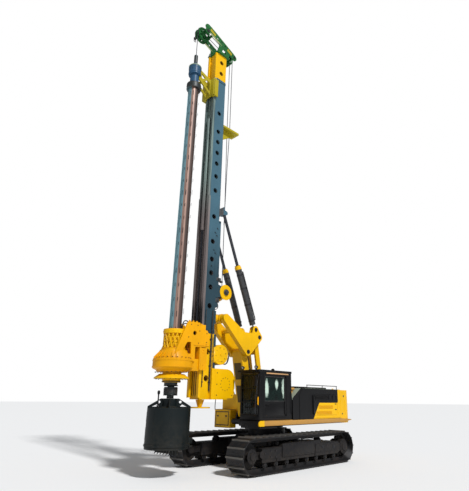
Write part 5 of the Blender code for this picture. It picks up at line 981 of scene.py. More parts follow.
class RIG_OT_sheave_form(bpy.types.Operator):
    """Remakes the four sheaves with a grooved rim, a hub and a web with round windows"""

    bl_idname = "rig.sheave_form"
    bl_label = "Sheaves"

    def execute(self, context):
        sheaves = (("sheave_front_main", 0.0, FRONT_AXLE, 0.30), ("sheave_front_aux", AUX_ROPE[0], FRONT_AXLE, 0.30),
                   ("sheave_rear_main", 0.0, REAR_AXLE, 0.27), ("sheave_rear_aux", AUX_ROPE[0], REAR_AXLE, 0.27))
        for node, x, centre, radius in sheaves:
            sheave = bmesh.new()
            rim = radius - 0.065
            lathe(sheave, [(rim, -0.020), (rim + 0.01, -0.030), (radius - 0.012, -0.045), (radius, -0.045),
                           (radius, -0.034), (radius - 0.035, -0.012), (radius - 0.035, 0.012), (radius, 0.034),
                           (radius, 0.045), (radius - 0.012, 0.045), (rim + 0.01, 0.030), (rim, 0.020)], (x, *centre),
                  (1, 0, 0), 40)
            lathe(sheave, [(0.037, -0.045), (0.070, -0.045), (0.080, -0.030), (0.080, 0.030), (0.070, 0.045),
                           (0.037, 0.045)],
                  (x, *centre), (1, 0, 0), 28)
            middle = (rim + 0.080) / 2
            windows = [circle(spot, (rim - 0.080) / 2 - 0.014, 16) for spot in circle(centre, middle, 6, pi / 6)]
            panel(sheave, [circle(centre, rim + 0.006, 40), circle(centre, 0.074, 24), *windows], x - 0.008, x + 0.008)
            fitted(node + "_cast", sheave, "head_green", node, "head_green", 30, 0.0, (node,))
        return {"FINISHED"}


def slide_plates(bm, way, low, high, pads):
    """Plate beside the mast's rail and the pads that run on the rail's front."""
    mirrored_block(bm, way, (0.293, -3.515, low), (0.353, -3.30, high), 0.004)
    for z in pads:
        mirrored_block(bm, way, (0.18, -3.515, z), (0.28, -3.4213, z + 0.16), 0.002)


class RIG_OT_drive_form(bpy.types.Operator):
    """Remakes the rotary drive with its arms and carriage, and the sleeve with its open cage"""

    bl_idname = "rig.drive_form"
    bl_label = "Rotary drive"

    def execute(self, context):
        drive = bmesh.new()
        lathe(drive, [(0.29, 3.50), (0.42, 3.50), (0.425, 3.47), (0.44, 3.44), (0.52, 3.30), (0.53, 3.25),
                      (0.592, 3.245), (0.60, 3.235), (0.60, 2.97), (0.585, 2.955), (0.50, 2.92), (0.45, 2.86),
                      (0.29, 2.86)], steps=48)
        block(drive, (-0.41, -3.545, 2.96), (0.41, -3.485, 4.37), 0.004)
        block(drive, (-0.375, -3.90, 2.91), (0.375, -3.51, 3.27), 0.004)
        block(drive, (-0.06, -3.535, 3.26), (0.06, -3.378, 3.3597), 0.003)
        corners = [(-4.53, 3.18), (-3.17, 3.18), (-3.17, 4.395), (-4.53, 4.395)]
        edge = inside(corners, [(0.0, 0.09), (0.02, 0.0), (0.585, 0.0), (0.585, 0.37), (0.99, 0.39), (1.0, 0.67),
                                (0.92, 0.82), (0.735, 0.83), (0.69, 1.0), (0.345, 0.985), (0.32, 0.93)])
        window = inside(corners, [(0.185, 0.165), (0.47, 0.19), (0.452, 0.475), (0.355, 0.47)])
        hole = circle(inside(corners, [(0.55, 0.715)])[0], 0.07, 20)
        for way in (-1, 1):
            mirrored_panel(drive, way, [edge, window, hole], 0.375, 0.42)
            slide_plates(drive, way, 2.97, 4.36, (2.96, 4.21))
            mirrored_block(drive, way, (0.323, -3.515, 3.725), (0.3975, -3.31, 3.925))
            for z0, z1, radius in ((3.17, 3.98, 0.095), (3.55, 3.60, 0.115)):
                mirrored_rod(drive, way, (0.20, MOTOR_Y, z0), (0.20, MOTOR_Y, z1), radius, 24)
        fitted("drive_and_carriage", drive, "drive_orange", "carriage", "drive_orange", 30, 0.004, ("rotary_drive",))

        sleeve = bmesh.new()
        lathe(sleeve, [(0.222, 4.13), (0.345, 4.13), (0.355, 4.12), (0.355, 4.00), (0.27, 4.00), (0.27, 3.56),
                       (0.355, 3.56), (0.355, 3.5003), (0.284, 3.5003), (0.284, 2.80), (0.38, 2.80), (0.53, 2.695),
                       (0.53, 2.665), (0.27, 2.665), (0.27, 2.56), (0.222, 2.56)], steps=48)
        for lean, radius in ((-1, 0.334), (1, 0.326)):
            for count in range(16):
                first = 2 * pi * count / 16
                second = first + lean * 2 * pi / 16 * 1.05
                rod(sleeve, (radius * cos(first), BAR_Y + radius * sin(first), 3.54),
                    (radius * cos(second), BAR_Y + radius * sin(second), 4.02), 0.016, 6)
        for count in range(3):
            hoop(sleeve, 3.66 + 0.11 * count, 0.33, 0.010, 40, 6)
        fitted("sleeve_and_cage", sleeve, "rig_yellow", "drive_sleeve", "rig_yellow", 30, 0.003, ("drive_sleeve",))
        return {"FINISHED"}


class RIG_OT_bar_form(bpy.types.Operator):
    """Remakes the outer bar with its three wide ribs and the guide with its windowed arms"""

    bl_idname = "rig.bar_form"
    bl_label = "Bar and guide"

    def execute(self, context):
        bar = bmesh.new()
        outline = []
        for rib in range(3):
            angle = 2 * pi * (rib + 0.858) / 3
            half = 0.0625 / 0.185
            steps = [(-half, 0.185), (-half, 0.2075), (-half / 3, 0.2075), (half / 3, 0.2075), (half, 0.2075),
                     (half, 0.185)]
            steps += [(half + (2 * pi / 3 - 2 * half) * i / 8, 0.185) for i in range(1, 8)]
            outline += [(radius * cos(angle + turn), BAR_Y + radius * sin(angle + turn)) for turn, radius in steps]
        upright = Matrix(((0, 1, 0, 0), (0, 0, 1, 0), (1, 0, 0, 0), (0, 0, 0, 1)))
        panel(bar, [outline, circle((0, BAR_Y), 0.108, 24)], 2.46, 13.58, upright)
        lathe(bar, [(0.108, 13.5805), (0.27, 13.5805), (0.275, 13.575), (0.275, 13.345), (0.27, 13.34),
                    (0.108, 13.34)], steps=32)
        fitted("bar_tube", bar, "kelly_steel", "kelly_outer", "kelly_steel", 25, 0.002, ("kelly_outer",))

        ring = bmesh.new()
        lathe(ring, [(0.112, 14.40), (0.235, 14.40), (0.24, 14.395), (0.24, 14.03), (0.17, 14.03), (0.17, 13.582),
                     (0.112, 13.582)], steps=40)
        for z in (14.10, 14.33):
            lathe(ring, [(0.239, z - 0.02), (0.25, z - 0.015), (0.25, z + 0.015), (0.239, z + 0.02)], steps=40)
        fitted("guide_ring", ring, "guide_blue", "kelly_guide", "mast_blue", 30, 0.003, ("kelly_guide",))
        arms = bmesh.new()
        block(arms, (-0.353, -3.545, 13.40), (0.353, -3.485, 14.20), 0.004)
        corners = [(-4.12, 13.88), (-3.515, 13.45), (-3.515, 14.175), (-4.12, 14.375)]
        windows = [inside(corners, [(0.20, 0.30), (0.52, 0.72), (0.20, 0.78)]),
                   inside(corners, [(0.32, 0.22), (0.90, 0.16), (0.90, 0.76), (0.66, 0.74)])]
        for way in (-1, 1):
            mirrored_panel(arms, way, [corners, *windows], 0.095, 0.145)
            slide_plates(arms, way, 13.40, 14.20, (13.40, 14.04))
        fitted("guide_arms", arms, "olive_trim", "kelly_guide", "mast_blue", 30, 0.003)
        return {"FINISHED"}


class RIG_OT_bucket_form(bpy.types.Operator):
    """Remakes the bucket with its flat top, radial fins and foot band"""

    bl_idname = "rig.bucket_form"
    bl_label = "Bucket"

    def execute(self, context):
        shell = bmesh.new()
        lathe(shell, [(0.0, 2.108), (0.19, 2.108), (0.20, 2.10), (0.20, 1.90), (0.26, 1.85), (0.62, 1.85),
                      (0.63, 1.84), (0.63, 0.89), (0.643, 0.885), (0.643, 0.825), (0.64, 0.82), (0.595, 0.82),
                      (0.595, 1.815), (0.0, 1.815)], steps=56)
        corners = [(0.175, 1.85), (0.627, 1.85), (0.627, 2.108), (0.175, 2.108)]
        edge = inside(corners, [(0.0, -0.1), (1.0, -0.1), (1.0, 0.17), (0.20, 1.0), (0.0, 1.0)])
        window = inside(corners, [(0.30, 0.12), (0.72, 0.12), (0.42, 0.36)])
        hole = circle(inside(corners, [(0.30, 0.62)])[0], 0.038, 14)
        for fin in range(4):
            angle = 2 * pi * (fin + 0.605) / 4 - pi / 2
            panel(shell, [edge, window, hole], -0.015, 0.015,
                  Matrix.Translation((0, BAR_Y, 0)) @ Matrix.Rotation(angle, 4, "Z"))
        for x in (-0.21, 0.21):
            block(shell, (x - 0.025, -3.68, 0.82), (x + 0.025, -3.49, 1.02), 0.004)
            block(shell, (x - 0.025, -3.59, 0.77), (x + 0.025, -3.49, 0.87), 0.004)
        rod(shell, (-0.235, -3.54, 0.82), (0.235, -3.54, 0.82), 0.0197, 16)
        fitted("bucket_shell", shell, "bucket_black", "kelly_inner", "bucket_black", 30, 0.003, ("bucket",))
        return {"FINISHED"}


class RIG_OT_body_forms(bpy.types.Operator):
    """Adds the cheek block and plate behind the cab, the roof slab, the mast's spines and the valve housing"""

    bl_idname = "rig.body_forms"
    bl_label = "Cheek, roof and spines"

    def execute(self, context):
        cheek = bmesh.new()
        prism(cheek, [(-0.26, 1.4706), (0.0997, 1.4706), (0.0997, 2.2603), (0.2797, 2.4803), (0.19, 2.4803),
                      (-0.26, 2.155)], 0.62, 1.46)
        fitted("cheek_block", cheek, "cab_black", "upper", "cab_black", bevel=0.006)
        slab = bmesh.new()
        block(slab, (0.545, -1.97, 2.935), (1.4825, -0.315, 3.010), 0.022, 3)
        fitted("cab_roof", slab, "cab_black", "upper", "cab_black")
        lean = bmesh.new()
        prism(lean, [(-0.32, 2.10), (-0.312, 2.10), (-0.318, 2.93), (-0.3197, 2.93)], 0.60, 1.45)
        fitted("cab_rear_plate", lean, "cab_black", "upper", "cab_black")
        spines = bmesh.new()
        for low, high in ((2.16, 4.14), (5.05, 8.24)):
            block(spines, (-0.205, -2.8347, low), (0.205, -2.715, high), 0.008)
        fitted("mast_spines", spines, "mast_blue", "mast", "mast_blue")
        drum = bmesh.new()
        prism(drum, circle(VALVE, 0.33, 16), -0.262, 0.262)
        fitted("valve_housing", drum, "rig_yellow", "mast", "rig_yellow", bevel=0.006)
        return {"FINISHED"}


# Cab


class RIG_OT_cab_trim(bpy.types.Operator):
    """Adds the cab's guard bars, seals, gutter, mirror, lamps, wiper and handrails"""

    bl_idname = "rig.cab_trim"
    bl_label = "Cab trim"

    def execute(self, context):
        front = -1.90
        bars = bmesh.new()
        for i in range(9):
            x = 0.69 + i * 0.0825
            rod(bars, (x, front - 0.035, 1.62), (x, front - 0.035, 2.86), 0.008, 8)
        for z in (1.64, 2.02, 2.44, 2.84):
            rod(bars, (0.66, front - 0.047, z), (1.38, front - 0.047, z), 0.010, 8)
        for x in (0.67, 1.37):
            for z in (1.64, 2.84):
                rod(bars, (x, front - 0.05, z), (x, front + 0.003, z), 0.012, 8)
        fitted("cab_guard_bars", bars, "cab_black", "upper", "cab_black")

        gutter = bmesh.new()
        block(gutter, (HOUSE_FACE, -1.60, 2.890), (1.483, -0.50, 2.924), 0.004)
        block(gutter, (HOUSE_FACE, -1.60, 2.886), (1.490, -0.50, 2.894), 0.002)
        fitted("door_gutter", gutter, "tan_strip", "upper", "cab_black")

        strip = bmesh.new()
        block(strip, (1.395, front - 0.024, 1.93), (1.425, front - 0.0003, 2.18), 0.008)
        rod(strip, (1.41, front - 0.028, 1.96), (1.41, front - 0.028, 2.15), 0.010, 10)
        fitted("corner_marker", strip, "drive_orange", "upper", "cab_black")

        seals = bmesh.new()
        frame_of(seals, (0.652, front - 0.008, 1.642), (1.388, front - 0.0003, 2.908), 0.022, "y")
        frame_of(seals, (0.556, -1.82, 2.01), (0.5697, -0.60, 2.91), 0.02, "x")
        fitted("cab_seals", seals, "hose_rubber", "upper", "cab_black", bevel=0.003)

        door = bmesh.new()
        frame_of(door, (HOUSE_FACE, -1.675, 2.045), (1.478, -0.70, 2.81), 0.020, "x")
        fitted("door_seal", door, "hose_rubber", "cab_door", "cab_black", bevel=0.003)
        skin = bmesh.new()
        prism(skin, [(-1.66, 1.62), (-0.72, 1.62), (-0.72, 1.98), (-1.40, 1.98), (-1.66, 1.86)], HOUSE_FACE, 1.476)
        bmesh.ops.bevel(skin, geom=skin.edges[:], offset=0.003, segments=2, profile=0.5, affect="EDGES", material=-1)
        rod(skin, (1.495, -1.62, 1.93), (1.495, -1.46, 1.93), 0.009, 10)
        for y in (-1.61, -1.47):
            rod(skin, (HOUSE_FACE, y, 1.93), (1.497, y, 1.93), 0.008, 10)
        block(skin, (HOUSE_FACE, -1.64, 1.90), (1.474, -1.44, 1.96), 0.001, 1)
        fitted("door_panel_and_handle", skin, "cab_black", "cab_door", "cab_black")

        line("cab_corner_rail", [(1.452, -1.915, 2.86), (1.44, -1.975, 2.80), (1.40, -1.985, 2.35),
                                 (1.34, -1.985, 1.80), (1.33, -1.965, 1.66), (1.33, -1.90, 1.62)], 0.010, "upper",
             "bright_steel")
        line("cab_rear_rail", [(1.475, -0.37, 1.66), (1.512, -0.37, 1.70), (1.512, -0.37, 2.30), (1.475, -0.37, 2.34)],
             0.010, "upper", "cab_black")

        mirror = bmesh.new()
        block(mirror, (1.36, -2.115, 2.50), (1.50, -2.075, 2.80), 0.015, 3)
        rod(mirror, (1.43, -2.08, 2.65), (1.43, -1.985, 2.68), 0.012, 10)
        fitted("mirror", mirror, "cab_black", "upper", "cab_black")
        face = bmesh.new()
        block(face, (1.372, -2.0752, 2.515), (1.488, -2.0725, 2.785), 0.001, 1)
        fitted("mirror_glass", face, "lamp_lens", "upper", "glass")

        for name, x, y, z, ahead in (("lamp_left", 1.33, -1.93, 3.035, -1), ("lamp_right", 0.72, -1.93, 3.035, -1),
                                     ("lamp_rear", 0.72, -0.45, 3.035, 1)):
            work_lamp(name, (x, y, z), (0, ahead, -0.25), "upper")

        wiper = bmesh.new()
        rod(wiper, (1.02, front - 0.010, 1.70), (1.16, front - 0.012, 2.34), 0.006, 8)
        rod(wiper, (1.08, front - 0.006, 1.98), (1.24, front - 0.006, 2.56), 0.005, 6)
        rod(wiper, (1.02, front + 0.002, 1.70), (1.02, front - 0.018, 1.70), 0.018, 12)
        fitted("wiper", wiper, "dark_steel", "upper", "cab_black")

        roof = bmesh.new()
        block(roof, (0.72, -1.30, 3.0003), (1.30, -0.72, 3.022), 0.010)
        for i in range(4):
            block(roof, (0.62 + i * 0.24, -1.84, 3.0003), (0.66 + i * 0.24, -1.40, 3.008), 0.004)
        block(roof, (0.535, -1.955, 2.945), (1.487, -1.9705, 2.975), 0.003, 1)
        fitted("roof_hatch", roof, "cab_black", "upper", "cab_black")

        controls = bmesh.new()
        for low, high in (((0.80, -1.20, 1.90), (0.88, -0.86, 2.10)), ((1.24, -1.20, 1.90), (1.32, -0.86, 2.10))):
            block(controls, low, high, 0.02)
        block(controls, (0.66, -1.70, 1.54), (0.78, -1.50, 2.14), 0.02)
        block(controls, (0.68, -1.735, 2.12), (0.90, -1.705, 2.28), 0.01)
        for x in (0.84, 1.28):
            rod(controls, (x, -1.14, 2.10), (x, -1.17, 2.24), 0.010, 10)
            rod(controls, (x, -1.168, 2.22), (x, -1.176, 2.30), 0.022, 12, 0.017)
        for x in (0.95, 1.12):
            rod(controls, (x, -1.62, 1.53), (x, -1.55, 1.82), 0.010, 8)
            block(controls, (x - 0.04, -1.68, 1.525), (x + 0.04, -1.56, 1.545), 0.005)
        fitted("cab_controls", controls, "seat_black", "upper", "seat_black")
        return {"FINISHED"}


def work_lamp(name, at, ahead, body):
    """Round lamp on a small bracket, its lens looking ahead."""
    at, ahead = Vector(at), Vector(ahead).normalized()
    middle = at + Vector((0, 0, 0.045))
    housing = bmesh.new()
    lathe(housing, [(0.0, -0.05), (0.035, -0.05), (0.058, 0.0), (0.058, 0.03), (0.048, 0.03), (0.048, 0.012),
                    (0.0, 0.012)],
          middle, ahead, 20)
    block(housing, at + Vector((-0.02, -0.02, -0.035)), at + Vector((0.02, 0.02, 0.01)), 0.004)
    fitted(name + "_housing", housing, "cab_black", body, "cab_black")
    lens = bmesh.new()
    lathe(lens, [(0.0, 0.0125), (0.047, 0.0125), (0.047, 0.020), (0.03, 0.027), (0.0, 0.029)], middle, ahead, 20)
    fitted(name + "_lens", lens, "lamp_lens", body, "glass")


# Engine house and counterweight


class RIG_OT_house_trim(bpy.types.Operator):
    """Adds the house's slats, latches, slope plates, rails, vents, exhaust and counterweight details"""

    bl_idname = "rig.house_trim"
    bl_label = "House trim"

    def execute(self, context):
        trims = bmesh.new()
        wedges = bmesh.new()
        for way in (-1, 1):
            mirrored_block(trims, way, (1.06, 0.44, 2.4803), (1.462, 2.552, 2.488), 0.002, 1)
            for outline in ([(0.90, 1.504), (2.552, 1.504), (2.552, 1.56), (0.94, 1.56)],
                            [(2.40, 1.56), (2.552, 1.56), (2.552, 2.04), (2.40, 2.04)]):
                mirrored_prism(wedges, way, outline, HOUSE_FACE, 1.476)
        fitted("roof_edges", trims, "pale_trim", "upper", "cab_black")
        fitted("side_wedges", wedges, "rig_yellow", "upper", "rig_yellow", bevel=0.002)

        slope = bmesh.new()
        prism(slope, [(-0.262, 2.158), (0.186, 2.483), (0.184, 2.487), (-0.266, 2.162)], 0.64, 1.452)
        prism(slope, [(-0.2603, 2.10), (-0.2603, 2.158), (-0.266, 2.162), (-0.266, 2.10)], 0.64, 1.452)
        fitted("slope_plate", slope, "pale_trim", "upper", "cab_black")
        tank = bmesh.new()
        block(tank, (0.90, -0.14, 2.42), (1.30, 0.06, 2.50), 0.03, 3)
        rod(tank, (1.0, -0.04, 2.50), (1.0, -0.04, 2.53), 0.035, 16)
        block(tank, (0.96, -0.16, 2.22), (1.24, 0.02, 2.43), 0.01)
        fitted("washer_tank", tank, "deck_edge", "upper", "cab_black")

        for name, way in (("side_door_left", 1), ("side_door_right", -1)):
            face = way * HOUSE_FACE
            fins = bmesh.new()
            for middle, front, rear in ((1.6765, 1.06, 2.02), (1.8676, 1.20, 2.10)):
                for i in range(5):
                    tilted_slat(fins, face, way, 0.013, front, rear, middle - 0.050 + i * 0.025, 0.014)
            fitted(name + "_fins", fins, "rig_yellow", name, "rig_yellow", 20)
            grille = bmesh.new()
            for i in range(6):
                tilted_slat(grille, face, way, 0.012, 0.98, 1.80, 2.122 + i * 0.026, 0.018)
            for front, rear in ((0.95, 1.83), (1.86, 2.08), (2.10, 2.32)):
                frame_of(grille, corner_low(face, way, 0.0085, front, 2.095),
                         corner_high(face, way, 0.0085, rear, 2.28), 0.02, "x")
            fitted(name + "_grille", grille, "cab_black", name, "rig_yellow", 20)
            latch = bmesh.new()
            for z in (1.772, 1.965):
                mirrored_block(latch, way, (HOUSE_FACE, 2.22, z - 0.014), (HOUSE_FACE + 0.008, 2.32, z + 0.014), 0.003)
                mirrored_rod(latch, way, (HOUSE_FACE + 0.008, 2.25, z), (HOUSE_FACE + 0.014, 2.25, z), 0.010)
            side_bolts(latch, way, [(y, 2.05) for y in (1.0, 1.4, 1.82, 2.09, 2.30)], HOUSE_FACE, HOUSE_FACE + 0.006,
                       0.014)
            fitted(name + "_latches", latch, "dark_steel", name, "rig_yellow")

        lid = bmesh.new()
        for i in range(11):
            y = 0.82 + i * 0.07
            block(lid, (-0.62, y, 2.5503), (0.62, y + 0.028, 2.566), 0.004, 1)
        frame_of(lid, (-0.66, 0.78, 2.5503), (0.66, 1.60, 2.572), 0.03, "z")
        for x in (-0.75, 0.75):
            block(lid, (x - 0.16, 1.72, 2.5503), (x + 0.16, 2.12, 2.556), 0.002, 1)
        fitted("lid_vents", lid, "cab_black", "hood_lid", "cab_black")
        grips = bmesh.new()
        for x in (-0.5, 0.5):
            rod(grips, (x - 0.09, 0.535, 2.545), (x + 0.09, 0.535, 2.545), 0.009, 10)
            for end in (-0.09, 0.09):
                rod(grips, (x + end, 0.525, 2.52), (x + end, 0.538, 2.55), 0.008, 8)
        fitted("lid_grips", grips, "bright_steel", "hood_lid", "cab_black")

        stack = bmesh.new()
        lathe(stack, [(0.055, 0.0), (0.075, 0.0), (0.075, 0.012), (0.058, 0.02), (0.058, 0.13), (0.050, 0.135),
                      (0.050, 0.0)],
              (-1.22, 0.36, 2.4803), (0, 0, 1), 20)
        fitted("exhaust", stack, "dark_steel", "upper", "cab_black")
        rails = bmesh.new()
        for x in (-1.40, 1.40):
            for y in (0.62, 1.55, 2.48):
                rod(rails, (x, y, 2.488), (x, y, 2.60), 0.012, 8)
            rod(rails, (x, 0.60, 2.60), (x, 2.50, 2.60), 0.012, 8)
        fitted("roof_rails", rails, "cab_black", "upper", "cab_black")

        weight = bmesh.new()
        for x in (-0.85, 0.85):
            torus(weight, (x, 3.02, 2.475), (1, 0, 0), 0.055, 0.016, 20, 8)
        for way in (-1, 1):
            for y, z0, z1 in ((2.60, 1.56, 2.40), (2.90, 1.60, 2.12)):
                mirrored_block(weight, way, (HOUSE_FACE, y, z0), (1.4745, y + 0.03, z1), 0.001, 1)
        fitted("counterweight_ribs", weight, "rig_yellow", "upper", "rig_yellow")
        holes = bmesh.new()
        for way in (-1, 1):
            side_bolts(holes, way, [(2.83, 2.25)], 1.4705, 1.4735, 0.035, 16)
            side_bolts(holes, way, [(2.70, 1.62)], 1.4705, 1.4735, 0.03, 16)
            mirrored_rod(holes, way, (0.93, 3.3705, 2.20), (0.93, 3.3735, 2.20), 0.05, 16)
        fitted("counterweight_holes", holes, "hose_rubber", "upper", "rig_yellow")
        for way, name in ((-1, "tail_right"), (1, "tail_left")):
            tail = bmesh.new()
            block(tail, (way * 0.72 - 0.09, 3.3703, 2.16), (way * 0.72 + 0.09, 3.392, 2.24), 0.010)
            fitted(name, tail, "tail_red", "upper", "rig_yellow")
        return {"FINISHED"}


def corner_low(face, way, reach, y, z):
    return (min(face, face + way * reach), y, z)


def corner_high(face, way, reach, y, z):
    return (max(face, face + way * reach), y, z)


def tilted_slat(bm, face, way, reach, front, rear, z, height):
    """Louvre slat that leans out from a face, thin at its edge."""
    out = face + way * reach
    corners = [(face, z), (face, z + height * 0.25), (out, z - height * 0.15), (out, z - height * 0.5)]
    verts = [[bm.verts.new((x, y, level)) for x, level in corners] for y in (front, rear)]
    for i in range(4):
        j = (i + 1) % 4
        bm.faces.new((verts[0][i], verts[0][j], verts[1][j], verts[1][i]))
    bm.faces.new(verts[0])
    bm.faces.new(list(reversed(verts[1])))


class RIG_OT_deck_trim(bpy.types.Operator):
    """Adds the deck's edge strips, its rounded front corner, the tank's cap, step treads and handrail"""

    bl_idname = "rig.deck_trim"
    bl_label = "Deck trim"

    def execute(self, context):
        strip = bmesh.new()
        block(strip, (1.5003, -1.72, 1.322), (1.512, 2.50, 1.466), 0.003)
        block(strip, (1.440, -1.72, DECK_TOP), (1.500, -0.34, 1.478), 0.002, 1)
        prism(strip, [(2.50, 1.322), (2.565, 1.330), (2.9, 1.352), (3.25, 1.392), (3.25, 1.418), (2.50, 1.462)],
              HOUSE_FACE, 1.508)
        fitted("deck_strip", strip, "deck_edge", "upper", "cab_black", bevel=0.002)
        corner = bmesh.new()
        outline = [(-1.722, 1.312), (-1.722, 1.476), (-1.86, 1.476)]
        outline += circle((-1.86, 1.366), 0.11, 24, pi / 2)[1:7]
        outline += [(-1.965, 1.33), (-1.94, 1.312)]
        prism(corner, outline, 1.47, 1.518)
        fitted("deck_corner", corner, "rig_yellow", "upper", "rig_yellow", bevel=0.008)
        skirt = bmesh.new()
        block(skirt, (0.70, -1.956, 1.25), (1.47, -1.932, 1.468), 0.006)
        for i in range(8):
            block(skirt, (0.76 + i * 0.085, -1.964, 1.29), (0.80 + i * 0.085, -1.9555, 1.42), 0.003, 1)
        block(skirt, (1.38, -1.93, 1.245), (1.49, -1.10, 1.2997), 0.006)
        fitted("deck_skirt", skirt, "cab_black", "upper", "cab_black")

        box_x = (-1.45, -0.62)
        tank = bmesh.new()
        rod(tank, (-1.20, -0.25, 2.2803), (-1.20, -0.25, 2.32), 0.06, 20)
        rod(tank, (-1.20, -0.25, 2.32), (-1.20, -0.25, 2.335), 0.045, 6)
        fitted("tank_cap", tank, "dark_steel", "upper", "rig_yellow")
        treads = bmesh.new()
        for i in range(5):
            y = -1.17 + i * 0.055
            block(treads, (box_x[0] + 0.05, y, 1.7603), (box_x[1] - 0.05, y + 0.025, 1.7683), 0.002, 1)
        for i in range(9):
            y = -0.80 + i * 0.09
            block(treads, (box_x[0] + 0.05, y, 2.2803), (-1.30, y + 0.03, 2.287), 0.002, 1)
        frame_of(treads, (box_x[0] + 0.07, -1.2085, 1.24), (box_x[1] - 0.07, -1.2003, 1.70), 0.025, "y")
        fitted("step_treads", treads, "dark_steel", "upper", "rig_yellow")
        line("step_rail", [(-1.47, -1.16, 1.74), (-1.51, -1.16, 1.80), (-1.51, -1.10, 2.50), (-1.51, -0.95, 2.62),
                           (-1.51, -0.25, 2.62), (-1.47, -0.20, 2.24)], 0.014, "upper", "cab_black")
        latches = bmesh.new()
        for x in (-1.25, -0.82):
            block(latches, (x - 0.04, -1.216, 1.52), (x + 0.04, -1.2085, 1.57), 0.003)
            rod(latches, (x, -1.216, 1.545), (x, -1.224, 1.545), 0.012, 12)
        fitted("box_latches", latches, "dark_steel", "upper", "rig_yellow")
        return {"FINISHED"}


# Crawlers


class RIG_OT_track_trim(bpy.types.Operator):
    """Adds panels, bolts, hub caps, roller ends, shoe lugs and travel hoses to both crawlers"""

    bl_idname = "rig.track_trim"
    bl_label = "Crawler trim"

    def execute(self, context):
        for way, name in ((1, "left"), (-1, "right")):
            panels = bmesh.new()
            face = TRACK_FACE
            mirrored_block(panels, way, (face + 0.0003, -1.07, 0.42), (face + 0.030, 0.54, 0.80), 0.012)
            mirrored_prism(panels, way, [(0.66, 0.43), (2.0, 0.43), (2.10, 0.50), (2.10, 0.62), (1.98, 0.70),
                                         (0.66, 0.70)],
                           face + 0.0003, face + 0.016)
            mirrored_prism(panels, way, [(-1.98, 0.44), (-1.20, 0.40), (-1.20, 0.70), (-1.90, 0.70), (-2.08, 0.62),
                                         (-2.08, 0.50)],
                           face + 0.0003, face + 0.016)
            for y in (-1.34, 0.60):
                mirrored_prism(panels, way, [(y, 0.345), (y + 0.10, 0.345), (y + 0.07, 0.42), (y + 0.03, 0.42)],
                               face - 0.01, face + 0.026)
            fitted("track_panels_" + name, panels, "frame_grey", "undercarriage", "frame_grey", bevel=0.005)
            bolts = bmesh.new()
            cover = [(-0.98 + i * 0.172, z) for i in range(10) for z in (0.46, 0.76)]
            front_plate = [(0.74 + i * 0.21, z) for i in range(6) for z in (0.465, 0.665)]
            rear_plate = [(-1.86, 0.58), (-1.62, 0.63), (-1.62, 0.48), (-1.38, 0.63), (-1.38, 0.46)]
            side_bolts(bolts, way, cover, face + 0.029, face + 0.040, 0.014)
            side_bolts(bolts, way, front_plate, face + 0.015, face + 0.025, 0.012)
            side_bolts(bolts, way, rear_plate, face + 0.015, face + 0.034, 0.022, 12)
            for y, z, r in ((1.06, 0.58, 0.05), (1.30, 0.60, 0.035), (1.72, 0.56, 0.06)):
                mirrored_rod(bolts, way, (face + 0.015, y, z), (face + 0.024, y, z), r, 20)
                mirrored_rod(bolts, way, (face + 0.024, y, z), (face + 0.030, y, z), r * 0.55, 20)
            fitted("track_bolts_" + name, bolts, "dark_steel", "undercarriage", "frame_grey")
            ends = bmesh.new()
            for i in range(8):
                y = -1.80 + 3.60 * i / 7
                mirrored_rod(ends, way, (face - 0.062, y, 0.272), (face - 0.036, y, 0.272), 0.070, 16, 0.055)
                mirrored_rod(ends, way, (face - 0.036, y, 0.272), (face - 0.026, y, 0.272), 0.020, 6)
            for y in (-1.12, 1.12):
                mirrored_rod(ends, way, (1.5003, y, 0.804), (1.53, y, 0.804), 0.055, 16, 0.045)
            fitted("roller_ends_" + name, ends, "track_black", "undercarriage", "frame_grey")
            hubs = bmesh.new()
            lathe(hubs, [(0.0, 0.0), (0.19, 0.0), (0.20, 0.012), (0.20, 0.03), (0.17, 0.045), (0.11, 0.05),
                         (0.10, 0.075), (0.0, 0.08)], (way * 1.6053, -LOOP_HALF_RUN, LOOP_RADIUS), (way, 0, 0), 28)
            side_bolts(hubs, way, circle((-LOOP_HALF_RUN, LOOP_RADIUS), 0.145, 8), 1.6553, 1.668, 0.013)
            fitted("idler_cap_" + name, hubs, "frame_grey", "undercarriage", "frame_grey")
            drive = bmesh.new()
            lathe(drive, [(0.0, 0.0), (0.24, 0.0), (0.25, 0.015), (0.245, 0.05), (0.16, 0.085), (0.15, 0.11),
                          (0.06, 0.12), (0.0, 0.12)], (way * 1.6103, LOOP_HALF_RUN, LOOP_RADIUS), (way, 0, 0), 32)
            side_bolts(drive, way, circle((LOOP_HALF_RUN, LOOP_RADIUS), 0.205, 12), 1.670, 1.688, 0.014)
            fitted("final_drive_cap_" + name, drive, "frame_grey", "undercarriage", "frame_grey")
            shoe_bolts(way, name)
            line("travel_hose_a_" + name, [(way * 0.78, 1.0, 0.78), (way * 0.95, 1.5, 0.86), (way * 1.12, 1.9, 0.72),
                                           (way * 1.18, 2.16, 0.60)], 0.018, "undercarriage")
            line("travel_hose_b_" + name, [(way * 0.74, 0.98, 0.72), (way * 0.92, 1.5, 0.80), (way * 1.10, 1.9, 0.66),
                                           (way * 1.18, 2.16, 0.52)], 0.018, "undercarriage")
        return {"FINISHED"}


def loop_frame(along):
    """Place on the crawler's loop (its y and the way out), a length from the front end of its bottom run."""
    run, turn = 2 * LOOP_HALF_RUN, pi * LOOP_RADIUS
    if along < run:
        y, angle = along - LOOP_HALF_RUN, 0.0
    elif along < run + turn:
        y, angle = LOOP_HALF_RUN, (along - run) / LOOP_RADIUS
    elif along < 2 * run + turn:
        y, angle = LOOP_HALF_RUN - (along - run - turn), pi
    else:
        y, angle = -LOOP_HALF_RUN, pi + (along - 2 * run - turn) / LOOP_RADIUS
    return y, Vector((0, sin(angle), -cos(angle)))


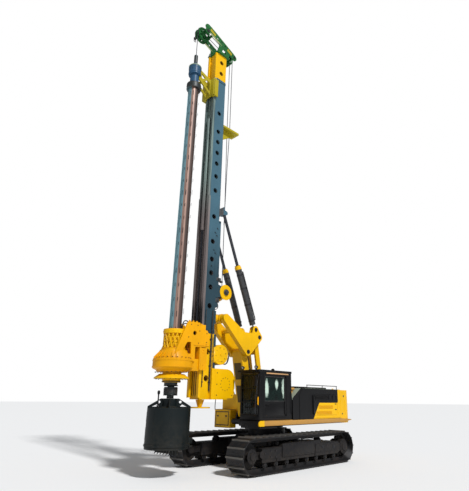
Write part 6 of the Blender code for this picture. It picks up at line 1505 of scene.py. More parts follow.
def shoe_bolts(way, name):
    """Four bolts and a worn lug edge on each shoe's outer face, placed along the crawler's loop."""
    count, face = 46, LOOP_RADIUS - 0.032
    pitch = 2 * (2 * LOOP_HALF_RUN + pi * LOOP_RADIUS) / count
    bolts, lugs = bmesh.new(), bmesh.new()
    for i in range(count):
        y, out = loop_frame(pitch * (i + 0.56))
        for x in (-0.17, -0.09, 0.09, 0.17):
            spot = Vector((way * 1.40 + x, y, LOOP_RADIUS)) + out * face
            rod(bolts, spot - out * 0.004, spot + out * 0.012, 0.013, 6)
        y, out = loop_frame(pitch * (i + 0.0725))
        ahead = Vector((1, 0, 0)).cross(out)
        middle = Vector((0, y, LOOP_RADIUS))
        corners = [middle + out * (face - 0.004) - ahead * 0.026, middle + out * (face - 0.004) + ahead * 0.026,
                   middle + out * (face + 0.0312) + ahead * 0.014, middle + out * (face + 0.0312) - ahead * 0.014]
        mirrored_prism(lugs, way, [(corner.y, corner.z) for corner in corners], 1.045, 1.755)
    fitted("shoe_lugs_" + name, lugs, "worn_edge", "undercarriage", "track_black", bevel=0.002)
    fitted("shoe_bolts_" + name, bolts, "track_black", "undercarriage", "track_black")


# Linkage


class RIG_OT_linkage_trim(bpy.types.Operator):
    """Adds pin caps, keeper plates, dark plates of painted shade on the boom's front, and hoses to the boom, link arms
    and triangle frame
    """

    bl_idname = "rig.linkage_trim"
    bl_label = "Linkage trim"

    def execute(self, context):
        for way, name in ((1, "left"), (-1, "right")):
            caps = bmesh.new()
            for y, z in ((-1.05, 4.46), (-1.42, 3.66), (-0.86, 4.21)):
                pin_cap(caps, way, PIN_FACE, y, z, 0.075)
            fitted("triangle_caps_" + name, caps, "dark_steel", "triangle_frame", "rig_yellow")
        # Dark olive plates over the boom's front face: painted shade on the side away from the light.
        ribs = bmesh.new()
        for z0, z1 in ((2.0, 2.55), (2.75, 3.30)):
            lean = (-1.42 + 1.05) / (3.66 - 1.64)
            low = (-1.05 + lean * (z0 - 1.64) - 0.152, z0)
            high = (-1.05 + lean * (z1 - 1.64) - 0.152, z1)
            prism(ribs, [low, high, (high[0] + 0.012, high[1]), (low[0] + 0.012, low[1])], -0.17, 0.17)
        fitted("boom_shade_plates", ribs, "boom_front_shade", "boom", "rig_yellow", bevel=0.003)
        for i, x in enumerate((0.08, -0.08, 0.03, -0.03)):
            points = [(x, -0.62, 1.62), (x, -0.66, 2.10), (x * 1.2, -0.90, 2.9), (x * 1.2, -1.04, 3.35),
                      (x, -1.12, 3.72)]
            line("boom_hose_%d" % (i + 1), points, 0.017, "boom", "hose_rubber", "rig_yellow")
        return {"FINISHED"}


def pin_cap(bm, way, face, y, z, radius):
    """Round cap, a keeper plate and two bolts on a pin's end."""
    mirrored_rod(bm, way, (face - 0.002, y, z), (face + 0.014, y, z), radius, 24, radius * 0.92)
    mirrored_rod(bm, way, (face + 0.014, y, z), (face + 0.020, y, z), radius * 0.45, 20)
    for turn in (0.6, 2.2, 3.8, 5.4):
        spot = (face + 0.012, y + radius * 0.7 * cos(turn), z + radius * 0.7 * sin(turn))
        mirrored_rod(bm, way, spot, (spot[0] + 0.012, spot[1], spot[2]), 0.010, 6)


# Mast


class RIG_OT_mast_trim(bpy.types.Operator):
    """Adds the mast's flanges, rail strips, hole rims, hoses, cable ladder and valve covers"""

    bl_idname = "rig.mast_trim"
    bl_label = "Mast trim"

    def execute(self, context):
        flanges = bmesh.new()
        for z in (14.35, 4.20):
            for way in (-1, 1):
                mirrored_block(flanges, way, (MAST_FACE, -3.325, z - 0.06), (0.243, -2.845, z + 0.06), 0.004)
            block(flanges, (-0.225, -2.8347, z - 0.06), (0.225, -2.815, z + 0.06), 0.004)
        fitted("mast_flanges", flanges, "mast_blue", "mast", "mast_blue")
        bolts = bmesh.new()
        for z in (14.35, 4.20):
            spots = [(-3.28 + i * 0.10, z + lift) for i in range(5) for lift in (-0.03, 0.03)]
            for way in (-1, 1):
                side_bolts(bolts, way, spots, 0.243, 0.254, 0.013)
        fitted("mast_flange_bolts", bolts, "dark_steel", "mast", "mast_blue")
        rims = bmesh.new()
        heights = (2.72, 3.55, 5.05, 5.70, 6.20, 6.70, 7.36, 8.32, 9.37, 9.96, 10.51, 10.98, 11.46, 11.93, 12.78,
                   14.75, 15.30)
        for z in heights:
            for way in (-1, 1):
                torus(rims, (way * 0.2255, -3.085, z), (1, 0, 0), 0.088, 0.006, 20, 6)
        fitted("mast_hole_rims", rims, "dark_hole_and_shade", "mast", "mast_blue")
        rails, low_rails = bmesh.new(), bmesh.new()
        for x in (-0.13, -0.045, 0.045, 0.13):
            block(rails, (x - 0.009, -3.347, 4.30), (x + 0.009, -3.3353, 14.26), 0.002, 1)
            block(low_rails, (x - 0.009, -3.347, 2.20), (x + 0.009, -3.3353, 4.10), 0.002, 1)
        fitted("mast_front_strips", rails, "mast_blue", "mast", "mast_blue")
        # The low strips are dark: the lower front's black, with painted shade on it.
        fitted("mast_low_strips", low_rails, "dark_hole_and_shade", "mast", "mast_blue")
        stops = bmesh.new()
        for y, z in ((-3.0, 7.72), (-2.92, 7.62), (-3.02, 7.05), (-2.96, 6.95), (-2.9, 7.9), (-3.1, 6.45)):
            rod(stops, (MAST_FACE, y, z), (0.245, y, z), 0.020, 12)
            rod(stops, (MAST_FACE, y + 0.05, z - 0.03), (0.238, y + 0.05, z - 0.03), 0.010, 6)
        fitted("mast_fittings", stops, "dark_steel", "mast", "mast_blue")

        for i, (y, low) in enumerate(((-3.265, 2.45), (-2.985, 2.35), (-2.955, 2.30))):
            points = [(0.255, y, low), (0.262, y, low + 0.6), (0.262, y, 3.5), (0.262, y + 0.015, 4.02),
                      (0.255, y + 0.03, 4.5), (0.24, y + 0.04, 4.9)]
            line("mast_hose_%d" % (i + 1), points, 0.012, "mast", "hose_rubber", "rig_yellow")
        clips = bmesh.new()
        for z in (2.6, 3.1, 3.55, 3.95):
            block(clips, (MAST_FACE, -3.29, z - 0.02), (0.272, -3.24, z + 0.02), 0.004)
            block(clips, (MAST_FACE, -3.01, z - 0.02), (0.272, -2.93, z + 0.02), 0.004)
        fitted("mast_hose_clips", clips, "dark_steel", "mast", "rig_yellow")
        ladder = bmesh.new()
        for y in (-2.905, -2.845):
            rod(ladder, (0.262, y, 2.38), (0.262, y, 4.04), 0.006, 8)
        for i in range(12):
            rod(ladder, (0.262, -2.905, 2.45 + i * 0.14), (0.262, -2.845, 2.45 + i * 0.14), 0.006, 6)
        for z in (2.5, 3.2, 3.9):
            rod(ladder, (MAST_FACE, -2.875, z), (0.262, -2.875, z), 0.008, 8)
        fitted("mast_cable_ladder", ladder, "hose_rubber", "mast", "rig_yellow")
        for name, x in (("a", 0.16), ("b", 0.10)):
            points = [(x, -2.79, 8.3), (x, -2.785, 9.4), (x, -2.785, 11.9), (x * 0.9, -2.80, 12.6)]
            line("mast_back_line_" + name, points, 0.014, "mast", "hose_rubber", "mast_blue")
        valve = bmesh.new()
        for way in (-1, 1):
            mirrored_rod(valve, way, (0.2623, *VALVE), (0.276, *VALVE), 0.15, 28, 0.14)
            mirrored_rod(valve, way, (0.276, *VALVE), (0.294, *VALVE), 0.045, 6)
        fitted("valve_covers", valve, "rig_yellow", "mast", "rig_yellow")
        studs = bmesh.new()
        for way in (-1, 1):
            side_bolts(studs, way, circle(VALVE, 0.22, 8, 0.2), 0.2623, 0.276, 0.014)
        fitted("valve_bolts", studs, "dark_steel", "mast", "rig_yellow")
        line("valve_hose_a", [(0.1, -2.40, 3.30), (0.12, -2.20, 3.12), (0.1, -2.02, 3.20), (0.06, -1.98, 3.6)], 0.02,
             "mast", "hose_rubber", "rig_yellow")
        line("valve_hose_b", [(0.2, -2.45, 3.30), (0.22, -2.34, 3.14), (0.22, -2.18, 3.16), (0.16, -2.12, 3.42)],
             0.016, "mast", "hose_rubber", "rig_yellow")
        return {"FINISHED"}


class RIG_OT_head_trim(bpy.types.Operator):
    """Adds the head frame's saddle gussets, rope keepers, axle caps and edge strips"""

    bl_idname = "rig.head_trim"
    bl_label = "Head trim"

    def execute(self, context):
        front, rear = Vector((0, *FRONT_HEAD)), Vector((0, *REAR_HEAD))
        along = (rear - front).normalized()
        up = Vector((0, -along.z, along.y))
        keepers = bmesh.new()
        for share in (0.0, 0.12, 0.90, 1.0):
            spot = front.lerp(rear, share) + up * 0.10
            rod(keepers, spot + Vector((-0.25, 0, 0)), spot + Vector((0.25, 0, 0)), 0.012, 8)
        fitted("rope_keepers", keepers, "dark_steel", "mast", "head_green")
        strips = bmesh.new()
        for way in (-1, 1):
            for share0, share1, lift in ((0.05, 0.95, 0.1405), (0.12, 0.55, -0.1485)):
                a, b = front.lerp(rear, share0) + up * lift, front.lerp(rear, share1) + up * lift
                edge = [(p.y, p.z) for p in (a, b, b + up * 0.008, a + up * 0.008)]
                mirrored_prism(strips, way, edge, 0.248, 0.302)
        fitted("head_edge_strips", strips, "cream_edge", "mast", "head_green")
        patches = bmesh.new()
        for way in (-1, 1):
            for share0, share1 in ((0.08, 0.27), (0.73, 0.90)):
                a, b = front.lerp(rear, share0), front.lerp(rear, share1)
                points = [a - up * 0.07, b - up * 0.085, b + up * 0.04, a + up * 0.065]
                mirrored_prism(patches, way, [(p.y, p.z) for p in points], BEAM_FACE, 0.305)
        fitted("head_side_plates", patches, "olive_trim", "mast", "head_green", bevel=0.001)
        caps = bmesh.new()
        for way in (-1, 1):
            pin_cap(caps, way, BEAM_FACE, *FRONT_AXLE, 0.075)
            pin_cap(caps, way, 0.3123, *REAR_HEAD, 0.055)
        fitted("head_axle_caps", caps, "dark_steel", "mast", "head_green")
        saddle = bmesh.new()
        for x in (-0.30, -0.10, 0.10, 0.30):
            prism(saddle, [(-3.42, 15.70), (-3.336, 15.70), (-3.336, 15.98)], x - 0.012, x + 0.012)
        for x in (-0.26, 0.0, 0.26):
            for y in (-3.36, -2.76):
                rod(saddle, (x, y, 15.75), (x, y, 15.765), 0.016, 6)
        fitted("head_saddle", saddle, "head_green", "mast", "head_green")
        return {"FINISHED"}


# Cylinders, drums and ropes


class RIG_OT_cylinder_trim(bpy.types.Operator):
    """Adds glands, clamps, pipes and hoses to the mast and luffing cylinders"""

    bl_idname = "rig.cylinder_trim"
    bl_label = "Cylinder trim"

    def execute(self, context):
        foot, eye = Vector((0, -1.05, 4.46)), Vector((0, -2.72, 8.50))
        along = (eye - foot).normalized()
        out = Vector((0, along.z, -along.y))
        head = foot + along * 2.38
        for way, name in ((1, "left"), (-1, "right")):
            x = Vector((way * 0.345, 0, 0))
            gland = bmesh.new()
            lathe(gland, [(0.0605, -0.13), (0.116, -0.13), (0.122, -0.12), (0.122, -0.03), (0.104, -0.02),
                          (0.104, 0.02), (0.0605, 0.02)], head + x, along, 28)
            fitted("mast_gland_" + name, gland, "rig_yellow", "mast_barrel_" + name, "cab_black")
            bands = bmesh.new()
            for step in (0.35, 0.95, 1.55, 2.05):
                spot = foot + x + along * step
                lathe(bands, [(0.1083, -0.02), (0.116, -0.02), (0.116, 0.02), (0.1083, 0.02)], spot, along, 24)
                block_on(bands, spot + out * 0.125, along, out, (0.03, 0.02, 0.03))
            for sideways, outwards in circle((0, 0), 0.085, 8):
                spot = head + x + Vector((1, 0, 0)) * sideways + out * outwards
                rod(bands, spot + along * 0.018, spot + along * 0.032, 0.011, 6)
            fitted("mast_clamps_" + name, bands, "dark_steel", "mast_barrel_" + name, "cab_black")
            pipe = [head + x - along * 0.10 + out * 0.118, head + x - along * 0.16 + out * 0.150]
            pipe += [foot + x + along * step + out * 0.150 for step in (2.0, 1.2, 0.45)]
            pipe.append(foot + x + along * 0.30 + out * 0.125)
            line("mast_pipe_" + name, [tuple(p) for p in pipe], 0.017, "mast_barrel_" + name, "cylinder_black")
            rings = bmesh.new()
            start = foot + x + out * 0.152 + Vector((way * 0.045, 0, 0))
            for i in range(56):
                lathe(rings, [(0.0155, -0.008), (0.0215, -0.006), (0.0215, 0.006), (0.0155, 0.008)],
                      start + along * (0.40 + i * 0.031), along, 10)
            rod(rings, start + along * 0.34, start + along * 2.16, 0.016, 10)
            fitted("mast_sleeve_hose_" + name, rings, "hose_rubber", "mast_barrel_" + name, "cab_black")

        low, high = Vector((0, -0.30, 1.67)), Vector((0, -1.06, 3.00))
        way_up = (high - low).normalized()
        side_out = Vector((0, way_up.z, -way_up.y))
        luff = bmesh.new()
        for step in (0.30, 0.75):
            lathe(luff, [(0.0853, -0.02), (0.095, -0.02), (0.095, 0.02), (0.0853, 0.02)], low + way_up * step, way_up,
                  24)
        fitted("luff_clamps", luff, "dark_steel", "luff_barrel", "cab_black")
        bends = ((0.22, 0.09), (0.28, 0.12), (0.8, 0.12), (0.88, 0.09))
        pipe = [tuple(low + way_up * step + side_out * lift) for step, lift in bends]
        line("luff_pipe", pipe, 0.014, "luff_barrel", "cylinder_black")
        return {"FINISHED"}


def block_on(bm, centre, along, out, half):
    """Small block with its faces along two given directions."""
    across = along.cross(out)
    turn = Matrix((across, out, along)).transposed().to_4x4()
    bmesh.ops.create_cube(bm, size=2.0, matrix=Matrix.Translation(centre) @ turn @ Matrix.Diagonal((*half, 1)))


class RIG_OT_winch_trim(bpy.types.Operator):
    """Adds rope coils, hubs, motors and bolts to the main and auxiliary winches"""

    bl_idname = "rig.winch_trim"
    bl_label = "Winch trim"

    def execute(self, context):
        drums = (("main", MAIN_WINCH, 0.235, 0.235, "main_drum", "frame_grey"),
                 ("aux", AUX_WINCH, 0.162, 0.155, "aux_drum", "rig_yellow"))
        for name, axis, radius, half, body, slot in drums:
            coils = bmesh.new()
            count = int(2 * half / 0.030)
            for i in range(count):
                torus(coils, (-half + 0.015 + i * 0.030, *axis), (1, 0, 0), radius, 0.0148, 32, 6)
            fitted(name + "_coils", coils, "wire_rope", body, slot)
        plates = bmesh.new()
        for way in (-1, 1):
            rim = [(-2.79, 2.13), (-2.02, 2.13), (-1.955, 2.26), (-1.955, 2.72), (-2.05, 2.93), (-2.24, 3.005),
                   (-2.79, 3.005)]
            mirrored_prism(plates, way, rim, 0.3353, 0.341)
        bmesh.ops.bevel(plates, geom=plates.edges[:], offset=0.002, segments=1, profile=0.5, affect="EDGES",
                        material=-1)
        fitted("winch_cheeks", plates, "rig_yellow", "mast", "rig_yellow")
        bolts = bmesh.new()
        for way in (-1, 1):
            side_bolts(bolts, way, circle(MAIN_WINCH, 0.20, 12), 0.341, 0.352, 0.013)
            side_bolts(bolts, way, ((-2.72, 2.22), (-2.72, 2.55), (-2.72, 2.9), (-2.05, 2.22)), 0.341, 0.354, 0.016)
        fitted("winch_bolts", bolts, "dark_steel", "mast", "rig_yellow")
        motor = bmesh.new()
        lathe(motor, [(0.0, 0.0), (0.16, 0.0), (0.17, 0.01), (0.17, 0.06), (0.11, 0.08), (0.105, 0.20), (0.0, 0.21)],
              (-0.3415, *MAIN_WINCH), (-1, 0, 0), 28)
        fitted("winch_motor", motor, "frame_grey", "mast", "rig_yellow")
        hub = bmesh.new()
        lathe(hub, [(0.0, 0.0), (0.105, 0.0), (0.11, 0.01), (0.11, 0.03), (0.075, 0.045), (0.07, 0.085), (0.0, 0.09)],
              (0.2353, *AUX_WINCH), (1, 0, 0), 28)
        side_bolts(hub, 1, circle(AUX_WINCH, 0.088, 8), 0.262, 0.276, 0.011)
        fitted("aux_hub", hub, "cylinder_black", "mast", "mast_blue")
        face = bmesh.new()
        prism(face, circle(AUX_WINCH, 0.275, 20), MAST_FACE, 0.2345)
        fitted("aux_cheek", face, "rig_yellow", "mast", "rig_yellow", bevel=0.004)
        bracket = bmesh.new()
        block(bracket, (0.10, -2.834, 5.98), (0.225, -2.62, 6.10), 0.012)
        block(bracket, (0.10, -2.834, 5.22), (0.225, -2.66, 5.36), 0.012)
        block(bracket, (0.06, -2.834, 5.36), (0.20, -2.70, 5.98), 0.012)
        for z in (5.28, 6.04):
            rod(bracket, (0.225, -2.74, z), (0.245, -2.74, z), 0.03, 6)
        rod(bracket, (0.10, -2.56, 6.00), (0.10, -2.46, 6.02), 0.04, 14)
        fitted("aux_bracket", bracket, "cylinder_black", "mast", "mast_blue")
        line("aux_hose_a", [(0.12, -2.70, 6.05), (0.16, -2.62, 6.22), (0.16, -2.74, 6.40), (0.14, -2.79, 6.2)], 0.014,
             "mast", "hose_rubber", "mast_blue")
        line("aux_hose_b", [(0.12, -2.70, 5.25), (0.18, -2.60, 5.12), (0.16, -2.68, 4.95), (0.12, -2.79, 5.0)], 0.014,
             "mast", "hose_rubber", "mast_blue")
        return {"FINISHED"}


def falling_rope(name, top, bottom, radius, upper, lower):
    """Straight rope over the bar that stretches between two bodies."""
    rope = bmesh.new()
    rod(rope, (0, BAR_Y, top), (0, BAR_Y, bottom), radius, 12)
    piece = fitted(name, rope, "wire_rope", None, "kelly_steel")
    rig.blend(piece, upper, lower, place(0, -4.24, top), place(0, -4.24, bottom))


class RIG_OT_ropes(bpy.types.Operator):
    """Runs the main and auxiliary ropes over the sheaves, through the guide and down to the bar"""

    bl_idname = "rig.ropes"
    bl_label = "Ropes"

    def execute(self, context):
        radius = context.scene.rig_size.rope_radius
        for name, x, bottom in (("main", 0.0, [(-2.30, 12.6), (-2.36, 10.6), (-2.40, 8.25)]),
                                ("aux", AUX_ROPE[0], [(-2.29, 12.4), (-2.24, 9.0), (-2.225, 5.66)])):
            points = [(x, *spot) for spot in reversed(bottom)]
            leaves = 1.18
            front_turn = [leaves + (pi - leaves) * i / 6 for i in range(7)]
            for (y, z), reach, turn in ((REAR_AXLE, 0.272, (0.0, 0.3, 0.6, 0.9, leaves)),
                                        (FRONT_AXLE, 0.302, front_turn)):
                points += [(x, y + reach * cos(a), z + reach * sin(a)) for a in turn]
            if name == "main":
                points.append((x, BAR_Y, 16.3))
            else:
                points += [(*AUX_ROPE, 16.3), (*AUX_ROPE, 16.12)]
            line(name + "_rope", points, radius, "mast", "wire_rope", "head_green", True)
        falling_rope("bar_rope_high", 16.3, 15.6, radius, "mast", "kelly_guide")
        falling_rope("bar_rope_low", 15.598, 15.0, radius, "kelly_outer", "kelly_inner")
        hook = bmesh.new()
        lathe(hook, [(0.0, 0.0), (0.03, 0.01), (0.055, 0.05), (0.06, 0.09), (0.045, 0.13), (0.02, 0.16), (0.0, 0.165)],
              (*AUX_ROPE, 15.96), (0, 0, 1), 20)
        torus(hook, (*AUX_ROPE, 15.915), (1, 0, 0), 0.045, 0.012, 20, 8)
        fitted("aux_hook", hook, "dark_steel", "mast", "head_green")
        swivel = bmesh.new()
        lathe(swivel, [(0.0, 0.0), (0.078, 0.0), (0.085, 0.02), (0.085, 0.10), (0.070, 0.13), (0.070, 0.30),
                       (0.045, 0.36), (0.030, 0.55), (0.018, 0.60), (0.0, 0.60)], (0, BAR_Y, 14.5003), (0, 0, 1), 24)
        fitted("rope_swivel", swivel, "guide_blue", "kelly_inner", "kelly_steel")
        pins = bmesh.new()
        for z in (14.66, 14.78):
            rod(pins, (-0.092, BAR_Y, z), (0.092, BAR_Y, z), 0.016, 12)
        fitted("swivel_pins", pins, "dark_steel", "kelly_inner", "kelly_steel")
        return {"FINISHED"}


# Drive, bar and bucket


class RIG_OT_drive_trim(bpy.types.Operator):
    """Adds bolts, ribs, motor heads, hoses and lugs to the rotary drive and its cage"""

    bl_idname = "rig.drive_trim"
    bl_label = "Drive trim"

    def execute(self, context):
        ring = bmesh.new()
        lathe(ring, [(0.597, 2.98), (0.612, 2.985), (0.612, 3.015), (0.597, 3.02)], steps=48)
        lathe(ring, [(0.597, 3.17), (0.610, 3.175), (0.610, 3.205), (0.597, 3.21)], steps=48)
        fitted("drive_bands", ring, "drive_orange", "carriage", "drive_orange")
        bolts = bmesh.new()
        level_bolts(bolts, 24, 0.555, 3.262, 0.022, 0.016, pi / 24, 0.55)
        level_bolts(bolts, 24, 0.50, 2.862, -0.018, 0.016, pi / 24, 0.55)
        for way in (-1, 1):
            spots = ((-4.45, 3.24), (-3.90, 3.23), (-4.02, 3.9), (-3.94, 4.30), (-3.68, 4.30), (-3.30, 4.08),
                     (-3.30, 3.80), (-3.62, 3.75), (-3.60, 4.13), (-3.30, 3.72))
            side_bolts(bolts, way, spots, ARM_FACE, 0.432, 0.015)
        fitted("drive_bolts", bolts, "dark_steel", "carriage", "drive_orange")
        ribs = bmesh.new()
        for i in range(10):
            angle = pi + 0.45 + (pi - 0.9) * i / 9
            way_out = Vector((cos(angle), sin(angle), 0))
            across = Vector((-sin(angle), cos(angle), 0)) * 0.009
            section = ((0.585, 3.26), (0.43, 3.26), (0.43, 3.47), (0.585, 3.30))
            corners = [Vector((0, BAR_Y, z)) + way_out * reach for reach, z in section]
            low = [ribs.verts.new(c - across) for c in corners]
            high = [ribs.verts.new(c + across) for c in corners]
            for k in range(4):
                ribs.faces.new((low[k], low[(k + 1) % 4], high[(k + 1) % 4], high[k]))
            ribs.faces.new(list(reversed(low)))
            ribs.faces.new(high)
        fitted("drive_ribs", ribs, "drive_orange", "carriage", "drive_orange", bevel=0.002)
        motors = bmesh.new()
        for way in (-1, 1):
            x = way * 0.20
            for z0, z1, *size in ((3.9803, 4.12, 0.075, 20), (4.12, 4.15, 0.06, 20, 0.045), (3.94, 3.9803, 0.105, 24)):
                rod(motors, (x, MOTOR_Y, z0), (x, MOTOR_Y, z1), *size)
            for turn in (0.7, 2.3, 3.9, 5.5):
                spot = (x + 0.088 * cos(turn), MOTOR_Y + 0.088 * sin(turn))
                rod(motors, (*spot, 3.98), (*spot, 4.0), 0.011, 6)
            rod(motors, (x, -3.78, 4.05), (x, -3.85, 4.05), 0.022, 12)
        fitted("drive_motors", motors, "cylinder_black", "carriage", "drive_orange")
        for i, (x, lift) in enumerate(((0.20, 0.0), (-0.20, 0.06), (0.14, 0.12), (-0.14, 0.18))):
            points = [(x, -3.85, 4.05), (x * 0.9, -3.92, 4.20 + lift), (x * 0.7, -3.80, 4.42 + lift),
                      (x * 0.6, -3.60, 4.40), (x * 0.6, -3.50, 4.20)]
            line("drive_hose_%d" % (i + 1), points, 0.018, "carriage", "hose_rubber", "drive_orange")
        lugs = bmesh.new()
        for way in (-1, 1):
            for y in (-4.0, -3.86, -3.72):
                mirrored_prism(lugs, way, [(y - 0.035, 4.37), (y + 0.035, 4.37), (y + 0.02, 4.43), (y - 0.02, 4.43)],
                               0.378, 0.417)
            mirrored_prism(lugs, way, [(-3.80, 3.665), (-3.19, 3.69), (-3.19, 3.72), (-3.80, 3.70)], ARM_FACE, 0.436)
            mirrored_prism(lugs, way, [(-4.50, 3.19), (-3.75, 3.19), (-3.75, 3.225), (-4.50, 3.225)], ARM_FACE, 0.440)
            mirrored_prism(lugs, way, [(-3.54, 2.94), (-3.24, 2.94), (-3.24, 3.62), (-3.54, 3.62)], 0.3553, 0.40)
            side_bolts(lugs, way, [(-3.39, z) for z in (2.98, 3.10, 3.46, 3.56)], 0.40, 0.412, 0.018)
        fitted("arm_lugs", lugs, "drive_orange", "carriage", "drive_orange", bevel=0.003)
        cage = bmesh.new()
        radial_bolts(cage, 16, 0.3553, 4.065, 0.013)
        hoop(cage, 4.125, 0.345, 0.012, 36)
        hoop(cage, 3.555, 0.352, 0.010, 36)
        fitted("cage_bolts", cage, "drive_orange", "drive_sleeve", "rig_yellow")
        skirt = bmesh.new()
        level_bolts(skirt, 18, 0.47, 2.664, -0.016, 0.013)
        lathe(skirt, [(0.2703, 2.57), (0.285, 2.575), (0.285, 2.60), (0.2703, 2.605)], steps=32)
        fitted("skirt_bolts", skirt, "dark_steel", "drive_sleeve", "rig_yellow")
        return {"FINISHED"}


class RIG_OT_bar_trim(bpy.types.Operator):
    """Adds the bar's key notches, collar bolts, spring and guide ring details"""

    bl_idname = "rig.bar_trim"
    bl_label = "Bar trim"

    def execute(self, context):
        notches = bmesh.new()
        for key, turn in enumerate((-0.892, 1.202, 3.297)):
            out = Vector((cos(turn), sin(turn), 0))
            across = Vector((-sin(turn), cos(turn), 0))
            for i in range(22):
                z = 3.2 + i * 0.47 + key * 0.12
                if z > 13.2:
                    continue
                for lean in (-1, 1):
                    centre = Vector((0, BAR_Y, z)) + out * 0.2065 + across * lean * 0.063
                    block_on(notches, centre, Vector((0, 0, 1)), out, (0.006, 0.0035, 0.055 if i % 3 else 0.09))
        fitted("key_notches", notches, "dark_hole_and_shade", "kelly_outer", "kelly_steel")
        collar = bmesh.new()
        radial_bolts(collar, 12, 0.2703, 13.46, 0.014)
        hoop(collar, 13.37, 0.268, 0.010, 36)
        hoop(collar, 13.55, 0.268, 0.010, 36)
        fitted("collar_bolts", collar, "dark_steel", "kelly_outer", "kelly_steel")
        ring = bmesh.new()
        lathe(ring, [(0.15, 14.4003), (0.246, 14.4003), (0.252, 14.41), (0.252, 14.428), (0.246, 14.438),
                     (0.15, 14.438)], steps=36)
        fitted("guide_ring_cap", ring, "pale_green", "kelly_guide", "mast_blue")
        studs = bmesh.new()
        radial_bolts(studs, 12, 0.2403, 14.22, 0.014)
        fitted("guide_ring_bolts", studs, "dark_steel", "kelly_guide", "mast_blue")
        spring = []
        turns, steps = 5.5, 12
        for i in range(int(turns * steps) + 1):
            angle = 2 * pi * i / steps
            spring.append((0.202 * cos(angle), BAR_Y + 0.202 * sin(angle), 2.235 + 0.17 * i / (turns * steps)))
        line("spring", spring, 0.012, "kelly_inner", "hose_rubber", "kelly_steel", True)
        seat = bmesh.new()
        for z in (2.47, 2.205):
            hoop(seat, z, 0.200, 0.014, 32)
        fitted("spring_rings", seat, "bucket_black", "kelly_inner", "kelly_steel")
        return {"FINISHED"}


class RIG_OT_bucket_trim(bpy.types.Operator):
    """Adds the bucket's latch rod, wear strips, seams, band bolts and cutter tips"""

    bl_idname = "rig.bucket_trim"
    bl_label = "Bucket trim"

    def execute(self, context):
        latch = bmesh.new()
        spot = Vector((-0.58 * 0.34, BAR_Y - 0.81 * 0.34, 0))
        rod(latch, spot + Vector((0, 0, 1.85)), spot + Vector((0, 0, 2.22)), 0.020, 12)
        lathe(latch, [(0.0, -0.05), (0.03, -0.04), (0.042, 0.0), (0.042, 0.03), (0.03, 0.065), (0.0, 0.075)],
              spot + Vector((0, 0, 2.26)), (0, 0, 1), 16)
        torus(latch, spot + Vector((0, 0, 1.90)), (0, 0, 1), 0.035, 0.012, 16, 8)
        fitted("bucket_latch", latch, "dark_steel", "kelly_inner", "bucket_black")
        strips = bmesh.new()
        for i in range(8):
            angle = 2 * pi * (i + 0.30) / 8
            out = Vector((cos(angle), sin(angle), 0))
            for z, height in ((1.16, 0.17), (1.60, 0.14)):
                centre = Vector((0, BAR_Y, z)) + out * 0.6265
                block_on(strips, centre, Vector((0, 0, 1)), out, (0.016, 0.007, height))
        fitted("bucket_wear_strips", strips, "bucket_black", "kelly_inner", "bucket_black", bevel=0.003)
        seams = bmesh.new()
        for z in (1.845, 0.905, 1.38):
            hoop(seams, z, 0.627, 0.0055, 64, 6)
        fitted("bucket_seams", seams, "bucket_black", "kelly_inner", "bucket_black")
        bolts = bmesh.new()
        radial_bolts(bolts, 16, 0.645, 0.855, 0.012, 0.008, 0.01, pi / 16)
        fitted("bucket_bolts", bolts, "dark_steel", "kelly_inner", "bucket_black")
        cutters = bmesh.new()
        for i in range(8):
            x = -0.50 + i * 0.143
            rod(cutters, (x, BAR_Y - 0.03, 0.62), (x, BAR_Y - 0.06, 0.585), 0.016, 8, 0.004)
        fitted("cutter_tips", cutters, "bright_steel", "bucket_door", "bucket_black")
        return {"FINISHED"}


# Stage


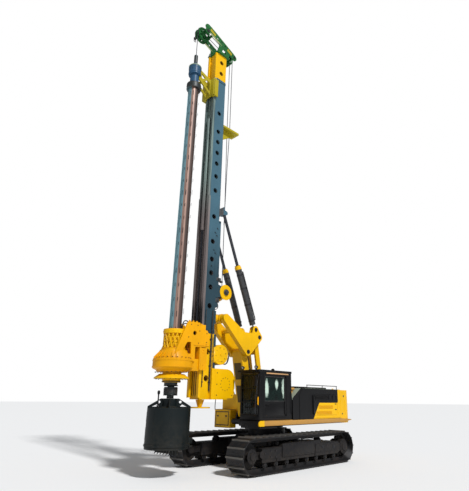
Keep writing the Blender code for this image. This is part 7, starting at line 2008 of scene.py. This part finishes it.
class RIG_OT_stage(bpy.types.Operator):
    """Makes the pale floor, the lights and the camera of the photograph"""

    bl_idname = "rig.stage"
    bl_label = "Stage"

    def execute(self, context):
        settings = context.scene.rig_stage
        bm = bmesh.new()
        bmesh.ops.create_grid(bm, x_segments=1, y_segments=1, size=FLOOR_HALF)
        mesh = bpy.data.meshes.new("floor")
        bm.to_mesh(mesh)
        bm.free()
        floor = bpy.data.objects.new("floor", mesh)
        context.scene.collection.objects.link(floor)
        made = bpy.data.materials.new("floor_pale")
        made.use_nodes = True
        tree = made.node_tree
        shader = tree.nodes["Principled BSDF"]
        shader.inputs["Base Color"].default_value = (PALE, PALE, PALE, 1)
        shader.inputs["Roughness"].default_value = 0.9
        mesh.materials.append(made)
        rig.stage(floor)

        world = bpy.data.worlds.new("plain_sky")
        world.use_nodes = True
        sky = world.node_tree
        even = sky.nodes["Background"]
        even.inputs["Color"].default_value = (0.93, 0.96, 1.0, 1)
        even.inputs["Strength"].default_value = settings.sky_strength
        shown = add(sky, "ShaderNodeBackground", {"Color": (1, 1, 1, 1), "Strength": 1.0})
        rays = add(sky, "ShaderNodeLightPath")
        seen = maths(sky, "MAXIMUM", rays.outputs["Is Camera Ray"], rays.outputs["Is Transmission Ray"])
        mixed = add(sky, "ShaderNodeMixShader", {0: seen, 1: even.outputs[0], 2: shown.outputs[0]})
        sky.links.new(mixed.outputs[0], sky.nodes["World Output"].inputs["Surface"])
        context.scene.world = world

        sun = bpy.data.lights.new("key_light", "SUN")
        sun.energy = settings.sun_strength
        sun.angle = radians(6)
        lamp = bpy.data.objects.new("key_light", sun)
        across, up = settings.sun_azimuth, settings.sun_height
        away = Vector((sin(across) * cos(up), -cos(across) * cos(up), sin(up)))
        lamp.rotation_euler = away.to_track_quat("Z", "Y").to_euler()
        lamp.location = away * 40
        context.scene.collection.objects.link(lamp)

        lens = bpy.data.cameras.new("photo_camera")
        long_side = max(PHOTO_SIZE)
        lens.sensor_width = SENSOR
        lens.lens = FOCAL_PIXELS * SENSOR / long_side
        lens.shift_x = (PHOTO_SIZE[0] / 2 - OPTICAL_CENTRE[0]) / long_side
        lens.shift_y = (OPTICAL_CENTRE[1] - PHOTO_SIZE[1] / 2) / long_side
        lens.clip_end = 1000
        camera = bpy.data.objects.new("photo_camera", lens)
        yaw, pitch, roll = radians(CAMERA_YAW), radians(CAMERA_PITCH), radians(CAMERA_ROLL)
        ahead = Vector((-sin(yaw) * cos(pitch), cos(yaw) * cos(pitch), sin(pitch)))
        right = Vector((cos(yaw), sin(yaw), 0))
        up_way = right.cross(ahead)
        rolled_right = right * cos(roll) + up_way * sin(roll)
        rolled_up = up_way * cos(roll) - right * sin(roll)
        turn = Matrix((rolled_right, rolled_up, -ahead)).transposed().to_4x4()
        camera.matrix_world = Matrix.Translation(place(*CAMERA_PLACE)) @ turn
        context.scene.collection.objects.link(camera)
        context.scene.camera = camera
        context.scene.view_settings.view_transform = "Standard"
        return {"FINISHED"}


class RIG_PT_panel(bpy.types.Panel):
    """Lists the rig's building steps and settings in the sidebar"""

    bl_idname = "RIG_PT_panel"
    bl_label = "Piling rig"
    bl_space_type = "VIEW_3D"
    bl_region_type = "UI"
    bl_category = "Piling rig"

    def draw(self, context):
        for step in STEPS:
            self.layout.operator(step.bl_idname)
        for group in (context.scene.rig_paint, context.scene.rig_size, context.scene.rig_stage):
            for name in group.__annotations__:
                self.layout.prop(group, name)


SETTINGS = {"rig_paint": RigPaintSettings, "rig_size": RigSizeSettings, "rig_stage": RigStageSettings}
STEPS = (
    RIG_OT_finishes,
    RIG_OT_head_form,
    RIG_OT_sheave_form,
    RIG_OT_drive_form,
    RIG_OT_bar_form,
    RIG_OT_bucket_form,
    RIG_OT_body_forms,
    RIG_OT_cab_trim,
    RIG_OT_house_trim,
    RIG_OT_deck_trim,
    RIG_OT_track_trim,
    RIG_OT_linkage_trim,
    RIG_OT_mast_trim,
    RIG_OT_head_trim,
    RIG_OT_cylinder_trim,
    RIG_OT_winch_trim,
    RIG_OT_ropes,
    RIG_OT_drive_trim,
    RIG_OT_bar_trim,
    RIG_OT_bucket_trim,
    RIG_OT_stage,
)


def register():
    for name, group in SETTINGS.items():
        bpy.utils.register_class(group)
        setattr(bpy.types.Scene, name, PointerProperty(type=group))
    for step in STEPS:
        bpy.utils.register_class(step)
    bpy.utils.register_class(RIG_PT_panel)


def unregister():
    bpy.utils.unregister_class(RIG_PT_panel)
    for step in reversed(STEPS):
        bpy.utils.unregister_class(step)
    for name, group in SETTINGS.items():
        delattr(bpy.types.Scene, name)
        bpy.utils.unregister_class(group)


def main():
    register()
    for step in STEPS:
        family, name = step.bl_idname.split(".")
        getattr(getattr(bpy.ops, family), name)()
    sizes = {"cad": [list(corner) for corner in CAD_BOX], "visual": [list(corner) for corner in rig.bounds()]}
    with open(SIZE_FILE, "w") as target:
        json.dump(sizes, target, indent=1)


if __name__ == "__main__":
    main()
